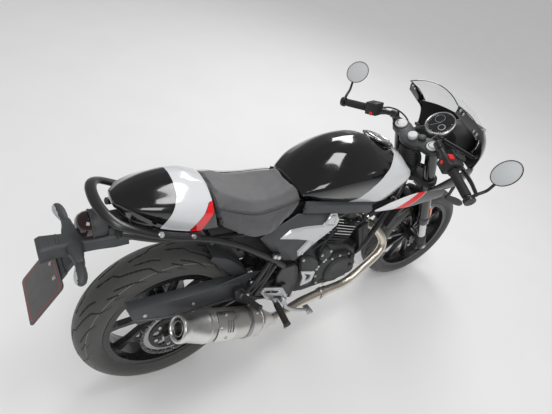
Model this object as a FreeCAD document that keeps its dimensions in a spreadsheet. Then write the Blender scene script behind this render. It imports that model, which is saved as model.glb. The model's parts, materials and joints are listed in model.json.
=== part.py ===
import FreeCAD, Part
import math
import os

import Sketcher
from FreeCAD import Placement, Rotation, Vector

# Cafe racer motorcycle.  Millimetres.
# The pieces are laid out in the upright machine's own frame: +X forward, +Y to the rider's left, +Z up,
# with the origin on the ground under the rear axle.  At the end every sub-part gets one Placement that
# leans the machine on its side stand and turns the steered group to its parked angle.

# ------------------------------------------------------------------------------------------------
# Driving dimensions
# ------------------------------------------------------------------------------------------------

# alias, value, meaning
SIZES = [
    ("wheelbase", 1376, "rear axle to front axle"),
    ("rake", 24.5, "steering axis from the vertical, degrees"),
    ("trail", 101.6, "steering axis on the ground ahead of the front axle"),
    ("rear_radius", 306, "rear tyre, outside"),
    ("rear_width", 150, "rear tyre section"),
    ("rear_crown", 85, "rear tyre, crown arc"),
    ("rear_bead", 101.6, "rear rim between its flanges"),
    ("front_radius", 293, "front tyre, outside"),
    ("front_width", 110, "front tyre section"),
    ("front_crown", 60, "front tyre, crown arc"),
    ("front_bead", 76.2, "front rim between its flanges"),
    ("rim_seat", 206, "rim, outside of the barrel"),
    ("rim_inside", 197, "rim, inside of the barrel"),
    ("rim_flange", 222.7, "rim, outside of the flanges"),
    ("flange_wall", 6, "rim flange thickness"),
    ("spoke_count", 10, "spokes in a wheel"),
    ("spoke_width", 20, "spoke, around the wheel"),
    ("spoke_depth", 26, "spoke, across the wheel"),
    ("hub_radius", 38, "wheel hub"),
    ("axle_radius", 9, "both axles"),
    ("axle_gap", 0.5, "hub bore clearance"),
    ("front_disc", 150, "front brake disc radius"),
    ("rear_disc", 115, "rear brake disc radius"),
    ("disc_wall", 4.5, "brake disc thickness"),
    ("sprocket_radius", 103, "rear sprocket, root of its teeth"),
    ("sprocket_teeth", 43, "rear sprocket"),
    ("pinion_radius", 33, "gearbox sprocket"),
    ("chain_side", -94, "chain line, sideways"),
    ("chain_width", 15, "chain over its plates"),
    ("fork_half", 99.4, "fork legs from the middle"),
    ("fork_outer", 26, "fork outer tube radius"),
    ("fork_inner", 21.5, "fork inner tube radius"),
    ("frame_tube", 15, "main frame tube radius"),
    ("down_tube", 13, "frame down tube radius"),
    ("rail_tube", 11, "subframe tube radius"),
    ("header_radius", 20, "exhaust header"),
    ("silencer_radius", 56, "silencer body"),
    ("bar_radius", 11.1, "handlebar"),
    ("grip_radius", 16.5, "grip"),
    ("mirror_radius", 46, "mirror head"),
    ("stand_tube", 11, "side stand leg"),
    ("fin_wall", 3.2, "engine fin"),
    ("fin_pitch", 11, "engine fin to fin"),
    ("fin_count", 8, "engine fins"),
    ("shell_wall", 3.5, "fairing and mudguard skin"),
    ("lean", 7.0, "lean to the left when parked, degrees"),
    ("parked_steer", -4.96, "steering when parked, degrees, left is positive"),
]

doc = FreeCAD.newDocument("CafeRacer")
sheet = doc.addObject("Spreadsheet::Sheet", "Sizes")
for row, (alias, number, meaning) in enumerate(SIZES, start=1):
    sheet.set(f"A{row}", meaning)
    sheet.set(f"B{row}", str(number))
    sheet.setAlias(f"B{row}", alias)
doc.recompute()


class Dim(float):
    """A number from the sheet, with the expression that keeps a property bound to it."""

    def __new__(cls, number, text):
        dim = super().__new__(cls, number)
        dim.text = text
        return dim

    def join(self, sign, other, number):
        other_text = other.text if isinstance(other, Dim) else repr(float(other))
        return Dim(number, f"({self.text} {sign} {other_text})")

    def __add__(self, other):
        return self.join("+", other, float(self) + float(other))

    def __sub__(self, other):
        return self.join("-", other, float(self) - float(other))

    def __mul__(self, other):
        return self.join("*", other, float(self) * float(other))

    def __truediv__(self, other):
        return self.join("/", other, float(self) / float(other))

    def __neg__(self):
        return Dim(-float(self), f"(-1 * {self.text})")


class Sizes:
    """Reads the sheet: SIZE.wheelbase is the number and remembers that it is Sizes.wheelbase."""

    def __getattr__(self, alias):
        return Dim(float(sheet.get(alias)), f"Sizes.{alias}")


SIZE = Sizes()


# ------------------------------------------------------------------------------------------------
# Makers
# ------------------------------------------------------------------------------------------------

UP = Vector(0, 0, 1)
LEFT = Vector(0, 1, 0)
FORWARD = Vector(1, 0, 0)
NODES = {}


def bind(thing, path, value):
    """Sets a property, and binds it to the sheet when the value comes from there."""
    if isinstance(value, Dim):
        thing.setExpression(path, value.text)
    elif not path.startswith("Constraints"):
        setattr(thing, path, value)


def cylinder(name, radius, length, start, direction=UP):
    rod = doc.addObject("Part::Cylinder", name)
    bind(rod, "Radius", radius)
    bind(rod, "Height", length)
    rod.Placement = Placement(Vector(*start), Rotation(UP, Vector(*direction)))
    return rod


def rod_between(name, radius, start, end):
    start, end = Vector(*start), Vector(*end)
    return cylinder(name, radius, (end - start).Length, start, end - start)


def ring(name, outer, inner, length, start, direction=UP):
    """A cylinder with a bore right through it."""
    body = cylinder(name + "_body", outer, length, start, direction)
    bore = cylinder(name + "_bore", inner, length, start, direction)
    return cut(name, body, bore)


def cone(name, radius_start, radius_end, length, start, direction=UP):
    thing = doc.addObject("Part::Cone", name)
    bind(thing, "Radius1", radius_start)
    bind(thing, "Radius2", radius_end)
    bind(thing, "Height", length)
    thing.Placement = Placement(Vector(*start), Rotation(UP, Vector(*direction)))
    return thing


def ball(name, radius, centre):
    thing = doc.addObject("Part::Sphere", name)
    bind(thing, "Radius", radius)
    thing.Placement = Placement(Vector(*centre), Rotation())
    return thing


def box(name, centre, size, rotation=Rotation()):
    """A box given by its middle."""
    thing = doc.addObject("Part::Box", name)
    for side, value in zip(("Length", "Width", "Height"), size):
        bind(thing, side, value)
    half = Vector(*[float(value) / 2 for value in size])
    thing.Placement = Placement(Vector(*centre) - rotation.multVec(half), rotation)
    return thing


def soften(name, base, radius, edges=None):
    """Rounds edges of a solid: all of them, or those whose numbers are given."""
    doc.recompute()
    thing = doc.addObject("Part::Fillet", name)
    thing.Base = base
    numbers = edges or range(1, len(base.Shape.Edges) + 1)
    thing.Edges = [(number, radius, radius) for number in numbers]
    return thing


def cut(name, base, tool):
    thing = doc.addObject("Part::Cut", name)
    thing.Base = base
    thing.Tool = tool
    return thing


def fuse(name, pieces, refine=True):
    thing = doc.addObject("Part::MultiFuse", name)
    thing.Shapes = pieces
    thing.Refine = refine
    return thing


def gather(name, pieces):
    """Like pieces that don't touch, kept as separate solids of one sub-part."""
    thing = doc.addObject("Part::Compound", name)
    thing.Links = pieces
    return thing


def mirrored(name, piece):
    thing = doc.addObject("Part::Mirroring", name)
    thing.Source = piece
    thing.Normal = LEFT
    thing.Base = Vector(0, 0, 0)
    return thing


def pair(name, piece):
    """A piece on one side and its mirror image on the other."""
    return gather(name, [piece, mirrored(name + "_mirror", piece)])


def rounded_route(points, share=0.45):
    """A wire through the points: straight runs joined by tangent arcs as large as the runs allow."""
    points = [Vector(*point) for point in points]
    edges = []
    last = points[0]
    for before, corner, after in zip(points, points[1:], points[2:]):
        way_in = (before - corner).normalize()
        way_out = (after - corner).normalize()
        reach = share * min((before - corner).Length, (after - corner).Length)
        start = corner + way_in * reach
        end = corner + way_out * reach
        half_turn = (math.pi - way_in.getAngle(way_out)) / 2
        radius = reach / math.tan(half_turn)
        to_centre = (way_in + way_out).normalize() * (radius / math.cos(half_turn))
        middle = corner + to_centre - Vector(to_centre).normalize() * radius
        edges.append(Part.LineSegment(last, start).toShape())
        edges.append(Part.Arc(start, middle, end).toShape())
        last = end
    edges.append(Part.LineSegment(last, points[-1]).toShape())
    return Part.Wire(edges)


def swept(name, points, section, share=0.45):
    """Sweeps a section object, drawn about the origin in the XY plane, along a rounded route."""
    spine = doc.addObject("Part::Feature", name + "_spine")
    spine.Shape = rounded_route(points, share)
    section.Placement = Placement(Vector(*points[0]),
                                  Rotation(UP, Vector(*points[1]) - Vector(*points[0])))
    thing = doc.addObject("Part::Sweep", name)
    thing.Sections = [section]
    thing.Spine = (spine, [f"Edge{number + 1}" for number in range(len(spine.Shape.Edges))])
    thing.Solid = True
    thing.Frenet = False
    return thing


def pipe(name, points, radius, share=0.45):
    section = doc.addObject("Part::Circle", name + "_section")
    bind(section, "Radius", radius)
    return swept(name, points, section, share)


def add_outline(sketch, points, arcs=(), bound=()):
    """Draws a closed outline.  arcs: point number -> a place that the edge leaving it bends through.
    bound: (point number, "x" or "y", Dim) pins that coordinate to the sheet."""
    bends = dict(arcs)
    count = len(points)
    first = sketch.GeometryCount
    for number, point in enumerate(points):
        start = Vector(point[0], point[1], 0)
        end = Vector(*points[(number + 1) % count], 0)
        if number in bends:
            sketch.addGeometry(Part.Arc(start, Vector(*bends[number], 0), end), False)
        else:
            sketch.addGeometry(Part.LineSegment(start, end), False)
    ends = []
    for number in range(count):
        curve = sketch.Geometry[first + number]
        start = Vector(points[number][0], points[number][1], 0)
        forward = curve.StartPoint.isEqual(start, 1e-6)
        ends.append((1, 2) if forward else (2, 1))
    for number in range(count):
        follower = (number + 1) % count
        sketch.addConstraint(Sketcher.Constraint("Coincident", first + number, ends[number][1],
                                                 first + follower, ends[follower][0]))
    for number, way, value in bound:
        kind = {"x": "DistanceX", "y": "DistanceY"}[way]
        place = points[number][0 if way == "x" else 1]
        index = sketch.addConstraint(Sketcher.Constraint(kind, -1, 1, first + number,
                                                         ends[number][0], float(place)))
        label = f"{way}{number}"
        sketch.renameConstraint(index, label)
        bind(sketch, f"Constraints.{label}", value)


def new_sketch(body, name, role):
    """A sketch on one of the body's own origin planes."""
    sketch = body.newObject("Sketcher::SketchObject", name)
    plane = [item for item in body.Origin.OriginFeatures if item.Role == role][0]
    sketch.AttachmentSupport = [(plane, "")]
    sketch.MapMode = "FlatFace"
    return sketch


def new_body(name):
    return doc.addObject("PartDesign::Body", name)


def turned(name, outline, centre, arcs=(), bound=()):
    """A body turned about the Y axis.  The outline's points are (radius, sideways)."""
    body = new_body(name)
    sketch = new_sketch(body, name + "_profile", "XY_Plane")
    add_outline(sketch, outline, arcs, bound)
    spin = body.newObject("PartDesign::Revolution", name + "_turn")
    spin.Profile = sketch
    spin.ReferenceAxis = (sketch, ["V_Axis"])
    spin.Angle = 360
    sketch.Visibility = False
    body.Placement = Placement(Vector(*centre), Rotation())
    return body


def plate(name, outline, thickness, sideways, arcs=(), holes=(), edge=0):
    """A flat plate seen from the side.  Outline points are (x, z); holes are (x, z, radius)."""
    body = new_body(name)
    sketch = new_sketch(body, name + "_outline", "XZ_Plane")
    add_outline(sketch, outline, arcs)
    pad = body.newObject("PartDesign::Pad", name + "_pad")
    pad.Profile = sketch
    pad.Midplane = True
    bind(pad, "Length", thickness)
    if holes:
        pattern = new_sketch(body, name + "_holes", "XZ_Plane")
        for x, z, radius in holes:
            pattern.addGeometry(Part.Circle(Vector(x, z, 0), UP, radius), False)
        pocket = body.newObject("PartDesign::Pocket", name + "_drill")
        pocket.Profile = pattern
        pocket.Midplane = True
        pocket.Length = float(thickness) + 2
    if edge:
        doc.recompute()
        tip = body.Tip
        rims = [number + 1 for number, item in enumerate(tip.Shape.Edges)
                if item.BoundBox.YLength < 1e-4]
        bevel = body.newObject("PartDesign::Chamfer", name + "_bevel")
        bevel.Base = (tip, [f"Edge{number}" for number in rims])
        bevel.Size = edge
    body.Placement = Placement(Vector(0, sideways, 0), Rotation())
    return body


def loft(name, sections, ruled=False):
    """A solid through closed section wires."""
    wires = []
    for number, wire in enumerate(sections):
        holder = doc.addObject("Part::Feature", f"{name}_section{number}")
        holder.Shape = wire
        wires.append(holder)
    thing = doc.addObject("Part::Loft", name)
    thing.Sections = wires
    thing.Solid = True
    thing.Ruled = ruled
    return thing


def arch(x, z_low, half_low, z_side, half_side, z_shoulder, half_shoulder, z_top):
    """A closed cross-section at x: a flat bottom, two bulging sides and a crowned top."""
    left_low, right_low = Vector(x, half_low, z_low), Vector(x, -half_low, z_low)
    left_side, right_side = Vector(x, half_side, z_side), Vector(x, -half_side, z_side)
    left_shoulder = Vector(x, half_shoulder, z_shoulder)
    right_shoulder = Vector(x, -half_shoulder, z_shoulder)
    return Part.Wire([
        Part.LineSegment(left_low, right_low).toShape(),
        Part.Arc(right_low, right_side, right_shoulder).toShape(),
        Part.Arc(right_shoulder, Vector(x, 0, z_top), left_shoulder).toShape(),
        Part.Arc(left_shoulder, left_side, left_low).toShape(),
    ])


def keep(node, thing, group="chassis"):
    """Names a finished sub-part.  The group decides its parked Placement."""
    thing.Label = node
    NODES[node] = (thing, group)


# ------------------------------------------------------------------------------------------------
# Reference places
# ------------------------------------------------------------------------------------------------

rake = math.radians(SIZE.rake)
REAR_AXLE = Vector(0, 0, SIZE.rear_radius)
FRONT_AXLE = Vector(SIZE.wheelbase, 0, SIZE.front_radius)
STEER_UP = Vector(-math.sin(rake), 0, math.cos(rake))
STEER_FORWARD = Vector(math.cos(rake), 0, math.sin(rake))
FORK_OFFSET = SIZE.front_radius * math.sin(rake) - SIZE.trail * math.cos(rake)
PIVOT = Vector(420, 0, 405)
PINION = Vector(498, 0, 418)
RADIATOR = Vector(1030, 0, 572)
radiator_turn = Rotation(LEFT, 26.4)
STAND_PIVOT = Vector(468, 134, 292)
stand_down = Vector(0.27, 0.47, -0.84).normalize()
stand_folded = Vector(-0.97, 0.2, 0.06).normalize()
stand_axis = stand_down.cross(stand_folded).normalize()


def fork_place(up, sideways, ahead=0.0):
    """A place on the steered group: up along the fork from the axle, sideways, and ahead of the legs."""
    return FRONT_AXLE + STEER_UP * up + LEFT * sideways + STEER_FORWARD * ahead


# ------------------------------------------------------------------------------------------------
# Wheels
# ------------------------------------------------------------------------------------------------

def tyre(node, radius, width, crown, bead, centre, group):
    """A ring with a round crown, bulging walls and a foot between the rim's flanges."""
    half_bead = bead / 2
    edge = float(width) / 2 - 2
    shoulder = radius - crown + math.sqrt(crown ** 2 - edge ** 2)
    bulge = (float(SIZE.rim_flange) + shoulder) / 2
    outline = [
        (SIZE.rim_seat, -half_bead), (SIZE.rim_flange, -half_bead), (shoulder, -edge),
        (shoulder, edge), (SIZE.rim_flange, half_bead), (SIZE.rim_seat, half_bead),
    ]
    arcs = [(1, (bulge, -width / 2)), (2, (radius, 0)), (3, (bulge, width / 2))]
    bound = [(0, "x", SIZE.rim_seat), (1, "x", SIZE.rim_flange), (0, "y", -half_bead),
             (1, "y", -half_bead), (4, "x", SIZE.rim_flange), (5, "x", SIZE.rim_seat),
             (4, "y", half_bead), (5, "y", half_bead)]
    keep(node, turned(node, outline, centre, arcs, bound), group)


def rim(node, bead, hub_length, centre, group):
    """Barrel and flanges, straight spokes in a ring, and a bored hub."""
    half_bead = bead / 2
    half_out = half_bead + SIZE.flange_wall
    body = new_body(node)
    profile = new_sketch(body, node + "_profile", "XY_Plane")
    lip = SIZE.rim_seat - 4
    waist = float(half_bead) * 0.55
    barrel = [(lip, -half_out), (SIZE.rim_flange, -half_out), (SIZE.rim_flange, -half_bead),
              (SIZE.rim_seat, -half_bead), (SIZE.rim_seat, half_bead), (SIZE.rim_flange, half_bead),
              (SIZE.rim_flange, half_out), (lip, half_out), (SIZE.rim_inside, waist),
              (SIZE.rim_inside, -waist)]
    bound = [(1, "x", SIZE.rim_flange), (2, "y", -half_bead), (3, "x", SIZE.rim_seat),
             (5, "y", half_bead), (6, "x", SIZE.rim_flange)]
    add_outline(profile, barrel, (), bound)
    spin = body.newObject("PartDesign::Revolution", node + "_barrel")
    spin.Profile = profile
    spin.ReferenceAxis = (profile, ["V_Axis"])
    spin.Angle = 360
    spoke_sketch = new_sketch(body, node + "_spoke_outline", "XZ_Plane")
    half = SIZE.spoke_width / 2
    reach = float(SIZE.rim_inside) + 4
    spoke = [(0, -half * 0.8), (reach * 0.8, -half * 0.7), (reach, -half * 1.3),
             (reach, half * 1.3), (reach * 0.8, half * 0.7), (0, half * 0.8)]
    add_outline(spoke_sketch, spoke)
    spoke_pad = body.newObject("PartDesign::Pad", node + "_spoke")
    spoke_pad.Profile = spoke_sketch
    spoke_pad.Midplane = True
    bind(spoke_pad, "Length", SIZE.spoke_depth)
    doc.recompute()
    ring_of = body.newObject("PartDesign::PolarPattern", node + "_spokes")
    ring_of.Originals = [spoke_pad]
    ring_of.Axis = (spoke_sketch, ["N_Axis"])
    ring_of.Angle = 360
    bind(ring_of, "Occurrences", SIZE.spoke_count)
    body.Tip = ring_of
    hub_sketch = new_sketch(body, node + "_hub_outline", "XZ_Plane")
    hub_sketch.addGeometry(Part.Circle(Vector(0, 0, 0), UP, SIZE.hub_radius), False)
    hub_pad = body.newObject("PartDesign::Pad", node + "_hub")
    hub_pad.Profile = hub_sketch
    hub_pad.Midplane = True
    hub_pad.Length = hub_length
    bore_sketch = new_sketch(body, node + "_bore_outline", "XZ_Plane")
    bore_sketch.addGeometry(Part.Circle(Vector(0, 0, 0), UP, SIZE.axle_radius + SIZE.axle_gap), False)
    bore = body.newObject("PartDesign::Pocket", node + "_bore")
    bore.Profile = bore_sketch
    bore.Midplane = True
    bore.Length = hub_length + 4
    body.Placement = Placement(centre, Rotation())
    keep(node, body, group)


def toothed_ring(name, radius, teeth, inner, thickness, sideways, centre, depth=7):
    """A sprocket: a flat ring whose teeth are small triangles around its rim."""
    outline = []
    for number in range(int(teeth)):
        start = 2 * math.pi * number / teeth
        for turn, reach in ((0.0, 0), (0.36, depth), (0.64, depth)):
            angle = start + turn * 2 * math.pi / teeth
            outline.append(((radius + reach) * math.cos(angle), (radius + reach) * math.sin(angle)))
    body = plate(name, outline, thickness, sideways, holes=[(0, 0, inner)])
    body.Placement = Placement(centre + LEFT * sideways, Rotation())
    return body


tyre("rear_tyre", SIZE.rear_radius, SIZE.rear_width, SIZE.rear_crown, SIZE.rear_bead, REAR_AXLE, "rear")
tyre("front_tyre", SIZE.front_radius, SIZE.front_width, SIZE.front_crown, SIZE.front_bead,
     FRONT_AXLE, "front")
REAR_HUB = 130
FRONT_HUB = 120
rim("rear_rim", SIZE.rear_bead, REAR_HUB, REAR_AXLE, "rear")
rim("front_rim", SIZE.front_bead, FRONT_HUB, FRONT_AXLE, "front")

REAR_DISC_SIDE = 74
FRONT_DISC_SIDE = 68
disc_carrier = cylinder("front_disc_carrier", 52, SIZE.disc_wall, FRONT_AXLE + LEFT * 61, LEFT)
front_bore = cylinder("front_disc_bore", 24, 10, FRONT_AXLE + LEFT * 60, LEFT)
front_band = ring("front_disc_band", SIZE.front_disc, SIZE.front_disc - 34, SIZE.disc_wall,
                  FRONT_AXLE + LEFT * 61, LEFT)
arms = [box(f"front_disc_arm{number}", (0, 0, 0), (18, SIZE.disc_wall, 74)) for number in range(6)]
for number, arm in enumerate(arms):
    turn = Rotation(LEFT, 60 * number)
    middle = FRONT_AXLE + LEFT * (61 + SIZE.disc_wall / 2) + turn.multVec(Vector(0, 0, 84))
    arm.Placement = Placement(middle - turn.multVec(Vector(9, SIZE.disc_wall / 2, 37)), turn)
keep("front_disc", cut("front_disc", fuse("front_disc_solid", [disc_carrier, front_band] + arms),
                       front_bore), "front")

SPROCKET_SIDE = float(SIZE.chain_side)
sprocket = toothed_ring("rear_sprocket", SIZE.sprocket_radius, SIZE.sprocket_teeth, 24, 6,
                        SPROCKET_SIDE, REAR_AXLE)
carrier = ring("sprocket_carrier", 62, 24, 25, REAR_AXLE + LEFT * (SPROCKET_SIDE + 3), LEFT)
rear_band = ring("rear_disc_band", SIZE.rear_disc, 24, SIZE.disc_wall, REAR_AXLE + LEFT * REAR_DISC_SIDE,
                 LEFT)
rear_spacer = ring("rear_disc_spacer", 40, 24, REAR_DISC_SIDE - REAR_HUB / 2,
                   REAR_AXLE + LEFT * (REAR_HUB / 2), LEFT)
keep("rear_drive_discs", gather("rear_drive_discs", [fuse("sprocket_solid", [sprocket, carrier]),
                                                     fuse("rear_disc_solid", [rear_band, rear_spacer])]),
     "rear")


# ------------------------------------------------------------------------------------------------
# Frame, subframe, swingarm
# ------------------------------------------------------------------------------------------------

def both_sides(name, points, radius, share=0.45):
    """The same bent tube on the right and on the left."""
    return pair(name, pipe(name + "_right", points, radius, share))


HEAD_LOW = fork_place(505, 0, -FORK_OFFSET)
HEAD_HIGH = fork_place(636, 0, -FORK_OFFSET)
head_tube = rod_between("head_tube", 33, HEAD_LOW, HEAD_HIGH)
stem_bore = rod_between("stem_bore", 21, HEAD_LOW - STEER_UP * 5, HEAD_HIGH + STEER_UP * 5)
spine_tubes = both_sides("spine_tubes", [(1104, -18, 775), (990, -74, 708), (850, -90, 674),
                                         (620, -94, 650), (456, -98, 610), (438, -100, 487)],
                         SIZE.frame_tube)
down_tubes = both_sides("down_tubes", [(1116, -18, 780), (1050, -66, 688), (980, -84, 546),
                                       (908, -84, 400), (900, -56, 335)], SIZE.down_tube)
down_cross = rod_between("down_cross", 12, (900, -58, 335), (900, 58, 335))
engine_lugs = pair("engine_lugs", box("engine_lug", (892, -36, 335), (20, 16, 34)))
PLATE_SIDE = 140
pivot_outline = [(398, 504), (462, 504), (474, 430), (470, 345), (446, 318), (404, 318), (384, 380),
                 (384, 470)]
pivot_plates = pair("pivot_plates", plate("pivot_plate", pivot_outline, 12, -PLATE_SIDE, edge=3,
                                          holes=[(PIVOT.x, PIVOT.z, 14)]))
pivot_heads = pair("pivot_heads", box("pivot_head", (438, -120, 490), (48, 46, 14)))
cross_tube = rod_between("frame_cross_tube", 11, (428, -138, 326), (428, 138, 326))
seat_cross = rod_between("frame_seat_cross", 12, (500, -96, 620), (500, 96, 620))
shock_ears = pair("shock_ears", fuse("shock_ear", [box("shock_ear_arm", (448, -20, 652), (118, 8, 22)),
                                                   box("shock_ear_foot", (492, -20, 634), (30, 8, 30))]))
stand_pin = cylinder("stand_pin", 8, 50, STAND_PIVOT - stand_axis * 36, stand_axis)
stand_head = cylinder("stand_head", 13, 5, STAND_PIVOT + stand_axis * 9, stand_axis)
stand_lug = box("stand_lug", (460, 108, 296), (44, 18, 62))
stand_web = box("stand_web", (454, 122, 327), (36, 40, 9))
radiator_lugs = pair("radiator_lugs", box("radiator_lug",
                                          RADIATOR + radiator_turn.multVec(Vector(-22, -78, 40)),
                                          (22, 16, 20), radiator_turn))
frame_solid = fuse("frame_solid", [head_tube, spine_tubes, down_tubes, down_cross, engine_lugs,
                                   pivot_plates, pivot_heads, cross_tube, seat_cross, shock_ears,
                                   stand_pin, stand_head, stand_lug, stand_web, radiator_lugs])
keep("main_frame", cut("main_frame", frame_solid, stem_bore))

lower_rails = both_sides("lower_rails", [(404, -143, 516), (312, -136, 592), (205, -124, 668),
                                         (90, -116, 726), (-60, -104, 758), (-150, -80, 785)],
                         SIZE.rail_tube)
upper_rails = both_sides("upper_rails", [(560, -88, 668), (470, -90, 664), (340, -92, 670),
                                         (220, -94, 684), (108, -98, 702)], SIZE.rail_tube)
tail_cross = rod_between("tail_cross", 9, (-120, -92, 775), (-120, 92, 775))
mid_cross = rod_between("mid_cross", 9, (110, -118, 703), (110, 118, 703))
tail_lug = box("tail_lug", (-129, 0, 779), (28, 36, 34))
hanger_struts = pair("hanger_struts", gather("hanger_strut_pair", [
    rod_between("hanger_strut_front", 8, (356, -150, 546), (282, -152, 402)),
    rod_between("hanger_strut_rear", 8, (330, -146, 566), (256, -152, 420))]))
hanger_outline = [(196, 482), (226, 486), (262, 450), (294, 408), (282, 390), (244, 394), (206, 430)]
hanger_feet = pair("hanger_feet", plate("hanger_foot", hanger_outline, 14, -152, edge=2))
keep("subframe", fuse("subframe", [lower_rails, upper_rails, tail_cross, mid_cross, tail_lug, hanger_struts,
                                   hanger_feet]))

ARM_IN, ARM_OUT = 108, 132
arm_outline = [(-34, 288), (20, 284), (160, 306), (330, 352), (400, 374), (440, 382), (450, 405),
               (438, 430), (400, 440), (320, 430), (160, 374), (0, 334), (-40, 326)]
arm = plate("swingarm_side", arm_outline, ARM_OUT - ARM_IN, -(ARM_IN + ARM_OUT) / 2, edge=4,
            holes=[(PIVOT.x, PIVOT.z, 10)])
cross_box = box("swingarm_cross", (378, 0, 404), (30, 2 * ARM_IN + 8, 40))
shock_lugs = pair("shock_lugs", box("shock_lug", (350, -23, 414), (54, 8, 24)))
pivot_tube = cylinder("swingarm_pivot", 21, 2 * ARM_IN + 8, PIVOT - LEFT * (ARM_IN + 4), LEFT)
pivot_bolt = cylinder("swingarm_bolt", 9.5, 304, PIVOT - LEFT * 152, LEFT)
pivot_nuts = pair("pivot_nuts", rod_between("pivot_nut", 16, PIVOT - LEFT * 147, PIVOT - LEFT * 156))
rear_axle = cylinder("rear_axle_bar", SIZE.axle_radius, 300, REAR_AXLE - LEFT * 150, LEFT)
axle_nuts = pair("rear_axle_nuts", rod_between("rear_axle_nut", 17, REAR_AXLE - LEFT * 132,
                                               REAR_AXLE - LEFT * 148))
axle_spacers = pair("rear_axle_spacers", ring("rear_axle_spacer", 15, SIZE.axle_radius, 41,
                                              REAR_AXLE - LEFT * 109, LEFT))
caliper_bracket_outline = [(-20, 316), (20, 290), (104, 372), (110, 404), (62, 420), (40, 400)]
caliper_bracket = plate("caliper_bracket", caliper_bracket_outline, 4, 106)
keep("swingarm", fuse("swingarm", [pair("swingarm_sides", arm), cross_box, shock_lugs, pivot_tube,
                                   caliper_bracket, pivot_bolt, pivot_nuts, rear_axle, axle_nuts, axle_spacers]))

shock_low, shock_high = Vector(338, 0, 420), Vector(400, 0, 655)
shock_way = (shock_high - shock_low).normalize()
damper = rod_between("damper", 21, shock_low + shock_way * 14, shock_low + shock_way * 130)
piston = rod_between("piston", 7, shock_low, shock_high)
COIL_START, COIL_RADIUS, COIL_RISE, COIL_PITCH, COIL_TURNS = 62, 31, 7, 18, 9
spring_outline, spring_arcs = [(1, COIL_START - 8), (COIL_RADIUS, COIL_START - 8)], []
for number in range(COIL_TURNS):
    along = COIL_START + COIL_PITCH * number
    spring_arcs.append((len(spring_outline), (COIL_RADIUS + COIL_RISE, along + 5)))
    spring_outline += [(COIL_RADIUS, along), (COIL_RADIUS, along + 10)]
spring_end = COIL_START + COIL_PITCH * COIL_TURNS
spring_outline += [(COIL_RADIUS, spring_end), (1, spring_end)]
spring = turned("shock_spring", spring_outline, shock_low, spring_arcs)
spring.Placement = Placement(shock_low, Rotation(LEFT, shock_way))
shock_eyes = [rod_between(f"shock_eye{number}", 15, place - LEFT * 16, place + LEFT * 16)
              for number, place in enumerate((shock_low, shock_high))]
keep("rear_shock", fuse("rear_shock", [damper, piston, spring] + shock_eyes))


# ------------------------------------------------------------------------------------------------
# Engine
# ------------------------------------------------------------------------------------------------

CYLINDER_TILT = 20
cylinder_turn = Rotation(LEFT, CYLINDER_TILT)
CYLINDER_FOOT = Vector(690, 0, 484)


def on_cylinder(along, ahead=0.0, sideways=0.0):
    """A place by the leaning cylinder: up its axis from the crankcase, ahead of it, and sideways."""
    return CYLINDER_FOOT + cylinder_turn.multVec(Vector(ahead, sideways, along))


CASE_HALF = 88
deck_front, deck_rear = on_cylinder(0, 122), on_cylinder(0, -92)
case_outline = [(476, 330), (500, 262), (600, 236), (800, 232), (868, 268), (880, 330), (866, 400),
                (deck_front.x, deck_front.z), (deck_rear.x, deck_rear.z), (560, 506), (500, 470)]
case = plate("crankcase_core", case_outline, 2 * CASE_HALF, 0, edge=7)
sump = box("sump", (690, 0, 228), (210, 130, 24))
chain_recess = box("chain_recess", (502, -CASE_HALF, 415), (90, 8, 112))
keep("crankcase", cut("crankcase", fuse("crankcase_solid", [case, sump]), chain_recess))

FIN_LONG, FIN_WIDE, BARREL_RADIUS, HEAD_BASE = 172, 170, 66, 92
barrel = cylinder("barrel", BARREL_RADIUS, HEAD_BASE - 1, on_cylinder(0), cylinder_turn.multVec(UP))
fins = []
for number in range(int(SIZE.fin_count)):
    height = 7 + SIZE.fin_pitch * number
    trim = 14 if number < 2 else 0
    fins.append(box(f"cylinder_fin{number}", on_cylinder(height),
                    (FIN_LONG - trim, FIN_WIDE - trim, SIZE.fin_wall), cylinder_turn))
keep("cylinder", fuse("cylinder", [barrel] + fins))

CORE_TALL = 54
head_core = box("head_core", on_cylinder(HEAD_BASE + CORE_TALL / 2), (150, 144, CORE_TALL), cylinder_turn)
cam_cover = box("cam_cover", on_cylinder(HEAD_BASE + CORE_TALL + 9), (122, 148, 20), cylinder_turn)
cam_ends = [cylinder(f"cam_end{number}", 22, 150, on_cylinder(HEAD_BASE + CORE_TALL - 4, ahead, -75), LEFT)
            for number, ahead in enumerate((-36, 36))]
head_fins = [box(f"head_fin{number}", on_cylinder(HEAD_BASE + 7 + SIZE.fin_pitch * number),
                 (FIN_LONG, FIN_WIDE - 4, SIZE.fin_wall), cylinder_turn) for number in range(3)]
intake = cylinder("intake_stub", 22, 46, on_cylinder(HEAD_BASE + 34, -70),
                  cylinder_turn.multVec(Vector(-1, 0, 0.35)))
PORT = on_cylinder(HEAD_BASE + 30, 72)
port_way = Vector(0.86, -0.12, -0.5).normalize()
PORT_LONG = 30
port = cylinder("exhaust_port", 24, PORT_LONG, PORT, port_way)
keep("cylinder_head", fuse("cylinder_head", [head_core, cam_cover, intake, port] + cam_ends + head_fins))

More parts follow.
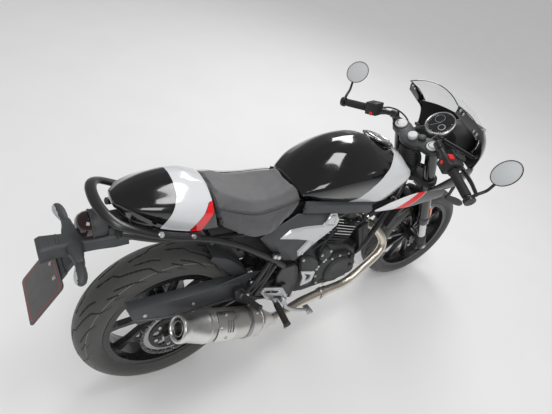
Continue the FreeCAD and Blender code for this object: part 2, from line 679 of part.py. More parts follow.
clutch_outline = [(624, 400), (650, 426), (700, 424), (742, 430), (800, 422), (842, 392), (868, 336),
                  (856, 290), (820, 268), (760, 262), (690, 266), (642, 290), (624, 340)]
clutch_base = plate("clutch_base", clutch_outline, 24, -100, edge=5)
clutch_dome = cylinder("clutch_dome", 70, 12, (744, -112, 342), -LEFT)
clutch_pump = cylinder("clutch_pump", 26, 14, (828, -111, 318), -LEFT)
timing_dome = cylinder("timing_dome", 34, 30, (648, -CASE_HALF, 462), -LEFT)
sprocket_outline = [(494, 512), (548, 506), (596, 462), (606, 420), (590, 335), (560, 330), (528, 352),
                    (510, 430)]
SPROCKET_COVER_SIDE = -131
cover_shell = plate("sprocket_cover_face", sprocket_outline, 10, SPROCKET_COVER_SIDE, edge=4)
cover_post = rod_between("sprocket_cover_post", 12, (578, -CASE_HALF, 440), (578, -130, 440))
rear_cover_outline = [(452, 474), (490, 476), (506, 430), (508, 344), (496, 282), (470, 298), (454, 376)]
rear_cover = plate("rear_chain_cover", rear_cover_outline, 6, -128, edge=2)
rear_cover_post = rod_between("rear_chain_post", 7, (495, -CASE_HALF, 322), (495, -128, 322))
alternator_outline = [(600, 380), (640, 430), (720, 446), (800, 420), (840, 350), (810, 276),
                      (720, 244), (630, 270)]
alternator = plate("alternator_base", alternator_outline, 26, 101, edge=6)
alternator_dome = cylinder("alternator_dome", 72, 20, (720, 113, 345), LEFT)
keep("engine_covers", gather("engine_covers", [
    fuse("clutch_side", [clutch_base, clutch_dome, clutch_pump]), timing_dome,
    fuse("sprocket_side", [cover_shell, cover_post]), fuse("rear_chain_side", [rear_cover, rear_cover_post]),
    fuse("alternator_side", [alternator, alternator_dome])]))

triangle = [(506, 442), (586, 414), (580, 362), (524, 352), (526, 400)]
cover_triangle = plate("cover_triangle", triangle, 5, -138.6, edge=1.5, holes=[(550, 398, 11)])



def chain_outline(offset):
    """The chain's loop round both sprockets, moved outwards by the offset: its corners and arcs."""
    way = (PINION - REAR_AXLE).normalize()
    gap = (PINION - REAR_AXLE).Length
    spread = math.acos((CHAIN_REAR - CHAIN_FRONT) / gap)
    heading = math.atan2(way.z, way.x)
    ends = []
    for side in (1, -1):
        normal = Vector(math.cos(heading + side * spread), 0, math.sin(heading + side * spread))
        ends.append((REAR_AXLE + normal * (CHAIN_REAR + offset), PINION + normal * (CHAIN_FRONT + offset)))
    (rear_top, front_top), (rear_low, front_low) = ends
    nose = PINION + way * (CHAIN_FRONT + offset)
    tail = REAR_AXLE - way * (CHAIN_REAR + offset)
    corners = [(place.x, place.z) for place in (rear_top, front_top, front_low, rear_low)]
    return corners, [(1, (nose.x, nose.z)), (3, (tail.x, tail.z))]


CHAIN_REAR, CHAIN_FRONT = 108.7, 38.2
LINK_HALF, LINK_WALL, LINK_SIDE = 6.5, 2.4, 6.2
RUN_PINS = 9


def chain_slab(name, offset, sideways, wall):
    """The whole area inside the chain's loop, a link plate thick."""
    corners, bends = chain_outline(offset)
    edges = []
    for number, (x, z) in enumerate(corners):
        start, end = Vector(x, sideways, z), corners[(number + 1) % len(corners)]
        end = Vector(end[0], sideways, end[1])
        if number in dict(bends):
            bend = dict(bends)[number]
            edges.append(Part.Arc(start, Vector(bend[0], sideways, bend[1]), end).toShape())
        else:
            edges.append(Part.LineSegment(start, end).toShape())
    wire = doc.addObject("Part::Feature", name + "_wire")
    wire.Shape = Part.Wire(edges)
    slab = doc.addObject("Part::Extrusion", name)
    slab.Base = wire
    slab.Dir = LEFT
    slab.LengthFwd = wall / 2
    slab.LengthRev = wall / 2
    slab.Solid = True
    return slab


chain_sides = []
for number, sideways in enumerate((SPROCKET_SIDE - LINK_SIDE, SPROCKET_SIDE + LINK_SIDE)):
    outside = chain_slab(f"chain_outside{number}", LINK_HALF, sideways, LINK_WALL)
    inside = chain_slab(f"chain_inside{number}", -LINK_HALF, sideways, LINK_WALL + 2)
    chain_sides.append(cut(f"chain_side{number}", outside, inside))
(rear_top, front_top, front_low, rear_low), bends = chain_outline(0)
pins = []
for run, (start, end) in enumerate(((rear_top, front_top), (rear_low, front_low))):
    for number in range(RUN_PINS):
        share = 0.16 + 0.76 * number / (RUN_PINS - 1)
        x, z = (start[index] + (end[index] - start[index]) * share for index in (0, 1))
        pins.append(rod_between(f"chain_pin{run}_{number}", 3.6, (x, SPROCKET_SIDE - LINK_SIDE, z),
                                (x, SPROCKET_SIDE + LINK_SIDE, z)))
pinion = cylinder("pinion", SIZE.pinion_radius - 2, 5, PINION + LEFT * (SPROCKET_SIDE - 2.5), LEFT)
pinion_shaft = cylinder("pinion_shaft", 11, 11.5, PINION + LEFT * (SPROCKET_SIDE - 6), LEFT)
keep("drive_chain", gather("drive_chain", [fuse("chain_loop", chain_sides + pins),
                                           fuse("pinion_solid", [pinion, pinion_shaft])]))


# ------------------------------------------------------------------------------------------------
# Exhaust and cooling
# ------------------------------------------------------------------------------------------------

CAN_FRONT = Vector(372, -184, 276)
CAN_BACK = Vector(-30, -202, 457)
can_way = (CAN_BACK - CAN_FRONT).normalize()
PORT_END = PORT + port_way * PORT_LONG
header_route = [PORT_END, PORT_END + port_way * 62, (965, -47, 486), (1014, -80, 440), (1036, -99, 388),
                (1004, -112, 340), (912, -123, 288), (822, -127, 238), (690, -129, 233),
                (562, -137, 234), CAN_FRONT - can_way * 72, CAN_FRONT]
header = pipe("header_pipe", header_route, SIZE.header_radius, 0.42)
header_flange = cylinder("header_flange", 34, 9, PORT_END, port_way)
keep("exhaust_header", fuse("exhaust_header", [header, header_flange]))


def on_can(along):
    return CAN_FRONT + can_way * along


can_neck = cone("can_neck", SIZE.header_radius + 3, SIZE.silencer_radius, 84, on_can(0), can_way)
can_body = cylinder("can_body", SIZE.silencer_radius, 262, on_can(84), can_way)
can_taper = cone("can_taper", SIZE.silencer_radius, SIZE.silencer_radius - 14, 72, on_can(346), can_way)
can_lip = cylinder("can_lip", SIZE.silencer_radius - 10, 22, on_can(418), can_way)
can_hole = cylinder("can_hole", 24, 60, on_can(385), can_way)
shield_turn = Rotation(FORWARD * -1, can_way)
shield = box("heat_shield", on_can(250) + Vector(0, -28, 52), (118, 46, 3),
             shield_turn.multiply(Rotation(FORWARD, 28)))
shield_posts = [rod_between(f"shield_post{number}", 5, on_can(along),
                            on_can(along) + Vector(0, -29, 53)) for number, along in enumerate((214, 286))]
can_tab = box("can_tab", (on_can(128).x, -163, on_can(128).z + 60), (26, 8, 60))
can_solid = fuse("can_solid", [can_neck, can_body, can_taper, can_lip, can_tab, shield] + shield_posts)
keep("silencer", cut("silencer", can_solid, can_hole))

core = box("radiator_core", RADIATOR, (22, 190, 132), radiator_turn)
tanks = [box(f"radiator_tank{number}", RADIATOR + LEFT * side * 104, (28, 22, 138), radiator_turn)
         for number, side in enumerate((-1, 1))]
fan_shroud = cylinder("fan_shroud", 56, 24, RADIATOR + radiator_turn.multVec(-FORWARD) * 8,
                      radiator_turn.multVec(-FORWARD))
keep("radiator", fuse("radiator", [core, fan_shroud] + tanks))


# ------------------------------------------------------------------------------------------------
# Tank, seat and tail
# ------------------------------------------------------------------------------------------------

# x, z_low, half_low, z_side, half_side, z_shoulder, half_shoulder, z_top
TANK_SECTIONS = [
    (452, 772, 88, 792, 101, 812, 78, 826),
    (520, 758, 108, 806, 134, 862, 92, 893),
    (620, 740, 116, 812, 151, 900, 104, 940),
    (740, 715, 118, 806, 156, 905, 108, 949),
    (860, 702, 112, 792, 150, 872, 106, 916),
    (950, 728, 92, 790, 128, 846, 92, 876),
    (990, 770, 62, 798, 92, 826, 62, 842),
]
tank = loft("tank_shell", [arch(*section) for section in TANK_SECTIONS])
spine_slot = box("tank_tunnel", (720, 0, 700), (640, 96, 110))
CAP_CENTRE = Vector(858, 0, 921)
CAP_WAY = Rotation(LEFT, 17).multVec(UP)
cap_seat = cylinder("cap_seat", 55, 42, CAP_CENTRE - CAP_WAY * 8.2, CAP_WAY)
neck_hole = cylinder("neck_hole", 28, 60, CAP_CENTRE - CAP_WAY * 60, CAP_WAY)
tank_open = cut("tank_open", cut("tank_slotted", tank, spine_slot), fuse("tank_cuts", [cap_seat, neck_hole]))
keep("fuel_tank", tank_open)

HINGE_OUT = 49
cap_disc = cylinder("cap_disc", 50, 9, CAP_CENTRE - CAP_WAY * 3, CAP_WAY)
cap_plug = cylinder("cap_plug", 17, 16, CAP_CENTRE - CAP_WAY * 18, CAP_WAY)
keep("filler_cap", fuse("filler_cap", [soften("cap_rounded", cap_disc, 2.5), cap_plug]), "cap")

# x, z_low, half_low, z_side, half_side, z_shoulder, half_shoulder, z_top
COWL_SECTIONS = [
    (110, 752, 112, 805, 118, 852, 92, 882),
    (40, 766, 112, 822, 118, 870, 88, 908),
    (-50, 790, 98, 838, 104, 876, 72, 904),
    (-118, 812, 70, 846, 76, 868, 52, 884),
    (-152, 836, 32, 850, 38, 862, 26, 868),
]
keep("seat_cowl", loft("cowl_shell", [arch(*section) for section in COWL_SECTIONS]))

# x, z_low, half_low, z_crease, half_crease, z_top
SEAT_SECTIONS = [
    (112, 754, 108, 826, 110, 858),
    (180, 738, 120, 806, 128, 836),
    (260, 716, 126, 786, 138, 806),
    (340, 704, 124, 774, 130, 796),
    (410, 737, 112, 776, 116, 802),
    (449, 760, 98, 782, 104, 814),
]


def saddle(x, z_low, half_low, z_crease, half_crease, z_top):
    """A seat cross-section: straight flanks up to a crease, and one crowned top."""
    left_low, right_low = Vector(x, half_low, z_low), Vector(x, -half_low, z_low)
    left, right = Vector(x, half_crease, z_crease), Vector(x, -half_crease, z_crease)
    return Part.Wire([
        Part.LineSegment(left_low, right_low).toShape(),
        Part.LineSegment(right_low, right).toShape(),
        Part.Arc(right, Vector(x, 0, z_top), left).toShape(),
        Part.LineSegment(left, left_low).toShape(),
    ])


keep("seat", loft("seat_pad", [saddle(*section) for section in SEAT_SECTIONS]))

airbox = soften("airbox_round", box("airbox_block", (526, 0, 700), (146, 128, 62)), 12)
keep("airbox", airbox)

panel_outline = [(431, 738), (286, 668), (400, 524), (470, 500), (560, 560), (600, 640), (590, 698)]
panels = pair("side_panel_pair", plate("side_panel", panel_outline, 12, -125, edge=5))
strip_outline = [(452, 771), (640, 728), (806, 690), (826, 660), (806, 646), (640, 684), (450, 733)]
strips = pair("tank_strip_pair", plate("tank_strip", strip_outline, 14, -123, edge=4))
keep("side_panels", gather("side_panels", [panels, strips]))

accent_outline = [(364, 650), (402, 682), (470, 677), (556, 662), (582, 706), (612, 702), (634, 672),
                  (628, 642), (583, 608), (524, 571), (499, 545), (471, 530), (462, 560), (500, 602),
                  (439, 626)]
accents = pair("side_accent_pair", plate("side_accent", accent_outline, 5, -134.5, edge=1.5))
keep("silver_accents", gather("silver_accents", [accents, cover_triangle]))

hoop_half = [(60, -132, 752), (-20, -128, 776), (-95, -121, 806), (-165, -106, 845), (-194, -48, 862)]
hoop_route = hoop_half + [(x, -y, z) for x, y, z in reversed(hoop_half)]
hoop_bar = pipe("hoop_bar", hoop_route, 13)
hoop_bolts = [rod_between(f"hoop_bolt{number}", 7, (x, side * 108, z), (x, side * 138, z))
              for number, (x, z, side) in enumerate(((38, 756.6, -1), (-70, 795, -1), (38, 756.6, 1),
                                                     (-70, 795, 1)))]
keep("grab_rail", fuse("grab_rail", [hoop_bar] + hoop_bolts))

LAMP = Vector(-178, 0, 778)
lamp_shell = cylinder("tail_lamp_shell", 40, 34, LAMP, -FORWARD)
lamp_dome = ball("tail_lamp_dome", 40, LAMP - FORWARD * 34)
lamp_stem = box("tail_lamp_stem", (-163, 0, 784), (40, 36, 27))
keep("tail_lamp", fuse("tail_lamp", [lamp_shell, lamp_dome, lamp_stem]))

tray = box("tail_tray", (-36, 0, 730), (244, 128, 14), Rotation(LEFT, 12))
hanger_arm = box("plate_arm", (-250, 0, 720), (190, 56, 34), Rotation(LEFT, 8.5))
hanger_web = box("plate_web", (-156, 0, 734.5), (26, 50, 71))
stalks = [rod_between(f"indicator_stalk{number}", 9, (-262, side * 20, 729), (-262, side * 96, 729))
          for number, side in enumerate((-1, 1))]
plate_turn = Rotation(LEFT, 38.7)
PLATE_CENTRE = Vector(-356, 0, 597)
backing = box("plate_backing", PLATE_CENTRE + plate_turn.multVec(Vector(6, 0, 0)), (6, 150, 118), plate_turn)
hanger_drop = box("plate_drop", PLATE_CENTRE + plate_turn.multVec(Vector(14, 0, 82)), (16, 70, 165),
                  plate_turn)
keep("plate_hanger", fuse("plate_hanger", [tray, hanger_arm, hanger_drop, hanger_web, backing] + stalks))
keep("number_plate", box("number_plate", PLATE_CENTRE + plate_turn.multVec(Vector(1.4, 0, 0)),
                         (3, 184, 150), plate_turn))


def indicator(name, root, way, length, radius):
    """A lens-tipped body: a cone that swells from its stalk and a rounded end."""
    root, way = Vector(*root), Vector(*way).normalize()
    swell = cone(name + "_body", radius * 0.55, radius, length * 0.6, root, way)
    tip = cone(name + "_tip", radius, radius * 0.45, length * 0.4, root + way * length * 0.6, way)
    return fuse(name, [swell, tip])


rear_indicator = indicator("rear_indicator", (-262, -96, 729), (0, -1, 0), 74, 19)
front_stalk = rod_between("front_indicator_stalk", 7, (1283, -167.5, 711.6), (1276, -165, 650))
front_indicator = fuse("front_indicator", [indicator("front_indicator_body", (1272, -163, 652),
                                                     (0.86, -0.5, -0.3), 96, 17), front_stalk])
keep("indicators", gather("indicators", [pair("rear_indicator_pair", rear_indicator),
                                         pair("front_indicator_pair", front_indicator)]))

guard_outline = [(-148, 452), (-120, 424), (120, 446), (272, 462), (330, 500), (262, 506), (100, 486),
                 (-60, 478)]
chain_guard = plate("chain_guard", guard_outline, 5, -116, edge=1.5)
guard_tab = box("chain_guard_tab", (262, -112.5, 446.5), (18, 9, 67))
hugger_outer = cylinder("hugger_outer", 329, 176, REAR_AXLE - LEFT * 88, LEFT)
hugger_inner = cylinder("hugger_inner", 325, 190, REAR_AXLE - LEFT * 95, LEFT)
hugger_zone = box("hugger_zone", (268, 0, 518), (150, 170, 184))
hugger_bracket = box("hugger_bracket", (336, 50, 427), (72, 36, 6))
hugger = doc.addObject("Part::Common", "hugger")
hugger.Base = cut("hugger_ring", hugger_outer, hugger_inner)
hugger.Tool = hugger_zone
hugger_solid = fuse("hugger_solid", [hugger, hugger_bracket])
keep("wheel_guards", gather("wheel_guards", [fuse("chain_guard_solid", [chain_guard, guard_tab]),
                                             hugger_solid]))


# ------------------------------------------------------------------------------------------------
# Feet
# ------------------------------------------------------------------------------------------------

heel_plate_outline = [(302, 442), (320, 456), (405, 422), (441, 362), (440, 325), (388, 350), (338, 384)]
heel_face = plate("heel_plate", heel_plate_outline, 6, -164, edge=2, holes=[(352, 418, 8), (380, 392, 8)])
heel_posts = [rod_between(f"heel_post{number}", 6, (x, -146, z), (x, -162, z))
              for number, (x, z) in enumerate(((398, 370), (430, 350)))]
keep("heel_plates", pair("heel_plates", fuse("heel_plate_solid", [heel_face] + heel_posts)))
peg = rod_between("foot_peg", 13, (386, -176, 349), (374, -272, 344))
peg_fork = box("foot_peg_fork", (384, -176, 350), (30, 18, 26))
passenger_peg = rod_between("passenger_peg", 11, (232, -163, 446), (256, -236, 452))
keep("foot_pegs", gather("foot_pegs", [pair("foot_peg_pair", fuse("foot_peg_solid", [peg, peg_fork])),
                                       pair("passenger_peg_pair", passenger_peg)]))

pedal_boss = rod_between("pedal_boss", 12, (416, -167, 356), (416, -182, 356))
pedal_arm = pipe("pedal_arm", [(416, -175, 356), (440, -180, 306), (496, -186, 270), (548, -190, 250)], 7)
pedal_pad = rod_between("pedal_pad", 9, (548, -182, 250), (552, -222, 240))
shift_boss = rod_between("shift_boss", 12, (416, 167, 356), (416, 182, 356))
shift_arm = pipe("shift_arm", [(416, 174, 356), (444, 177, 326), (500, 178, 316), (552, 180, 320)], 6)
shift_pad = rod_between("shift_pad", 9, (552, 174, 320), (552, 214, 320))
shift_rod = rod_between("shift_rod", 4, (470, 178, 317), (560, 130, 330))
keep("foot_levers", gather("foot_levers", [
    fuse("brake_pedal", [pedal_boss, pedal_arm, pedal_pad]),
    fuse("shift_lever", [shift_boss, shift_arm, shift_pad, shift_rod])]))

rear_pads = box("rear_caliper_body", (78, 82, 402), (72, 44, 46), Rotation(LEFT, -28))
rear_pad_gap = cylinder("rear_pad_gap", SIZE.rear_disc + 2, SIZE.disc_wall + 5,
                        REAR_AXLE + LEFT * (REAR_DISC_SIDE - 2.5), LEFT)
keep("rear_caliper", cut("rear_caliper", rear_pads, rear_pad_gap))


# ------------------------------------------------------------------------------------------------
# Steered group
# ------------------------------------------------------------------------------------------------

YOKE_TOP, YOKE_TOP_WALL = 652, 24
YOKE_LOW, YOKE_LOW_WALL = 468, 28
FORK_END = 182
LEG = float(SIZE.fork_half)


tilt = Rotation(LEFT, -float(SIZE.rake))


def yoke(name, low, wall):
    """Two leg clamps, a stem boss behind them and the webs that join all three."""
    pieces = [cylinder(f"{name}_clamp{side}", SIZE.fork_outer + 9, wall, fork_place(low, side * LEG),
                       STEER_UP) for side in (-1, 1)]
    pieces.append(cylinder(f"{name}_boss", 32, wall, fork_place(low, 0, -FORK_OFFSET), STEER_UP))
    middle = fork_place(low + wall / 2, 0, -8)
    pieces.append(box(f"{name}_web", middle, (44, 2 * LEG, wall - 6), tilt))
    return fuse(name, pieces)


stem = cylinder("stem", 16, 236, fork_place(462, 0, -FORK_OFFSET), STEER_UP)
stem_nut = cylinder("stem_nut", 17, 12, fork_place(YOKE_TOP + YOKE_TOP_WALL, 0, -FORK_OFFSET), STEER_UP)
key_barrel = cylinder("key_barrel", 15, 20, fork_place(YOKE_TOP + 8, 0, 22), STEER_UP)
yokes = fuse("yokes_solid", [yoke("top_yoke", YOKE_TOP, YOKE_TOP_WALL),
                             yoke("low_yoke", YOKE_LOW, YOKE_LOW_WALL), stem, stem_nut, key_barrel])
leg_space = pair("leg_space", cylinder("leg_space_right", SIZE.fork_outer, 520,
                                       fork_place(FORK_END, -LEG), STEER_UP))
keep("fork_yokes", cut("fork_yokes", yokes, leg_space), "steered")

leg_tube = cylinder("leg_tube", SIZE.fork_outer, 494, fork_place(FORK_END, -LEG), STEER_UP)
leg_cap = cylinder("leg_cap", 20, 8, fork_place(FORK_END + 494, -LEG), STEER_UP)
leg_collar = cylinder("leg_collar", SIZE.fork_outer + 3, 40, fork_place(FORK_END + 4, -LEG), STEER_UP)
keep("fork_tubes", pair("fork_tubes", fuse("leg_tube_solid", [leg_tube, leg_cap, leg_collar])), "steered")

slider = cylinder("slider", SIZE.fork_inner, 122, fork_place(60, -LEG), STEER_UP)
leg_foot = cylinder("leg_foot", 28, 96, fork_place(-26, -LEG), STEER_UP)
foot_clamp = rod_between("foot_clamp", 24, FRONT_AXLE - LEFT * (LEG + 24), FRONT_AXLE - LEFT * (LEG - 28))
front_axle = cylinder("front_axle_bar", SIZE.axle_radius, 260, FRONT_AXLE - LEFT * 130, LEFT)
caliper_lug = box("caliper_lug", fork_place(92, 86, -40), (60, 12, 90), tilt)
keep("fork_sliders", fuse("fork_sliders", [pair("slider_pair", fuse("slider_solid", [slider, leg_foot,
                                                                                    foot_clamp])),
                                           front_axle, caliper_lug]), "steered")

CLAMP_UP = 622
BAR_ROOT = fork_place(CLAMP_UP + 14, -LEG - 24)
BAR_END = Vector(1001.2, -383.2, 871.9)
bar_way = (BAR_END - BAR_ROOT).normalize()
bar_ahead = bar_way.cross(UP) * -1
bar_turn = Rotation(FORWARD, bar_ahead)


def on_bar(back_from_end, ahead=0.0, up=0.0):
    """A place on the right handlebar, measured inwards from its end."""
    return BAR_END - bar_way * back_from_end + bar_ahead * ahead + UP * up


clip_clamp = cylinder("clip_clamp", SIZE.fork_outer + 8, 28, fork_place(CLAMP_UP, -LEG), STEER_UP)
bar_tube = rod_between("bar_tube", SIZE.bar_radius, BAR_ROOT - bar_way * 12, BAR_END)
bar_solid = cut("bar_solid", fuse("bar_joined", [clip_clamp, bar_tube]),
                cylinder("clip_space", SIZE.fork_outer, 60, fork_place(CLAMP_UP - 16, -LEG), STEER_UP))
grip_tube = cylinder("grip_tube", SIZE.grip_radius, 122, on_bar(128), bar_way)
end_weight = cylinder("end_weight", 17, 22, on_bar(-2), bar_way)
end_neck = cylinder("end_neck", 9, 6, on_bar(2), bar_way)
keep("handlebars", pair("handlebars", fuse("bar_with_grip", [bar_solid, grip_tube, end_weight, end_neck])),
     "steered")

switch_right = ring("switch_right", 24, SIZE.bar_radius, 46, on_bar(180), bar_way)
perch_right = box("perch_right", on_bar(160, 32), (36, 40, 24), bar_turn)
reservoir = cylinder("reservoir", 16, 26, on_bar(160, 32, 10), UP)
lever_route = [on_bar(160, 44), on_bar(132, 58, -4), on_bar(82, 62, -6), on_bar(24, 52, -4)]
lever_right = pipe("lever_right", lever_route, 5.5)
switch_left = mirrored("switch_left", ring("switch_left_ring", 25, SIZE.bar_radius, 48, on_bar(182),
                                           bar_way))
perch_left = mirrored("perch_left", box("perch_left_box", on_bar(160, 30), (34, 28, 20), bar_turn))
lever_left = mirrored("lever_left", lever_right)
keep("bar_controls", gather("bar_controls", [
    fuse("brake_side", [switch_right, perch_right, reservoir, lever_right], refine=False),
    fuse("clutch_side_controls", [switch_left, perch_left, lever_left])]), "steered")

MIRROR = Vector(1058.7, -431.0, 1004.3)
mirror_way = Vector(-0.97, 0.16, -0.1).normalize()
mirror_head = cylinder("mirror_head", SIZE.mirror_radius, 14, MIRROR - mirror_way * 10, mirror_way)
mirror_clamp = ring("mirror_clamp", 22, 17, 16, on_bar(-4), bar_way)
mirror_foot = BAR_END + bar_way * 12 + UP * 20
mirror_arm = pipe("mirror_arm", [mirror_foot, mirror_foot + Vector(16, -10, 30), MIRROR - mirror_way * 6 -
                                 Vector(-4, -6, 46), MIRROR - mirror_way * 6 - UP * 34], 5)
keep("mirrors", pair("mirrors", fuse("mirror_solid", [mirror_head, mirror_clamp, mirror_arm])), "steered")

GAUGE = fork_place(669, 0, 128)
gauge_way = Vector(-0.62, 0, 0.78).normalize()
gauge_body = cylinder("gauge_body", 62, 40, GAUGE - gauge_way * 36, gauge_way)
gauge_tabs = pair("gauge_tabs", box("gauge_tab", fork_place(YOKE_TOP + 12, -52, 22), (16, 24, 14), tilt))
gauge_wings = pair("gauge_wings", rod_between("gauge_wing", 6, fork_place(YOKE_TOP + 12, -52, 22),
                                              GAUGE - gauge_way * 24 - LEFT * 30))
keep("instrument", fuse("instrument", [gauge_body, gauge_tabs, gauge_wings]), "steered")

guard_ring = cut("mudguard_ring", cylinder("mudguard_out", 306, 124, FRONT_AXLE - LEFT * 62, LEFT),
                 cylinder("mudguard_in", 302.5, 140, FRONT_AXLE - LEFT * 70, LEFT))
mudguard_zone = box("mudguard_zone", (1236, 0, 546), (330, 140, 250), Rotation(LEFT, -32))
mudguard_band = doc.addObject("Part::Common", "mudguard_band")
mudguard_band.Base, mudguard_band.Tool = guard_ring, mudguard_zone
guard_stays = pair("mudguard_stays", box("mudguard_stay", fork_place(240, -64, -18), (60, 6, 150),
                                         Rotation(LEFT, -24.5)))
keep("front_mudguard", fuse("front_mudguard", [mudguard_band, guard_stays]), "steered")

caliper_block = box("caliper_block", fork_place(92, 66, -98), (56, 52, 96), Rotation(LEFT, -24.5))
disc_gap = cylinder("front_disc_gap", SIZE.front_disc + 2, SIZE.disc_wall + 5, FRONT_AXLE + LEFT * 58.5,
                    LEFT)
keep("front_caliper", cut("front_caliper", caliper_block, disc_gap), "steered")

hose_route = [(648, -158, 62), (600, -122, 68), (546, -100, 66), (500, -60, 64), (474, -4, 52),
              (450, 42, 26), (424, 64, -6), (380, 74, -36), (320, 84, -46), (252, 82, -66),
              (196, 68, -96), (140.5, 66, -98)]
hose = pipe("brake_hose", [fork_place(*place) for place in hose_route], 4)
keep("brake_hose", hose, "steered")


# ------------------------------------------------------------------------------------------------
# Fairing, screen and headlamp
# ------------------------------------------------------------------------------------------------

def shell_section(z, x_rear, half_rear, x_nose, wall):
    """A horizontal band of the fairing: an outer arc round the nose and an inner one a wall away."""
    right, left = Vector(x_rear, -half_rear, z), Vector(x_rear, half_rear, z)
    right_in, left_in = Vector(x_rear, -half_rear + wall, z), Vector(x_rear, half_rear - wall, z)
    return Part.Wire([
        Part.Arc(right, Vector(x_nose, 0, z), left).toShape(),
        Part.LineSegment(left, left_in).toShape(),
        Part.Arc(left_in, Vector(x_nose - wall, 0, z), right_in).toShape(),
        Part.LineSegment(right_in, right).toShape(),
    ])


# z, x_rear, half_rear, x_nose
BOWL_SECTIONS = [(762, 1350, 168, 1462), (806, 1338, 179, 1484), (860, 1346, 182, 1496),
                 (912, 1330, 179, 1484), (958, 1290, 165, 1456), (988, 1252, 150, 1424)]
WALL = float(SIZE.shell_wall)
bowl = loft("fairing_bowl", [shell_section(*section, WALL) for section in BOWL_SECTIONS])
lamp_hole = cylinder("lamp_hole", 91, 300, (1300, 0, 852), FORWARD)


def upright(x, half, z_low, z_high, wall):
    """A thin upright quadrilateral across the right side, its outer face at half."""
    corners = [Vector(x, -half, z_low), Vector(x, -half, z_high), Vector(x, -half + wall, z_high),
               Vector(x, -half + wall, z_low)]
    return Part.makePolygon(corners + corners[:1])


# x, half, z_low, z_high
ARM_SECTIONS = [(1104, 121.5, 1058, 1092), (1190, 138, 1006, 1046), (1262, 153, 966, 1010),
                (1290, 161, 944, 992)]
WING_SECTIONS = [(1120, 148.5, 706, 712), (1210, 160, 704, 754), (1290, 171, 716, 794),
                 (1352, 171, 752, 812)]
BLADE_SECTIONS = [(848, 122, 645, 650), (940, 131, 639, 679), (1040, 142, 635, 704), (1130, 150, 645, 705),
                  (1226, 163, 664, 701)]
arm_strip = loft("fairing_arm", [upright(*section, WALL) for section in ARM_SECTIONS])
wing = loft("fairing_wing", [upright(*section, WALL) for section in WING_SECTIONS])
fairing_skin = fuse("fairing_skin", [cut("bowl_open", bowl, lamp_hole), pair("fairing_arms", arm_strip),
                                     pair("fairing_wings", wing)])
fairing = doc.addObject("Part::Refine", "fairing")
fairing.Source = fairing_skin
keep("fairing", fairing)
blade = loft("fairing_blade", [upright(*section, WALL) for section in BLADE_SECTIONS])
keep("fairing_blades", pair("fairing_blades", blade))


def screen_section(x_edge, half, z_edge, x_top, z_top, wall):
    """A band across the screen: an arch from side to side and its underside a wall below."""
    right, left = Vector(x_edge, -half, z_edge), Vector(x_edge, half, z_edge)
    top = Vector(x_top, 0, z_top)
    drop = (Vector(x_edge, 0, z_edge) - top).normalize() * wall
    return Part.Wire([
        Part.Arc(right, top, left).toShape(),
        Part.LineSegment(left, left + drop).toShape(),
        Part.Arc(left + drop, top + drop, right + drop).toShape(),
        Part.LineSegment(right + drop, right).toShape(),
    ])


# x_edge, half, z_edge, x_top, z_top
SCREEN_SECTIONS = [(1090, 123, 1096, 1106, 1128), (1192, 139, 1050, 1226, 1094),
                   (1288, 156, 1000, 1342, 1040), (1362, 138, 962, 1424, 992)]
sheet_loft = loft("windscreen_sheet", [screen_section(*section, 3) for section in SCREEN_SECTIONS])
keep("windscreen", cut("windscreen", sheet_loft, fairing_skin))

lamp_bucket = cylinder("headlamp_bucket", 86, 70, (1392, 0, 852), FORWARD)
lamp_back = cone("headlamp_back", 46, 84, 44, (1350, 0, 852), FORWARD)
lamp_glass = ball("headlamp_glass", 190, (1306, 0, 852))
lamp_front = cylinder("headlamp_front", 84, 60, (1455, 0, 852), FORWARD)
lens = doc.addObject("Part::Common", "headlamp_lens")
lens.Base, lens.Tool = lamp_glass, lamp_front
keep("headlamp", fuse("headlamp", [lamp_bucket, lamp_back, lens]))

stay_tongue = rod_between("stay_tongue", 10, fork_place(572, 0, 5.8), (1318, 0, 852))
stay_bar = rod_between("stay_bar", 8, (1318, -169, 858), (1318, 169, 858))
stay_ends = pair("stay_ends", rod_between("stay_end", 8, (1318, -169, 858), (1352, -169, 858)))
stay_lamp = rod_between("stay_lamp", 14, (1312, 0, 852), (1349.8, 0, 852))
keep("fairing_stay", fuse("fairing_stay", [stay_tongue, stay_bar, stay_ends, stay_lamp]))


# ------------------------------------------------------------------------------------------------
# Parked attitude
# ------------------------------------------------------------------------------------------------

STEER_FOOT = Vector(SIZE.wheelbase + SIZE.trail, 0, 0)
steer_turn = Rotation(STEER_UP, float(SIZE.parked_steer))
steered = Placement(STEER_FOOT - steer_turn.multVec(STEER_FOOT), steer_turn)


def lowest(attitude, centre, across, radius, crown):
    """Height of the lowest point of a round-crowned wheel in the given attitude."""
    tilt = attitude.Rotation.multVec(across).z
    return attitude.multVec(centre).z - (radius - crown) * math.sqrt(1 - tilt * tilt) - crown


def parked(pitch):
    turn = Rotation(LEFT, pitch).multiply(Rotation(FORWARD, -float(SIZE.lean)))
    return Placement(Vector(0, 0, 0), turn)


def wheel_heights(pitch):
    attitude = parked(pitch)
    rear = lowest(attitude, REAR_AXLE, LEFT, SIZE.rear_radius, SIZE.rear_crown)
    front = lowest(attitude, steered.multVec(FRONT_AXLE), steer_turn.multVec(LEFT), SIZE.front_radius,
                   SIZE.front_crown)
    return rear, front


low_pitch, high_pitch = -2.0, 2.0
for _ in range(40):
    pitch = (low_pitch + high_pitch) / 2
    rear_height, front_height = wheel_heights(pitch)
    if front_height > rear_height:
        low_pitch = pitch
    else:
        high_pitch = pitch
leaning = parked(pitch)
leaning.Base = Vector(0, 0, -rear_height)
ground_up = leaning.Rotation.inverted().multVec(UP)
ground_place = leaning.inverse().multVec(Vector(0, 0, 0))


# ------------------------------------------------------------------------------------------------
# Side stand: its leg reaches the ground of the parked attitude
# ------------------------------------------------------------------------------------------------

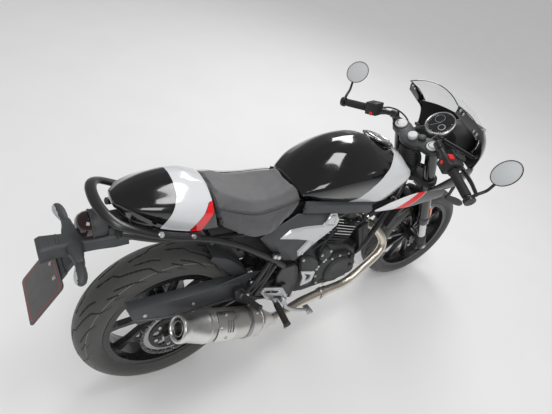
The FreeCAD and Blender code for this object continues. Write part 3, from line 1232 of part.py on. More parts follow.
PAD_WALL = 9
reach = (ground_place - STAND_PIVOT).dot(ground_up) / stand_down.dot(ground_up)
foot = STAND_PIVOT + stand_down * reach
stand_eye = ring("stand_eye", 17, 8.5, 12, STAND_PIVOT - stand_axis * 6, stand_axis)
stand_leg = rod_between("stand_leg", SIZE.stand_tube, STAND_PIVOT + stand_down * 14,
                        foot + ground_up * PAD_WALL)
stand_pad = cylinder("stand_pad", 25, PAD_WALL, foot, ground_up)
stand_tang = rod_between("stand_tang", 5, foot - stand_down * 46, foot - stand_down * 40 + Vector(-34, 18, 0))
stand_solid = fuse("stand_solid", [stand_eye, stand_leg, stand_pad, stand_tang])
keep("side_stand", stand_solid, "stand")


# ------------------------------------------------------------------------------------------------
# Placement, checks and export
# ------------------------------------------------------------------------------------------------

def group_placement(group):
    return leaning.multiply(steered) if group in ("steered", "front") else leaning


doc.recompute()
places = {node: thing.Placement for node, (thing, group) in NODES.items()}
for node, (thing, group) in NODES.items():
    thing.Placement = group_placement(group).multiply(places[node])
doc.recompute()
bounds = FreeCAD.BoundBox()
for thing, group in NODES.values():
    bounds.add(thing.Shape.optimalBoundingBox(False, False))
centring = Placement(Vector(-bounds.Center.x, -bounds.Center.y, -bounds.ZMin), Rotation())
for node, (thing, group) in NODES.items():
    thing.Placement = centring.multiply(group_placement(group)).multiply(places[node])
doc.recompute()

problems = [f"{item.Name}: {item.State}" for item in doc.Objects
            if "Invalid" in item.State or "Error" in item.State]
for node, (thing, group) in NODES.items():
    shape = thing.Shape
    if shape.isNull() or not shape.isValid() or not shape.Solids:
        problems.append(f"{node}: bad shape")
if problems:
    raise RuntimeError("; ".join(problems))

os.makedirs("parts", exist_ok=True)
for node, (thing, group) in NODES.items():
    thing.Shape.exportStep(f"parts/{node}.step")


def metres(vector):
    return [round(value / 1000, 6) for value in vector]


def world(place, group="chassis"):
    return centring.multiply(group_placement(group)).multVec(place)


def world_way(way, group="chassis"):
    return [round(value, 6) for value in group_placement(group).Rotation.multVec(way)]


print("box", [round(value, 2) for value in (bounds.XLength, bounds.YLength, bounds.ZLength)])
print("pitch", round(pitch, 4), "volume", round(sum(t.Shape.Volume for t, g in NODES.values()) / 1e9, 5))
print("rear wheel", metres(world(REAR_AXLE)), world_way(LEFT))
print("front wheel", metres(world(FRONT_AXLE, "steered")), world_way(LEFT, "steered"))
print("steering", metres(world(HEAD_LOW)), world_way(STEER_UP))
print("stand", metres(world(STAND_PIVOT)), world_way(stand_axis),
      round(math.degrees(stand_down.getAngle(stand_folded)), 2))
CAP_HINGE = CAP_CENTRE + Rotation(LEFT, 17).multVec(Vector(HINGE_OUT, 0, 4))
print("cap", metres(world(CAP_HINGE)), world_way(LEFT))
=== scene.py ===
"""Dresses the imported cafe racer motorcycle: finishes on CAD nodes, and modelled pieces round them.

Places are written in the upright machine's own millimetres: X forward from the rear axle, Y to the
rider's left, Z up from the ground.  The Stance turns them into the leaning, parked machine of the
row frame.
"""

from __future__ import annotations

import json
import logging
import math
from abc import ABC, abstractmethod
from dataclasses import dataclass, field
from enum import Enum
from typing import Callable, Sequence

import bpy
import numpy as np
from mathutils import Matrix, Vector
from mathutils.geometry import tessellate_polygon

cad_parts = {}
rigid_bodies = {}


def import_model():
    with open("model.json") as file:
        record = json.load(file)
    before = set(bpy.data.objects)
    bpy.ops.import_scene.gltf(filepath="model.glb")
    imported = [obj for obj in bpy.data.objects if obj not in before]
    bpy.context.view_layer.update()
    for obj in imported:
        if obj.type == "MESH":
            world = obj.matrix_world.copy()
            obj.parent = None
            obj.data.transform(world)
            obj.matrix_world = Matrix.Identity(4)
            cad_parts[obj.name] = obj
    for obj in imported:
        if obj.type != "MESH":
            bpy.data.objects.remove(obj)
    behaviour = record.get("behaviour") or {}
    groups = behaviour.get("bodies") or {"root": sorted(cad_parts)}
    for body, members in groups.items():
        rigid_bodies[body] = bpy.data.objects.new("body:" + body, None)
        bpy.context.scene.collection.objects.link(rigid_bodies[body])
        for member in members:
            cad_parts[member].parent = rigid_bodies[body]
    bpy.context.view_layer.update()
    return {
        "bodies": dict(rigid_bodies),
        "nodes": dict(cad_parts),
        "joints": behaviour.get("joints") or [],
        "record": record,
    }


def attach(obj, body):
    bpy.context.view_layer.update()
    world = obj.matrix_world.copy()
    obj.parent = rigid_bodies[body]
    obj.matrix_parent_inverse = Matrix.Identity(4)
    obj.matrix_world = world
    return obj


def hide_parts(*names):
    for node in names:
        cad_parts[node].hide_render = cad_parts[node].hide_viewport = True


LOG = logging.getLogger("cafe_racer")
MM = 0.001
RAKE = math.radians(24.5)

Point = Sequence[float]
Outline = Sequence[tuple[float, float]]
Corners = list[tuple[float, float]]
Face = tuple[int, ...]
# a turned profile closes this close to its axis
CORE = 0.1
# points from one knot of a section to the next, and steps round the end of a slot
SECTION_STEPS = 4
SLOT_STEPS = 6
ORIGIN, UP, LEFT, RIGHT = (0, 0, 0), (0, 0, 1), (0, 1, 0), (0, -1, 0)
AHEAD, BACK = (1, 0, 0), (-1, 0, 0)


class Body(str, Enum):
    """The bodies that pieces ride on."""

    CHASSIS = "chassis"
    REAR_WHEEL = "rear_wheel"
    FRONT_WHEEL = "front_wheel"
    STEERING = "steering"
    CAP = "filler_cap_body"


def vec(point: Point) -> Vector:
    """Makes a vector of three numbers.

    Args:
        point: The three coordinates.

    Returns:
        A new vector.
    """
    return Vector((float(point[0]), float(point[1]), float(point[2])))


# ---- Where things are ----


@dataclass(frozen=True)
class Stance:
    """The parked attitude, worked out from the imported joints."""

    chassis: Matrix
    steered: Matrix

    REAR_AXLE = Vector((0.0, 0.0, 306.0))
    FRONT_AXLE = Vector((1376.0, 0.0, 293.0))
    STEM_UP = Vector((-math.sin(RAKE), 0.0, math.cos(RAKE)))
    STEM_FORWARD = Vector((math.cos(RAKE), 0.0, math.sin(RAKE)))
    STEM_TURN = Matrix.Rotation(math.atan2(STEM_UP[0], STEM_UP[2]), 3, "Y")

    @classmethod
    def from_joints(cls, joints: Sequence[dict]) -> "Stance":
        """Reads both wheels' axles and the steering axis.

        Args:
            joints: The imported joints, with their places and axes.

        Returns:
            The stance of the chassis and of the steered group.
        """
        found = {joint["name"]: joint for joint in joints}
        stem = vec(found["steering_turn"]["axis"]).normalized()
        rear, front = found["rear_wheel_spin"], found["front_wheel_spin"]
        return cls(
            cls._basis(vec(rear["axis"]), stem, vec(rear["pos_m"]), cls.REAR_AXLE),
            cls._basis(vec(front["axis"]), stem, vec(front["pos_m"]), cls.FRONT_AXLE),
        )

    @staticmethod
    def _basis(axle: Vector, stem: Vector, hub: Vector, hub_at: Vector) -> Matrix:
        """Builds the matrix from the machine's millimetres to row metres.

        Args:
            axle: The wheel's axis, to the rider's left.
            stem: The steering axis, upwards.
            hub: The wheel's centre in the row frame, metres.
            hub_at: The same centre in the machine's millimetres.

        Returns:
            The matrix of that group.
        """
        ahead = axle.cross(stem).normalized()
        forward = ahead * math.cos(RAKE) - stem * math.sin(RAKE)
        up = ahead * math.sin(RAKE) + stem * math.cos(RAKE)
        turn = Matrix((forward, axle, up)).transposed()
        matrix = turn.to_4x4()
        matrix.translation = hub - turn @ (hub_at * MM)
        return matrix @ Matrix.Scale(MM, 4)

    def of(self, body: Body) -> Matrix:
        """Gives the matrix that a body's pieces are placed with.

        Args:
            body: The body.

        Returns:
            The steered matrix for the steering and front wheel, else the chassis matrix.
        """
        return self.steered if body in (Body.STEERING, Body.FRONT_WHEEL) else self.chassis


def fork(up: float, side: float, ahead: float = 0.0) -> Vector:
    """Gives a place on the steered group.

    Args:
        up: Along the fork from the front axle.
        side: To the rider's left.
        ahead: Forward of the fork legs.

    Returns:
        The place in the machine's millimetres.
    """
    place = Stance.FRONT_AXLE + Stance.STEM_UP * up + Stance.STEM_FORWARD * ahead
    return place + Vector((0.0, side, 0.0))


def smooth_path(points: Sequence[Point], per_run: int = 6) -> list[Vector]:
    """Draws a curve through points, evenly divided between them.

    Args:
        points: The places that the curve passes through.
        per_run: Divisions from one place to the next.

    Returns:
        The points of the curve.
    """
    knots = [vec(point) for point in points]
    knots = [knots[0] * 2 - knots[1]] + knots + [knots[-1] * 2 - knots[-2]]
    curve = []
    for index in range(1, len(knots) - 2):
        a, b, c, d = knots[index - 1:index + 3]
        for step in range(per_run):
            t = step / per_run
            curve.append(0.5 * ((2 * b) + (c - a) * t + (2 * a - 5 * b + 4 * c - d) * t * t
                                + (3 * b - a - 3 * c + d) * t ** 3))
    curve.append(knots[-2])
    return curve


def interpolate(table: Sequence[Sequence[float]], steps: int) -> list[list[float]]:
    """Fills a table of sections smoothly, row to row.

    Args:
        table: Rows of numbers, each a section.
        steps: Rows made from one row to the next.

    Returns:
        The denser table.
    """
    rows = np.array(table, float)
    rows = np.vstack([rows[0] * 2 - rows[1], rows, rows[-1] * 2 - rows[-2]])
    dense = []
    for index in range(1, len(rows) - 2):
        a, b, c, d = rows[index - 1:index + 3]
        for step in range(steps):
            t = step / steps
            dense.append(list(0.5 * (2 * b + (c - a) * t + (2 * a - 5 * b + 4 * c - d) * t * t
                                     + (3 * b - a - 3 * c + d) * t ** 3)))
    dense.append(list(rows[-2]))
    return dense


# ---- Mesh making ----


@dataclass
class Shape:
    """Points and faces being gathered into one piece, in the machine's millimetres."""

    points: list[Vector] = field(default_factory=list)
    faces: list[Face] = field(default_factory=list)
    tints: list[int] = field(default_factory=list)

    def add(self, other: "Shape", tint: int | None = None) -> "Shape":
        """Takes in another shape.

        Args:
            other: The shape to add.
            tint: The finish of its faces, where it isn't to keep its own.

        Returns:
            This shape.
        """
        start = len(self.points)
        self.points += other.points
        self.faces += [tuple(corner + start for corner in face) for face in other.faces]
        self.tints += other.tints if tint is None else [tint] * len(other.faces)
        return self

    def moved(self, matrix: Matrix) -> "Shape":
        """Gives a copy that a matrix has moved, turned inside out again where it mirrors.

        Args:
            matrix: The move.

        Returns:
            The copy.
        """
        faces = self.faces
        if matrix.determinant() < 0:
            faces = [tuple(reversed(face)) for face in faces]
        return Shape([matrix @ point for point in self.points], list(faces), list(self.tints))

    def mirrored(self) -> "Shape":
        """Gives the same shape on the other side of the machine."""
        return self.moved(Matrix.Diagonal((1.0, -1.0, 1.0, 1.0)))

    def both_sides(self) -> "Shape":
        """Gives the shape together with its mirror image."""
        return Shape(list(self.points), list(self.faces), list(self.tints)).add(self.mirrored())


def skin(rings: Sequence[Sequence[Vector]], caps: bool = True, tint: int = 0) -> Shape:
    """Stretches a skin over rings of equally many points.

    Args:
        rings: The rings, one after the other.
        caps: Whether the first and last rings are filled.
        tint: The finish of the faces.

    Returns:
        The skin.
    """
    count = len(rings[0])
    shape = Shape([point for ring in rings for point in ring])
    for row in range(len(rings) - 1):
        for column in range(count):
            after = (column + 1) % count
            a, b = row * count + column, row * count + after
            shape.faces.append((a, b, b + count, a + count))
    if caps:
        shape.faces.append(tuple(reversed(range(count))))
        shape.faces.append(tuple(range((len(rings) - 1) * count, len(rings) * count)))
    shape.tints = [tint] * len(shape.faces)
    return shape


def across(direction: Vector) -> tuple[Vector, Vector]:
    """Gives two directions square to one another and to the given one.

    Args:
        direction: The direction.

    Returns:
        The two others, so that first x second runs along it.
    """
    way = direction.normalized()
    helper = Vector((0.0, 0.0, 1.0)) if abs(way.z) < 0.9 else Vector((1.0, 0.0, 0.0))
    first = helper.cross(way).normalized()
    return first, way.cross(first)


def tube(path: Sequence[Point], radius: float | Sequence[float], sides: int = 14, tint: int = 0,
         flat: float = 1.0) -> Shape:
    """Makes a round or oval tube along a path.

    Args:
        path: The centre line.
        radius: One radius, or one for each point.
        sides: Faces around.
        tint: The finish.
        flat: Height of the section over its width.

    Returns:
        The closed tube.
    """
    line = [vec(point) for point in path]
    radii = [float(radius)] * len(line) if isinstance(radius, (int, float)) else list(radius)
    way = (line[1] - line[0]).normalized()
    first, second = across(way)
    rings = []
    for index, place in enumerate(line):
        before, after = line[max(index - 1, 0)], line[min(index + 1, len(line) - 1)]
        here = (after - before).normalized()
        first = (first - here * first.dot(here)).normalized()
        second = here.cross(first)
        rings.append([place + first * (math.cos(turn) * radii[index])
                      + second * (math.sin(turn) * radii[index] * flat)
                      for turn in (2 * math.pi * side / sides for side in range(sides))])
    return skin(rings, tint=tint)


def turned(profile: Outline, start: Point, direction: Point, sides: int = 40,
           tint: int = 0) -> Shape:
    """Turns a profile about an axis.

    Args:
        profile: (radius, distance along the axis) in order.
        start: Where the axis starts.
        direction: The axis.
        sides: Faces around.
        tint: The finish.

    Returns:
        The closed solid of revolution.
    """
    origin, way = vec(start), vec(direction).normalized()
    first, second = across(way)
    rings = []
    for radius, along in profile:
        rings.append([origin + way * along
                      + (first * math.cos(turn) + second * math.sin(turn)) * radius
                      for turn in (2 * math.pi * side / sides for side in range(sides))])
    return skin(rings, tint=tint)


def collar(inner: float, outer: float, low: float, high: float) -> Corners:
    """Gives the square section of a ring, to be turned.

    Args:
        inner: Its inner radius.
        outer: Its outer radius.
        low: Where it starts along the axis.
        high: Where it ends.

    Returns:
        The profile.
    """
    return [(inner, low), (outer, low), (outer, high), (inner, high)]


def rod(radius: float, low: float, high: float) -> Corners:
    """Gives the section of a plain round rod, to be turned.

    Args:
        radius: Its radius.
        low: Where it starts along the axis.
        high: Where it ends.

    Returns:
        The profile.
    """
    return collar(CORE, radius, low, high)


def hoop(profile: Outline, centre: Point, axis: Point, sides: int = 64,
         tint: int = 0) -> Shape:
    """Turns a closed profile about an axis, so that it makes a ring.

    Args:
        profile: (radius, distance along the axis) round the section.
        centre: The ring's centre.
        axis: Its axis.
        sides: Sections around.
        tint: The finish.

    Returns:
        The closed ring.
    """
    origin, way = vec(centre), vec(axis).normalized()
    first, second = across(way)
    shape = Shape()
    count = len(profile)
    for side in range(sides):
        turn = 2 * math.pi * side / sides
        spoke = first * math.cos(turn) + second * math.sin(turn)
        shape.points += [origin + spoke * radius + way * along for radius, along in profile]
    for side in range(sides):
        for index in range(count):
            a, b = side * count + index, side * count + (index + 1) % count
            c = (side + 1) % sides * count
            shape.faces.append((a, b, c + (index + 1) % count, c + index))
    shape.tints = [tint] * len(shape.faces)
    return shape


def slab(outline: Sequence[Point], thickness: Point) -> Shape:
    """Thickens a flat outline.

    Args:
        outline: The corners, in order.
        thickness: The way and distance from one face to the other.

    Returns:
        The closed slab.
    """
    base = [vec(point) for point in outline]
    offset = vec(thickness)
    normal = Vector((0.0, 0.0, 0.0))
    for here, after in zip(base, base[1:] + base[:1]):
        normal += here.cross(after)
    if normal.dot(offset) > 0:
        base.reverse()
    top = [point + offset for point in base]
    return skin([list(reversed(base)), list(reversed(top))])


def block(centre: Point, size: Point, turn: Matrix | None = None, tint: int = 0) -> Shape:
    """Makes a rectangular block.

    Args:
        centre: Its middle.
        size: Its three sides.
        turn: How it is turned, a 3x3 matrix.
        tint: The finish.

    Returns:
        The block.
    """
    half = [float(value) / 2 for value in size]
    corners = ((-1, -1), (1, -1), (1, 1), (-1, 1))
    rings = []
    for level in (-1, 1):
        ring = [Vector((half[0] * x, half[1] * y, half[2] * level)) for x, y in corners]
        rings.append([vec(centre) + (turn @ point if turn else point) for point in ring])
    return skin(rings, tint=tint)


def side_plate(outline: Outline, y_in: float, y_out: float) -> Shape:
    """Makes a flat plate seen from the side.

    Args:
        outline: Its (x, z) corners.
        y_in: The inner face's place across the machine.
        y_out: The outer face's place.

    Returns:
        The plate.
    """
    return slab([(x, y_in, z) for x, z in outline], (0.0, y_out - y_in, 0.0))




def inset(outline: Outline, distance: float) -> Corners:
    """Moves a flat outline's edges inwards.

    Args:
        outline: The corners, in order.
        distance: How far the edges move.

    Returns:
        The smaller outline.
    """
    corners = [np.array(corner, float) for corner in outline]
    area = sum(a[0] * b[1] - a[1] * b[0] for a, b in zip(corners, corners[1:] + corners[:1]))
    side = 1.0 if area > 0 else -1.0
    moved = []
    for index, corner in enumerate(corners):
        before = corner - corners[index - 1]
        after = corners[(index + 1) % len(corners)] - corner
        first = np.array((-before[1], before[0])) / np.linalg.norm(before) * side
        second = np.array((-after[1], after[0])) / np.linalg.norm(after) * side
        bisector = first + second
        length = max(np.dot(bisector, first), 0.5)
        moved.append(tuple(corner + bisector * distance / length))
    return moved


def pillow(outline: Outline, y_in: float, y_out: float, slope: float) -> Shape:
    """Makes a panel seen from the side, whose edges slope in to a flat face.

    Args:
        outline: Its (x, z) corners.
        y_in: The back's place across the machine.
        y_out: The face's place.
        slope: How far the face's edges lie inside the outline.

    Returns:
        The panel.
    """
    middle = y_in + (y_out - y_in) * 0.35
    face = inset(outline, slope)
    rings = [[Vector((x, y, z)) for x, z in ring]
             for ring, y in ((outline, y_in), (outline, middle), (face, y_out))]
    area = sum(a[0] * b[1] - a[1] * b[0] for a, b in zip(outline, list(outline[1:]) + [outline[0]]))
    if (area > 0) == (y_out > y_in):
        rings = [list(reversed(ring)) for ring in rings]
    return skin(rings)


def half_ring(knots: Outline, x: float) -> list[Vector]:
    """Draws a section that is the same on both sides, through knots from its underside to its top.

    Args:
        knots: (sideways, up), the first and last on the middle line.
        x: The section's place along the machine.

    Returns:
        The ring of points.
    """
    curve = smooth_path([(0.0, sideways, up) for sideways, up in knots], SECTION_STEPS)
    left = [Vector((x, point.y, point.z)) for point in curve]
    return left + [Vector((point.x, -point.y, point.z)) for point in reversed(left[1:-1])]


def rounded_end(rings: list[list[Vector]], way: Vector, length: float) -> list[list[Vector]]:
    """Closes a row of rings with a round end.

    Args:
        rings: The rings, the end last.
        way: The way that the end faces.
        length: How far it stands out.

    Returns:
        The rings with the end's smaller ones added.
    """
    last = rings[-1]
    middle = sum(last, Vector()) / len(last)
    ends = []
    for turn in (25, 50, 75, 86):
        share, out = math.cos(math.radians(turn)), math.sin(math.radians(turn)) * length
        ends.append([middle + (point - middle) * share + way * out for point in last])
    return rings + ends


def holed(outline: Outline, holes: Sequence[Outline], y_in: float,
          y_out: float, tint: int = 0) -> Shape:
    """Makes a flat upright plate with holes in it.

    Args:
        outline: (x, z) corners seen from the side.
        holes: The same for each hole.
        y_in: The face nearer the middle of the machine.
        y_out: The outer face.
        tint: The finish.

    Returns:
        The plate.
    """
    loops = [list(outline)] + [list(hole) for hole in holes]
    shape = Shape()
    triangles = tessellate_polygon([[Vector((x, z, 0)) for x, z in loop] for loop in loops])
    flat = [corner for loop in loops for corner in loop]
    for y in (y_in, y_out):
        shape.points += [Vector((x, y, z)) for x, z in flat]
    count = len(flat)
    shape.faces += [tuple(reversed(face)) for face in triangles]
    shape.faces += [tuple(corner + count for corner in face) for face in triangles]
    start = 0
    for loop in loops:
        for index in range(len(loop)):
            here, after = start + index, start + (index + 1) % len(loop)
            shape.faces.append((here, after, after + count, here + count))
        start += len(loop)
    shape.tints = [tint] * len(shape.faces)
    return shape


def sheet(place: Callable[[float, float, float], Vector], across_cells: int, along_cells: int,
          thick: float, is_open: Callable[[float, float], bool] | None = None) -> Shape:
    """Makes a bent plate from small cells, some of which may be left open.

    Args:
        place: Gives the point for a share across, a share along and a height off the plate.
        across_cells: Cells across.
        along_cells: Cells along.
        thick: The plate's thickness.
        is_open: Says whether the cell at a share across and along is a hole.

    Returns:
        The closed plate.
    """
    shape = Shape()
    rows, columns = along_cells + 1, across_cells + 1
    for height in (0.0, thick):
        for row in range(rows):
            shape.points += [place(column / across_cells, row / along_cells, height)
                             for column in range(columns)]
    kept = set()
    for row in range(along_cells):
        for column in range(across_cells):
            middle = ((column + 0.5) / across_cells, (row + 0.5) / along_cells)
            if is_open is None or not is_open(*middle):
                kept.add((row, column))
    layer = rows * columns
    for row, column in kept:
        a, b = row * columns + column, row * columns + column + 1
        c, d = a + columns, b + columns
        shape.faces += [(a, c, d, b), (a + layer, b + layer, d + layer, c + layer)]
        for beside, (first, second) in (((row - 1, column), (a, b)), ((row + 1, column), (d, c)),
                                        ((row, column - 1), (c, a)), ((row, column + 1), (b, d))):
            if beside not in kept:
                shape.faces.append((first, second, second + layer, first + layer))
    shape.tints = [0] * len(shape.faces)
    return shape


def circle(centre: tuple[float, float], radius: float, sides: int = 20) -> Corners:
    """Gives the corners of a round outline.

    Args:
        centre: Its middle.
        radius: Its radius.
        sides: How many corners.

    Returns:
        The corners.
    """
    turns = [2 * math.pi * side / sides for side in range(sides)]
    return [(centre[0] + radius * math.cos(turn), centre[1] + radius * math.sin(turn))
            for turn in turns]


def slot(start: tuple[float, float], end: tuple[float, float], half: float) -> Corners:
    """Gives the corners of a round-ended slot.

    Args:
        start: One end's centre.
        end: The other end's centre.
        half: Half its width.

    Returns:
        The corners.
    """
    lean = math.atan2(end[1] - start[1], end[0] - start[0])
    corners = []
    for centre, first in ((start, lean + math.pi / 2), (end, lean - math.pi / 2)):
        for step in range(SLOT_STEPS + 1):
            turn = first + math.pi * step / SLOT_STEPS
            corners.append((centre[0] + half * math.cos(turn), centre[1] + half * math.sin(turn)))
    return corners


def softened(outline: Outline, radius: float, steps: int = 5) -> Corners:
    """Rounds the corners of an outline.

    Args:
        outline: The corners.
        radius: How far from each corner the round starts, at most.
        steps: Points on each round.

    Returns:
        The rounded outline.
    """
    points = [Vector(corner) for corner in outline]
    rounded = []
    for index, corner in enumerate(points):
        before, after = points[index - 1], points[(index + 1) % len(points)]
        start = corner + (before - corner).normalized() * min(
            radius, (before - corner).length * 0.45)
        end = corner + (after - corner).normalized() * min(radius, (after - corner).length * 0.45)
        for step in range(steps + 1):
            share = step / steps
            place = start.lerp(corner, share).lerp(corner.lerp(end, share), share)
            rounded.append((place.x, place.y))
    return rounded




# ---- Finishes ----


class Grain(str, Enum):
    """The kinds of fine relief that a finish has."""

    CAST = "cast"
    PEEL = "peel"
    HIDE = "hide"
    PLASTIC = "plastic"
    BRUSHED = "brushed"
    RUBBER = "rubber"


def add_object(name: str, data: bpy.types.ID) -> bpy.types.Object:
    """Adds an object to the scene.

    Args:
        name: Its name.
        data: Its mesh, lamp or camera.

    Returns:
        The object.
    """
    thing = bpy.data.objects.new(name, data)
    bpy.context.scene.collection.objects.link(thing)
    return thing


def set_inputs(tree: bpy.types.NodeTree, node: bpy.types.Node,
               inputs: dict[str | int, object]) -> None:
    """Sets or connects a node's inputs.

    Args:
        tree: The nodes.
        node: The node.
        inputs: A value, or a socket that gives one, for each input's name or number.
    """
    for name, value in inputs.items():
        if isinstance(value, bpy.types.NodeSocket):
            tree.links.new(value, node.inputs[name])
        else:
            node.inputs[name].default_value = value


def add_node(tree: bpy.types.NodeTree, kind: str,
             inputs: dict[str | int, object]) -> bpy.types.Node:
    """Adds a node.

    Args:
        tree: The nodes that it joins.
        kind: Its type.
        inputs: A value, or a socket that gives one, for each input's name or number.

    Returns:
        The node.
    """
    node = tree.nodes.new(kind)
    set_inputs(tree, node, inputs)
    return node


@dataclass(frozen=True)
class Finish:
    """One procedural finish: colour with faint mottling, uneven gloss and a fine relief.

    Colours are linear.  Scales are features to the metre, and the relief is in millimetres.
    """

    name: str
    colour: tuple[float, float, float]
    second: tuple[float, float, float] | None = None
    metallic: float = 0.0
    rough: tuple[float, float] = (0.3, 0.4)
    coat: float = 0.0
    grain: Grain = Grain.PLASTIC
    grain_scale: float = 600.0
    relief: float = 0.1
    mottle_scale: float = 14.0
    alpha: float = 1.0
    ior: float = 1.5
    sheen: float = 0.0

    def material(self) -> bpy.types.Material:
        """Builds the material.

        Returns:
            The material, made once for each name.
        """
        title = f"{self.name}_finish"
        known = bpy.data.materials.get(title)
        if known:
            return known
        material = bpy.data.materials.new(title)
        material.use_nodes = True
        tree = material.node_tree
        place = tree.nodes.new("ShaderNodeTexCoord").outputs["Object"]
        wear = self.noise(tree, place, self.mottle_scale * 2.3, 5.0)
        gloss = add_node(tree, "ShaderNodeMapRange", {
            "Value": wear, "From Min": 0.3, "From Max": 0.7,
            "To Min": self.rough[0], "To Max": self.rough[1]}).outputs["Result"]
        relief = add_node(tree, "ShaderNodeBump", {
            "Distance": self.relief * MM, "Strength": 1.0,
            "Height": self.height(tree, place)}).outputs["Normal"]
        inputs = {"Metallic": self.metallic, "IOR": self.ior, "Coat Weight": self.coat,
                  "Coat Roughness": 0.04, "Sheen Weight": self.sheen, "Sheen Roughness": 0.5,
                  "Alpha": self.alpha, "Base Color": self.colours(tree, place),
                  "Roughness": gloss, "Normal": relief}
        if self.coat:
            inputs["Coat Normal"] = relief
        set_inputs(tree, tree.nodes["Principled BSDF"], inputs)
        return material

    def noise(self, tree: bpy.types.NodeTree, place: bpy.types.NodeSocket, scale: float,
              detail: float) -> bpy.types.NodeSocket:
        """Adds a noise.

        Args:
            tree: The material's nodes.
            place: Its coordinates.
            scale: Features to the metre.
            detail: Octaves.

        Returns:
            Its value.
        """
        return add_node(tree, "ShaderNodeTexNoise", {
            "Scale": scale, "Detail": detail, "Vector": place}).outputs["Fac"]

    def blend(self, tree: bpy.types.NodeTree, share: bpy.types.NodeSocket, first: object,
              second: object) -> bpy.types.NodeSocket:
        """Mixes two colours.

        Args:
            tree: The material's nodes.
            share: How much of the second colour shows.
            first: A colour, or a socket that gives one.
            second: A colour, or a socket that gives one.

        Returns:
            The mixed colour.
        """
        mix = tree.nodes.new("ShaderNodeMix")
        mix.data_type = "RGBA"
        set_inputs(tree, mix, {"Factor": share})
        for name, value in (("A", first), ("B", second)):
            socket = [item for item in mix.inputs if item.name == name and item.type == "RGBA"][0]
            if isinstance(value, tuple):
                socket.default_value = (*value, 1.0)
            else:
                tree.links.new(value, socket)
        return [item for item in mix.outputs if item.type == "RGBA"][0]

    def colours(self, tree: bpy.types.NodeTree,
                place: bpy.types.NodeSocket) -> bpy.types.NodeSocket:
        """Builds the colour, slowly mottled with the second one.

        Args:
            tree: The material's nodes.
            place: The coordinates.

        Returns:
            The colour.
        """
        second = self.second or tuple(value * 0.82 for value in self.colour)
        return self.blend(tree, self.noise(tree, place, self.mottle_scale, 4.0), self.colour,
                          second)

    def height(self, tree: bpy.types.NodeTree, place: bpy.types.NodeSocket) -> bpy.types.NodeSocket:
        """Builds the fine relief.

        Args:
            tree: The material's nodes.
            place: The coordinates.

        Returns:
            The height.
        """
        if self.grain in (Grain.HIDE, Grain.RUBBER):
            cells = add_node(tree, "ShaderNodeTexVoronoi",
                             {"Scale": self.grain_scale, "Vector": place})
            cells.feature = "DISTANCE_TO_EDGE" if self.grain is Grain.HIDE else "F1"
            return cells.outputs["Distance"]
        if self.grain is Grain.BRUSHED:
            mapping = add_node(tree, "ShaderNodeMapping",
                               {"Scale": (1.0, 1.0, 14.0), "Vector": place})
            return self.noise(tree, mapping.outputs["Vector"], self.grain_scale, 3.0)
        octaves = 1.0 if self.grain is Grain.PEEL else 6.0
        return self.noise(tree, place, self.grain_scale, octaves)


@dataclass(frozen=True)
class Painted(Finish):
    """A paint that changes colour where a piece's own attributes say so.

    The "band" and "accent" attributes are distances in metres, above zero inside the second and
    third colours.  A fine dark joint runs along the edge of the band.
    """

    band: tuple[float, float, float] = (0.62, 0.63, 0.64)
    accent: tuple[float, float, float] = (0.55, 0.01, 0.015)
    joint: float = 0.0009

    def mask(self, tree: bpy.types.NodeTree,
             name: str) -> tuple[bpy.types.NodeSocket, bpy.types.NodeSocket]:
        """Turns a distance attribute into a crisp mask.

        Args:
            tree: The material's nodes.
            name: The attribute.

        Returns:
            The mask, and the distance itself.
        """
        source = add_node(tree, "ShaderNodeAttribute", {})
        source.attribute_name = name
        distance = source.outputs["Fac"]
        edge = add_node(tree, "ShaderNodeMapRange", {
            "From Min": -CRISP, "From Max": CRISP, "Value": distance})
        return edge.outputs["Result"], distance

    def colours(self, tree: bpy.types.NodeTree,
                place: bpy.types.NodeSocket) -> bpy.types.NodeSocket:
        """Builds the colour from the two distances.

        Args:
            tree: The material's nodes.
            place: The coordinates.

        Returns:
            The colour.
        """
        inside, distance = self.mask(tree, "band")
        banded = self.blend(tree, inside, super().colours(tree, place), self.band)
        apart = add_node(tree, "ShaderNodeMath", {0: distance})
        apart.operation = "ABSOLUTE"
        near = add_node(tree, "ShaderNodeMapRange", {
            "From Min": self.joint, "From Max": self.joint * 0.5, "Value": apart.outputs["Value"]})
        jointed = self.blend(tree, near.outputs["Result"], banded, (0.01, 0.01, 0.011))
        return self.blend(tree, self.mask(tree, "accent")[0], jointed, self.accent)


# half the width, in metres, over which a painted edge changes colour
CRISP = 0.0004
BLACK = (0.0045, 0.0045, 0.0052)
SILVER = (0.56, 0.57, 0.585)
RED = (0.66, 0.004, 0.009)
# the relief of sprayed paint
SPRAYED = {"grain": Grain.PEEL, "grain_scale": 260, "relief": 0.012}


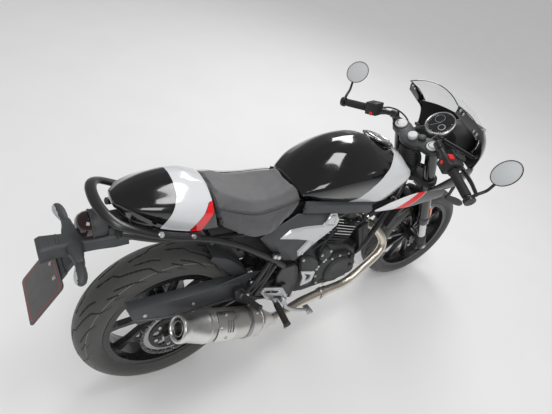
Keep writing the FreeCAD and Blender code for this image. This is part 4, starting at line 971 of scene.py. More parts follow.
class Paintbox(Enum):
    """Every finish on the machine."""

    GLOSS_BLACK = Finish("gloss_black", BLACK, coat=1.0, rough=(0.10, 0.2), **SPRAYED)
    BODY_SILVER = Finish("body_silver", SILVER, (0.49, 0.50, 0.515), metallic=0.35, coat=1.0,
                         rough=(0.26, 0.36), **SPRAYED)
    BLADE_GREY = Finish("blade_grey", (0.075, 0.077, 0.08), coat=0.6, rough=(0.3, 0.4))
    BLADE_WHITE = Finish("blade_white", (0.7, 0.71, 0.72), coat=1.0, rough=(0.25, 0.35), **SPRAYED)
    SATIN_BLACK = Finish("satin_black", (0.012, 0.012, 0.013), (0.017, 0.017, 0.018),
                         rough=(0.28, 0.42), coat=0.25, grain=Grain.PEEL, grain_scale=500,
                         relief=0.03)
    WHEEL_BLACK = Finish("wheel_black", (0.009, 0.009, 0.010), (0.014, 0.014, 0.015),
                         rough=(0.24, 0.38), coat=0.4, grain=Grain.PEEL, grain_scale=420,
                         relief=0.03)
    MATT_BLACK = Finish("matt_black", (0.016, 0.016, 0.017), (0.022, 0.022, 0.023),
                        rough=(0.5, 0.62), relief=0.06, grain_scale=900)
    CASTING = Finish("graphite_casting", (0.030, 0.031, 0.033), (0.042, 0.043, 0.045),
                     metallic=0.25, rough=(0.38, 0.55), grain=Grain.CAST, grain_scale=700,
                     relief=0.16)
    FIN_BLACK = Finish("fin_black", (0.018, 0.018, 0.020), (0.028, 0.028, 0.03), metallic=0.2,
                       rough=(0.4, 0.55), grain=Grain.CAST, grain_scale=700, relief=0.14)
    ALLOY = Finish("satin_alloy", (0.58, 0.59, 0.60), (0.48, 0.49, 0.5), metallic=0.9,
                   rough=(0.28, 0.42), grain=Grain.CAST, grain_scale=900, relief=0.05)
    CAP = Finish("matt_silver", (0.56, 0.56, 0.56), (0.52, 0.52, 0.53), rough=(0.5, 0.6),
                 relief=0.01)
    BRIGHT = Finish("machined_alloy", (0.80, 0.795, 0.78), (0.74, 0.735, 0.72), metallic=1.0,
                    rough=(0.26, 0.36), grain=Grain.BRUSHED, grain_scale=500, relief=0.02)
    CHROME = Finish("polished_leg", (0.72, 0.72, 0.73), (0.66, 0.66, 0.67), metallic=1.0,
                    rough=(0.06, 0.14), grain=Grain.BRUSHED, grain_scale=500, relief=0.008)
    STEEL = Finish("satin_steel", (0.70, 0.68, 0.65), (0.65, 0.63, 0.60), metallic=0.95,
                   rough=(0.30, 0.40), grain=Grain.BRUSHED, grain_scale=420, relief=0.02)
    DISC_STEEL = Finish("disc_steel", (0.42, 0.42, 0.42), (0.36, 0.36, 0.36), metallic=1.0,
                        rough=(0.25, 0.38), grain=Grain.BRUSHED, grain_scale=500, relief=0.03)
    HEADER = Finish("header_steel", (0.82, 0.76, 0.66), (0.76, 0.70, 0.60), metallic=0.97,
                    rough=(0.28, 0.38), grain=Grain.BRUSHED, grain_scale=300, relief=0.015,
                    mottle_scale=9)
    CHAIN = Finish("chain_steel", (0.15, 0.145, 0.135), (0.09, 0.088, 0.083), metallic=0.8,
                   rough=(0.3, 0.45), relief=0.05)
    TYRE = Finish("tyre_rubber", (0.038, 0.038, 0.039), (0.048, 0.047, 0.046), rough=(0.62, 0.78),
                  grain=Grain.RUBBER, grain_scale=1500, relief=0.07, sheen=0.15)
    # the tread's near-black band is painted shade, laid on the grooves' floors
    TREAD = Painted("tyre_tread", (0.052, 0.051, 0.050), (0.062, 0.060, 0.057), rough=(0.62, 0.78),
                    grain=Grain.RUBBER, grain_scale=1500, relief=0.07, sheen=0.15,
                    band=(0.006, 0.006, 0.006), accent=(0.24, 0.24, 0.24), joint=0.000001)
    RUBBER = Finish("moulded_rubber", (0.014, 0.014, 0.015), (0.02, 0.02, 0.021), rough=(0.55, 0.7),
                    grain=Grain.RUBBER, grain_scale=1300, relief=0.08)
    VINYL = Finish("seat_vinyl", (0.072, 0.072, 0.076), (0.062, 0.062, 0.066), rough=(0.52, 0.62),
                   grain=Grain.HIDE, grain_scale=520, relief=0.2, sheen=0.25)
    PIPING = Finish("seat_piping", (0.02, 0.02, 0.021), (0.03, 0.03, 0.031), rough=(0.45, 0.55),
                    grain=Grain.HIDE, grain_scale=900, relief=0.1)
    PLASTIC = Finish("dark_plastic", (0.042, 0.044, 0.047), (0.050, 0.052, 0.055),
                     rough=(0.42, 0.55), grain=Grain.PLASTIC, grain_scale=1400, relief=0.09)
    LINER = Finish("fairing_liner", (0.017, 0.017, 0.018), (0.022, 0.022, 0.023), rough=(0.5, 0.62),
                   grain=Grain.PLASTIC, grain_scale=1400, relief=0.1)
    SCREEN = Finish("clear_screen", (0.80, 0.83, 0.84), (0.74, 0.77, 0.78), rough=(0.02, 0.06),
                    alpha=0.08, relief=0.0, ior=1.49)
    LENS = Finish("clear_lens", (0.86, 0.88, 0.9), (0.8, 0.82, 0.84), rough=(0.03, 0.08),
                  alpha=0.38, relief=0.02)
    REFLECTOR = Finish("lamp_reflector", (0.8, 0.8, 0.8), (0.7, 0.7, 0.7), metallic=1.0,
                       rough=(0.08, 0.16), relief=0.05, grain_scale=300)
    SMOKED = Finish("smoked_lens", (0.016, 0.004, 0.004), (0.012, 0.003, 0.003), coat=1.0,
                    rough=(0.08, 0.14), grain=Grain.PEEL, relief=0.01)
    AMBER = Finish("amber_reflector", (0.75, 0.16, 0.01), (0.6, 0.1, 0.01), coat=1.0,
                   rough=(0.15, 0.25), grain=Grain.HIDE, grain_scale=900, relief=0.2)
    GLASS_BLACK = Finish("gauge_glass", (0.006, 0.007, 0.009), (0.01, 0.011, 0.013), coat=1.0,
                         rough=(0.04, 0.09), grain=Grain.PEEL, relief=0.005)
    # the mirror glass's pale grey diffuse share is a painted reflection of the bright room; its
    # metallic, coated share is a true mirror
    MIRROR = Finish("mirror_glass", (0.66, 0.68, 0.69), (0.61, 0.63, 0.64), metallic=0.35, coat=1.0,
                    rough=(0.03, 0.06), grain=Grain.PEEL, grain_scale=60, relief=0.003)
    SWITCH_RED = Finish("switch_red", (0.62, 0.02, 0.02), rough=(0.3, 0.4), relief=0.04)
    MARKING = Finish("dial_marking", (0.75, 0.76, 0.77), rough=(0.4, 0.5), relief=0.02)
    PLATE = Finish("plate_black", (0.02, 0.018, 0.018), (0.03, 0.027, 0.027), rough=(0.28, 0.4),
                   coat=0.5, relief=0.05)
    PLATE_RED = Finish("plate_border", (0.42, 0.012, 0.014), rough=(0.35, 0.45), coat=0.4,
                       relief=0.03)
    TANK = Painted("tank_paint", BLACK, coat=1.0, rough=(0.08, 0.18), **SPRAYED, band=SILVER,
                   accent=RED)
    # the band's dark grey is black paint with a painted reflection of the floor
    BLADE = Painted("blade_paint", (0.72, 0.73, 0.74), coat=0.35, rough=(0.34, 0.44), **SPRAYED,
                    band=(0.10, 0.102, 0.105), accent=(0.72, 0.004, 0.008))
    COWL = Painted("cowl_paint", BLACK, coat=1.0, rough=(0.10, 0.22), **SPRAYED, band=SILVER,
                   accent=RED)

    def get(self) -> bpy.types.Material:
        """Gives the finish's material."""
        return self.value.material()


# ---- The bench that turns shapes into pieces ----

# edges sharper than this are rounded
BEVELLED_FROM = math.radians(32)
# from the machine's x, y and z to a distance
Rule = Callable[[np.ndarray, np.ndarray, np.ndarray], np.ndarray]


@dataclass
class Bench:
    """Turns gathered shapes into finished pieces that ride on their bodies."""

    frame: dict
    stance: Stance
    made: int = 0

    def paint(self, thing: bpy.types.Object, body: Body, name: str, rule: Rule) -> None:
        """Writes a distance on every point of a piece, for its paint.

        Args:
            thing: The piece.
            body: The body it rides on.
            name: The attribute's name.
            rule: From the machine's x, y and z to a distance, all in millimetres.
        """
        count = len(thing.data.vertices)
        places = np.empty(count * 3)
        thing.data.vertices.foreach_get("co", places)
        back = np.array(self.stance.of(body).inverted())
        x, y, z = back[:3, :3] @ places.reshape(-1, 3).T + back[:3, 3:]
        values = thing.data.attributes.new(name, "FLOAT", "POINT")
        values.data.foreach_set("value", np.asarray(rule(x, y, z) * MM, dtype=np.float32))

    def mesh(self, name: str, shape: Shape, finishes: Sequence[Paintbox],
             matrix: Matrix) -> bpy.types.Object:
        """Makes an object whose place is in its mesh.

        Args:
            name: The object's name.
            shape: The gathered points and faces.
            finishes: One finish for each tint in the shape.
            matrix: From the shape's millimetres to the row frame.

        Returns:
            The object.
        """
        data = bpy.data.meshes.new(name)
        data.from_pydata([matrix @ point for point in shape.points], [], shape.faces)
        for finish in finishes:
            data.materials.append(finish.get())
        data.polygons.foreach_set("material_index", shape.tints)
        data.update()
        thing = add_object(name, data)
        return thing

    @staticmethod
    def pairs(places: Sequence[Point]) -> list[tuple[Point, Point]]:
        """Sets bolts on both sides of the machine, facing outwards.

        Args:
            places: The left side's places.

        Returns:
            The places and ways of both sides' bolts.
        """
        return [((x, side * y, z), (0, side, 0)) for side in (1, -1) for x, y, z in places]

    def settle(self, thing: bpy.types.Object) -> bpy.types.Object:
        """Applies a piece's modifiers.

        Args:
            thing: The object.

        Returns:
            The same object, with a plain mesh.
        """
        bpy.context.view_layer.update()
        graph = bpy.context.evaluated_depsgraph_get()
        data = bpy.data.meshes.new_from_object(thing.evaluated_get(graph))
        old = thing.data
        thing.modifiers.clear()
        thing.data = data
        bpy.data.meshes.remove(old)
        data.name = thing.name
        return thing

    def smoothed(self, thing: bpy.types.Object) -> bpy.types.Object:
        """Subdivides a piece smoothly, once.

        Args:
            thing: The object.

        Returns:
            The same object, with a plain mesh.
        """
        modifier = thing.modifiers.new("smooth", "SUBSURF")
        modifier.levels = modifier.render_levels = 1
        return self.settle(thing)

    def finish(self, thing: bpy.types.Object, body: Body, slot: str, replaces: Sequence[str] = (),
               sharp: float = 35.0) -> bpy.types.Object:
        """Shades a piece and hands it to the frame.

        Args:
            thing: The piece.
            body: The body it rides on.
            slot: The record's material slot; not used.
            replaces: CAD nodes it stands for.
            sharp: Edges sharper than this many degrees stay crisp.

        Returns:
            The piece.
        """
        thing.data.shade_smooth()
        thing.data.set_sharp_from_angle(angle=math.radians(sharp))
        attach(thing, body.value)
        if replaces:
            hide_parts(*replaces)
        self.made += 1
        LOG.info("%s: %d faces on %s", thing.name, len(thing.data.polygons), body.value)
        return thing

    def piece(self, name: str, shape: Shape, finishes: Sequence[Paintbox], slot: str,
              replaces: Sequence[str] = (), bevel: float = 0.0, smooth: bool = False,
              body: Body = Body.CHASSIS) -> bpy.types.Object:
        """Makes a finished piece from a shape.

        Args:
            name: The piece's name.
            shape: Its points and faces.
            finishes: One finish for each tint.
            slot: The record's material slot.
            replaces: CAD nodes it stands for.
            bevel: Width of its rounded edges in millimetres.
            smooth: Whether it is subdivided smoothly.
            body: The body it rides on.

        Returns:
            The piece.
        """
        thing = self.mesh(name, shape, finishes, self.stance.of(body))
        if bevel:
            modifier = thing.modifiers.new("round", "BEVEL")
            modifier.width = bevel * MM
            modifier.segments = 2
            modifier.limit_method = "ANGLE"
            modifier.angle_limit = BEVELLED_FROM
            modifier.use_clamp_overlap = True
            self.settle(thing)
        if smooth:
            self.smoothed(thing)
        return self.finish(thing, body, slot, replaces)

    def painted_piece(self, name: str, shape: Shape, finish: Paintbox, rules: Sequence[Rule],
                      slot: str, node: str, sharp: float) -> bpy.types.Object:
        """Makes a smooth piece on the chassis whose paint changes colour.

        Args:
            name: The piece's name.
            shape: Its points and faces.
            finish: Its paint.
            rules: The distances that the paint reads: its band's, and its accent's.
            slot: The record's material slot.
            node: The CAD node it stands for.
            sharp: Edges sharper than this many degrees stay crisp.

        Returns:
            The piece.
        """
        thing = self.smoothed(self.mesh(name, shape, [finish], self.stance.chassis))
        for attribute, rule in zip(("band", "accent"), rules):
            self.paint(thing, Body.CHASSIS, attribute, rule)
        return self.finish(thing, Body.CHASSIS, slot, [node], sharp)

    def dress(self, node: str, finish: Paintbox) -> None:
        """Gives a CAD node its finish.

        Args:
            node: The node.
            finish: The finish.
        """
        data = self.frame["nodes"][node].data
        data.materials.clear()
        data.materials.append(finish.get())
        LOG.info("%s: dressed in %s", node, finish.value.name)

    def scatter(self, name: str, template: Shape, places: Sequence[tuple[Point, Point]],
                finish: Paintbox, slot: str, replaces: Sequence[str] = (),
                body: Body = Body.CHASSIS) -> bpy.types.Object:
        """Repeats a small shape at many places with Geometry Nodes.

        Args:
            name: The piece's name.
            template: The small shape, its length along Z, in millimetres.
            places: (where, way its Z faces) in the machine's millimetres.
            finish: The finish of all of them.
            slot: The record's material slot.
            replaces: CAD nodes they stand for.
            body: The body they ride on.

        Returns:
            The piece, one plain mesh.
        """
        matrix = self.stance.of(body)
        turn = matrix.to_3x3().normalized()
        small = self.mesh(name + "_template", template, [finish], Matrix.Scale(MM, 4))
        data = bpy.data.meshes.new(name)
        data.from_pydata([matrix @ vec(place) for place, way in places], [], [])
        angles = data.attributes.new("turn", "FLOAT_VECTOR", "POINT")
        for index, (place, way) in enumerate(places):
            z_way = (turn @ vec(way)).normalized()
            # the template's Y keeps across the machine, as nearly as it can
            y_way = turn @ vec(LEFT)
            y_way = y_way - z_way * y_way.dot(z_way)
            y_way = y_way.normalized() if y_way.length > 1e-4 else across(z_way)[1]
            rotation = Matrix((y_way.cross(z_way), y_way, z_way)).transposed()
            angles.data[index].vector = rotation.to_euler()
        thing = add_object(name, data)
        tree = self.repeat_tree()
        modifier = thing.modifiers.new("repeat", "NODES")
        modifier.node_group = tree
        sockets = {item.name: item.identifier for item in tree.interface.items_tree
                   if item.in_out == "INPUT"}
        modifier[sockets["Template"]] = small
        modifier[sockets["Finish"]] = finish.get()
        self.settle(thing)
        bpy.data.objects.remove(small)
        return self.finish(thing, body, slot, replaces)

    def repeat_tree(self) -> bpy.types.NodeTree:
        """Builds the node tree that repeats a template on points, with its turn on each.

        Returns:
            The tree, made once.
        """
        known = bpy.data.node_groups.get("repeat_on_points")
        if known:
            return known
        tree = bpy.data.node_groups.new("repeat_on_points", "GeometryNodeTree")
        face = tree.interface
        face.new_socket("Geometry", in_out="INPUT", socket_type="NodeSocketGeometry")
        face.new_socket("Template", in_out="INPUT", socket_type="NodeSocketObject")
        face.new_socket("Finish", in_out="INPUT", socket_type="NodeSocketMaterial")
        face.new_socket("Geometry", in_out="OUTPUT", socket_type="NodeSocketGeometry")
        source = tree.nodes.new("NodeGroupInput")
        result = tree.nodes.new("NodeGroupOutput")
        template = tree.nodes.new("GeometryNodeObjectInfo")
        turn = tree.nodes.new("GeometryNodeInputNamedAttribute")
        turn.data_type = "FLOAT_VECTOR"
        turn.inputs["Name"].default_value = "turn"
        spin = tree.nodes.new("FunctionNodeEulerToRotation")
        repeat = tree.nodes.new("GeometryNodeInstanceOnPoints")
        realize = tree.nodes.new("GeometryNodeRealizeInstances")
        paint = tree.nodes.new("GeometryNodeSetMaterial")
        for out_socket, in_socket in (
                (source.outputs["Template"], template.inputs["Object"]),
                (source.outputs["Geometry"], repeat.inputs["Points"]),
                (template.outputs["Geometry"], repeat.inputs["Instance"]),
                (turn.outputs["Attribute"], spin.inputs["Euler"]),
                (spin.outputs["Rotation"], repeat.inputs["Rotation"]),
                (repeat.outputs["Instances"], realize.inputs["Geometry"]),
                (realize.outputs["Geometry"], paint.inputs["Geometry"]),
                (source.outputs["Finish"], paint.inputs["Material"]),
                (paint.outputs["Geometry"], result.inputs["Geometry"])):
            tree.links.new(out_socket, in_socket)
        return tree


def bolt_head(radius: float, height: float) -> Shape:
    """Makes a bolt head that stands on the origin, with a washer under it and a dimple in it.

    Args:
        radius: Across its corners, halved.
        height: Its height.

    Returns:
        The head.
    """
    washer = turned(rod(radius * 1.35, -1.0, height * 0.25), ORIGIN, UP, 14)
    head = turned([(CORE, 0.0), (radius, 0.0), (radius, height * 0.8), (radius * 0.85, height),
                   (radius * 0.5, height), (radius * 0.45, height * 0.5), (CORE, height * 0.5)],
                  ORIGIN, UP, 12)
    return washer.add(head)


@dataclass
class Assembly(ABC):
    """One sub-assembly of the machine, with its sizes in its fields."""

    bench: Bench

    @abstractmethod
    def build(self) -> None:
        """Builds its pieces."""


# ---- Studio ----


@dataclass
class Studio:
    """A pale floor, soft lamps and the camera behind and above the machine's right side."""

    stance: Stance
    eye: Point = (-362.0, -945.1, 1547.8)
    right: Point = (0.8303, -0.5279, 0.1787)
    down: Point = (-0.1916, -0.5715, -0.7979)
    ahead: Point = (0.5233, 0.6283, -0.5757)
    lens: float = 26.39
    sensor: float = 36.0
    far: float = 60.0
    floor_half: float = 30.0
    background: tuple[float, float, float] = (0.93, 0.93, 0.925)
    # the room's strength where it lights the object, and where glossy paint reflects it
    light: float = 0.76
    mirrored: float = 0.24

    def camera(self) -> None:
        """Sets the camera where it sees the machine from behind, over its right side."""
        matrix = self.stance.chassis
        turn = matrix.to_3x3().normalized()
        columns = Matrix((turn @ vec(self.right), -(turn @ vec(self.down)),
                          -(turn @ vec(self.ahead))))
        data = bpy.data.cameras.new("studio_camera")
        data.lens = self.lens
        data.sensor_width = self.sensor
        data.clip_end = self.far
        camera = add_object("studio_camera", data)
        camera.matrix_world = Matrix.Translation(matrix
                                                 @ vec(self.eye)) @ columns.transposed().to_4x4()
        bpy.context.scene.camera = camera

    def lamp(self, name: str, place: Point, target: Point, width: float, power: float) -> None:
        """Hangs a square soft lamp.

        Args:
            name: Its name.
            place: Where it hangs, metres in the row frame.
            target: What it faces.
            width: Its side, metres.
            power: Its power in watts.
        """
        data = bpy.data.lights.new(name, "AREA")
        data.shape = "SQUARE"
        data.size = width
        data.energy = power
        thing = add_object(name, data)
        thing.location = place
        thing.rotation_euler = (vec(target) - vec(place)).to_track_quat("-Z", "Y").to_euler()

    def seen_rays(self, tree: bpy.types.NodeTree) -> bpy.types.NodeSocket:
        """Picks the rays that show the background.

        Args:
            tree: The nodes of the world.

        Returns:
            One for camera and transmission rays, else zero.
        """
        rays = tree.nodes.new("ShaderNodeLightPath")
        both = add_node(tree, "ShaderNodeMath", {0: rays.outputs["Is Camera Ray"],
                                                 1: rays.outputs["Is Transmission Ray"]})
        both.operation = "MAXIMUM"
        return both.outputs["Value"]

    def world(self) -> None:
        """Fills the room with an even light, and shows a paler one to the camera."""
        world = bpy.data.worlds.new("studio")
        world.use_nodes = True
        bpy.context.scene.world = world
        tree = world.node_tree
        lit = tree.nodes["Background"]
        set_inputs(tree, lit, {"Color": (1.0, 1.0, 1.0, 1.0), "Strength": self.light})
        shown = add_node(tree, "ShaderNodeBackground", {"Color": (*self.background, 1.0)})
        dim = add_node(tree, "ShaderNodeBackground", {"Strength": self.mirrored})
        rays = tree.nodes.new("ShaderNodeLightPath")
        room = add_node(tree, "ShaderNodeMixShader", {
            "Fac": rays.outputs["Is Glossy Ray"], 1: lit.outputs["Background"],
            2: dim.outputs["Background"]})
        mix = add_node(tree, "ShaderNodeMixShader", {
            "Fac": self.seen_rays(tree), 1: room.outputs["Shader"], 2: shown.outputs["Background"]})
        set_inputs(tree, tree.nodes["World Output"], {"Surface": mix.outputs["Shader"]})

    def floor(self) -> None:
        """Lays the pale floor."""
        half = self.floor_half
        data = bpy.data.meshes.new("floor")
        data.from_pydata([(-half, -half, 0.0), (half, -half, 0.0), (half, half, 0.0),
                          (-half, half, 0.0)], [], [(0, 1, 2, 3)])
        material = bpy.data.materials.new("pale_floor")
        material.use_nodes = True
        tree = material.node_tree
        place = tree.nodes.new("ShaderNodeTexCoord")
        noise = add_node(tree, "ShaderNodeTexNoise",
                         {"Scale": 3.0, "Vector": place.outputs["Object"]})
        tone = add_node(tree, "ShaderNodeMapRange", {
            "To Min": 0.66, "To Max": 0.70, "Value": noise.outputs["Fac"]})
        set_inputs(tree, tree.nodes["Principled BSDF"], {
            "Roughness": 0.55, "Base Color": tone.outputs["Result"]})
        data.materials.append(material)
        thing = add_object("floor", data)

    def build(self) -> None:
        """Sets up the floor, the lamps, the world and the camera."""
        bpy.context.scene.view_settings.view_transform = "Standard"
        self.camera()
        self.world()
        self.floor()
        self.lamp("key_lamp", (-1.4, -2.6, 3.4), (0.0, 0.0, 0.5), width=1.8, power=48.0)
        self.lamp("back_lamp", (1.9, 2.3, 3.0), (0.1, 0.0, 0.6), width=1.4, power=46.0)
        self.lamp("top_lamp", (0.2, -0.2, 3.8), (0.0, 0.0, 0.4), width=1.2, power=32.0)


# ---- Wheels and chain ----


@dataclass
class Tyre(Assembly):
    """A grooved tyre, made as one closed skin round the wheel.

    The grooves are drawn on the unrolled crown: distance round the wheel within one repeat, and
    share of the way from the middle to the edge.  They are repeated round the wheel, and mirrored
    half a repeat on.  Where they are deeper than 1.3 mm, their floors carry painted shade, near
    black.
    """

    node: str
    body: Body
    centre: Vector
    radius: float
    width: float
    crown: float
    bead: float
    around: int
    repeats: int = 8
    crown_rows: int = 27
    wall_rows: int = 12
    flange: float = 222.7
    depth: float = 3.4
    # half a groove's width, and the width of its slanting wall
    groove_half: float = 3.4
    groove_wall: float = 1.6
    # the repeat's length that the grooves are drawn for
    drawn_pitch: float = 240.0
    # how far the side wall bulges, and how deep the ring near its foot is
    bulge: float = 5.5
    foot_ring: float = 1.2
    edge_line: float = 0.80
    grooves: tuple = (
        ((0, 0.96), (46, 0.80), (66, 0.56), (86, 0.50), (160, 0.30), (176, 0.12), (236, 0.05)),
        ((92, 0.94), (128, 0.78), (196, 0.60)),
        ((28, 0.40), (52, 0.30), (104, 0.22)),
        ((150, 1.12), (178, 0.98), (214, 0.86)),
        ((196, 0.80), (232, 0.66)),
    )

    def profile(self) -> tuple[np.ndarray, np.ndarray]:
        """Gives the section from the right bead over the crown to the left bead.

        Returns:
            Rows of (radius, sideways), and each row's share of the way from the middle to the edge.
        """
        edge = math.asin((self.width / 2 - 2) / self.crown)
        crown = [(self.radius - self.crown + self.crown * math.cos(turn),
                  self.crown * math.sin(turn), abs(turn) / edge)
                 for turn in np.linspace(0, edge, self.crown_rows)]
        last_radius, last_side, _ = crown[-1]
        wall = []
        for share in np.linspace(0, 1, self.wall_rows + 1)[1:]:
            ring = self.foot_ring * math.exp(-((share - 0.82) / 0.05) ** 2)
            bulge = math.sin(math.pi * share) * self.bulge - ring
            radius = last_radius + (self.flange + 0.5 - last_radius) * share
            side = last_side + (self.bead / 2 + 3 - last_side) * share ** 2.2 + bulge
            wall.append((radius, side, 1 + share))
        foot = [(self.flange - 6, self.bead / 2 - 1, 2.1), (208, self.bead / 2 - 2, 2.2)]
        half = crown + wall + foot
        rows = [(radius, -side, share) for radius, side, share in reversed(half[1:])] + half
        table = np.array(rows)
        return table[:, :2], table[:, 2]

    def sunk(self, round_the_wheel: np.ndarray, share: np.ndarray, offset: float) -> np.ndarray:
        """Works out how deep the grooves are at places on one side of the crown.

        Args:
            round_the_wheel: Distance round the wheel.
            share: Share of the way from the middle to the edge.
            offset: How far round the pattern starts.

        Returns:
            The depths.
        """
        pitch = 2 * math.pi * self.radius / self.repeats
        arc = self.crown * math.asin((self.width / 2 - 2) / self.crown)
        depth = np.zeros_like(share)
        scale = pitch / self.drawn_pitch
        for groove in self.grooves:
            for turn in (-1, 0, 1):
                place = (round_the_wheel - offset) % pitch + turn * pitch
                for (x0, s0), (x1, s1) in zip(groove, groove[1:]):
                    ax, ay, bx, by = x0 * scale, s0 * arc, x1 * scale, s1 * arc
                    length = (bx - ax) ** 2 + (by - ay) ** 2
                    along = ((place - ax) * (bx - ax) + (share * arc - ay) * (by - ay)) / length
                    along = np.clip(along, 0, 1)
                    apart = np.hypot(place - ax - along * (bx - ax),
                                     share * arc - ay - along * (by - ay))
                    cut = np.clip((self.groove_half - apart) / self.groove_wall, 0, 1)
                    cut = cut * self.depth * np.clip(1.35 - share, 0.2, 1)
                    depth = np.maximum(depth, cut)
        return depth

    def build(self) -> None:
        """Builds the tyre."""
        section, shares = self.profile()
        turns = np.linspace(0, 2 * math.pi, self.around, endpoint=False)
        points = np.empty((self.around, len(section), 3))
        groove_shade, lines = np.zeros((self.around, len(section))), np.zeros((self.around, len(section)))
        for column, ((radius, side), share) in enumerate(zip(section, shares)):
            depth = np.zeros(self.around)
            if share < 1.3:
                offset = 0 if side < 0 else math.pi * self.radius / self.repeats
                depth = self.sunk(turns * self.radius, np.full(self.around, share), offset)
            # painted shade: the groove floors turn near black where they are deeper than 1.3 mm
            groove_shade[:, column] = depth - 1.3
            lines[:, column] = 1.1 - np.abs(share - self.edge_line) * 88 - depth
            out = radius - depth
            points[:, column] = np.stack((np.cos(turns) * out, np.full(self.around, side),
                                          np.sin(turns) * out), axis=1)
        count = len(section)
        shape = Shape([self.centre + Vector(point) for point in points.reshape(-1, 3)])
        for row in range(self.around):
            after = (row + 1) % self.around
            for column in range(count):
                beside = (column + 1) % count
                shape.faces.append((row * count + column, row * count + beside,
                                    after * count + beside, after * count + column))
        shape.tints = [0] * len(shape.faces)
        thing = self.bench.mesh(self.node + "_tread", shape, [Paintbox.TREAD],
                                self.bench.stance.of(self.body))
        # band: the grooves' painted shade; accent: the pale line round each shoulder
        for name, values in (("band", groove_shade), ("accent", lines)):
            layer = thing.data.attributes.new(name, "FLOAT", "POINT")
            layer.data.foreach_set("value", np.asarray(values.reshape(-1) * MM, dtype=np.float32))
        self.bench.finish(thing, self.body, "tyre", [self.node], 28)


def bolt_circle(centre: Vector, count: int, radius: float, y: float,
                phase: float = 0.0) -> list[tuple[Vector, Point]]:
    """Spaces bolts evenly round a wheel, facing outwards.

    Args:
        centre: The wheel's centre.
        count: How many bolts.
        radius: The circle that they stand on.
        y: Their place across the wheel.
        phase: How far round the first one stands, in radians.

    Returns:
        The bolts' places and ways.
    """
    turns = [2 * math.pi * number / count + phase for number in range(count)]
    return [(centre + Vector((math.cos(turn) * radius, y, math.sin(turn) * radius)),
             LEFT if y > 0 else RIGHT) for turn in turns]


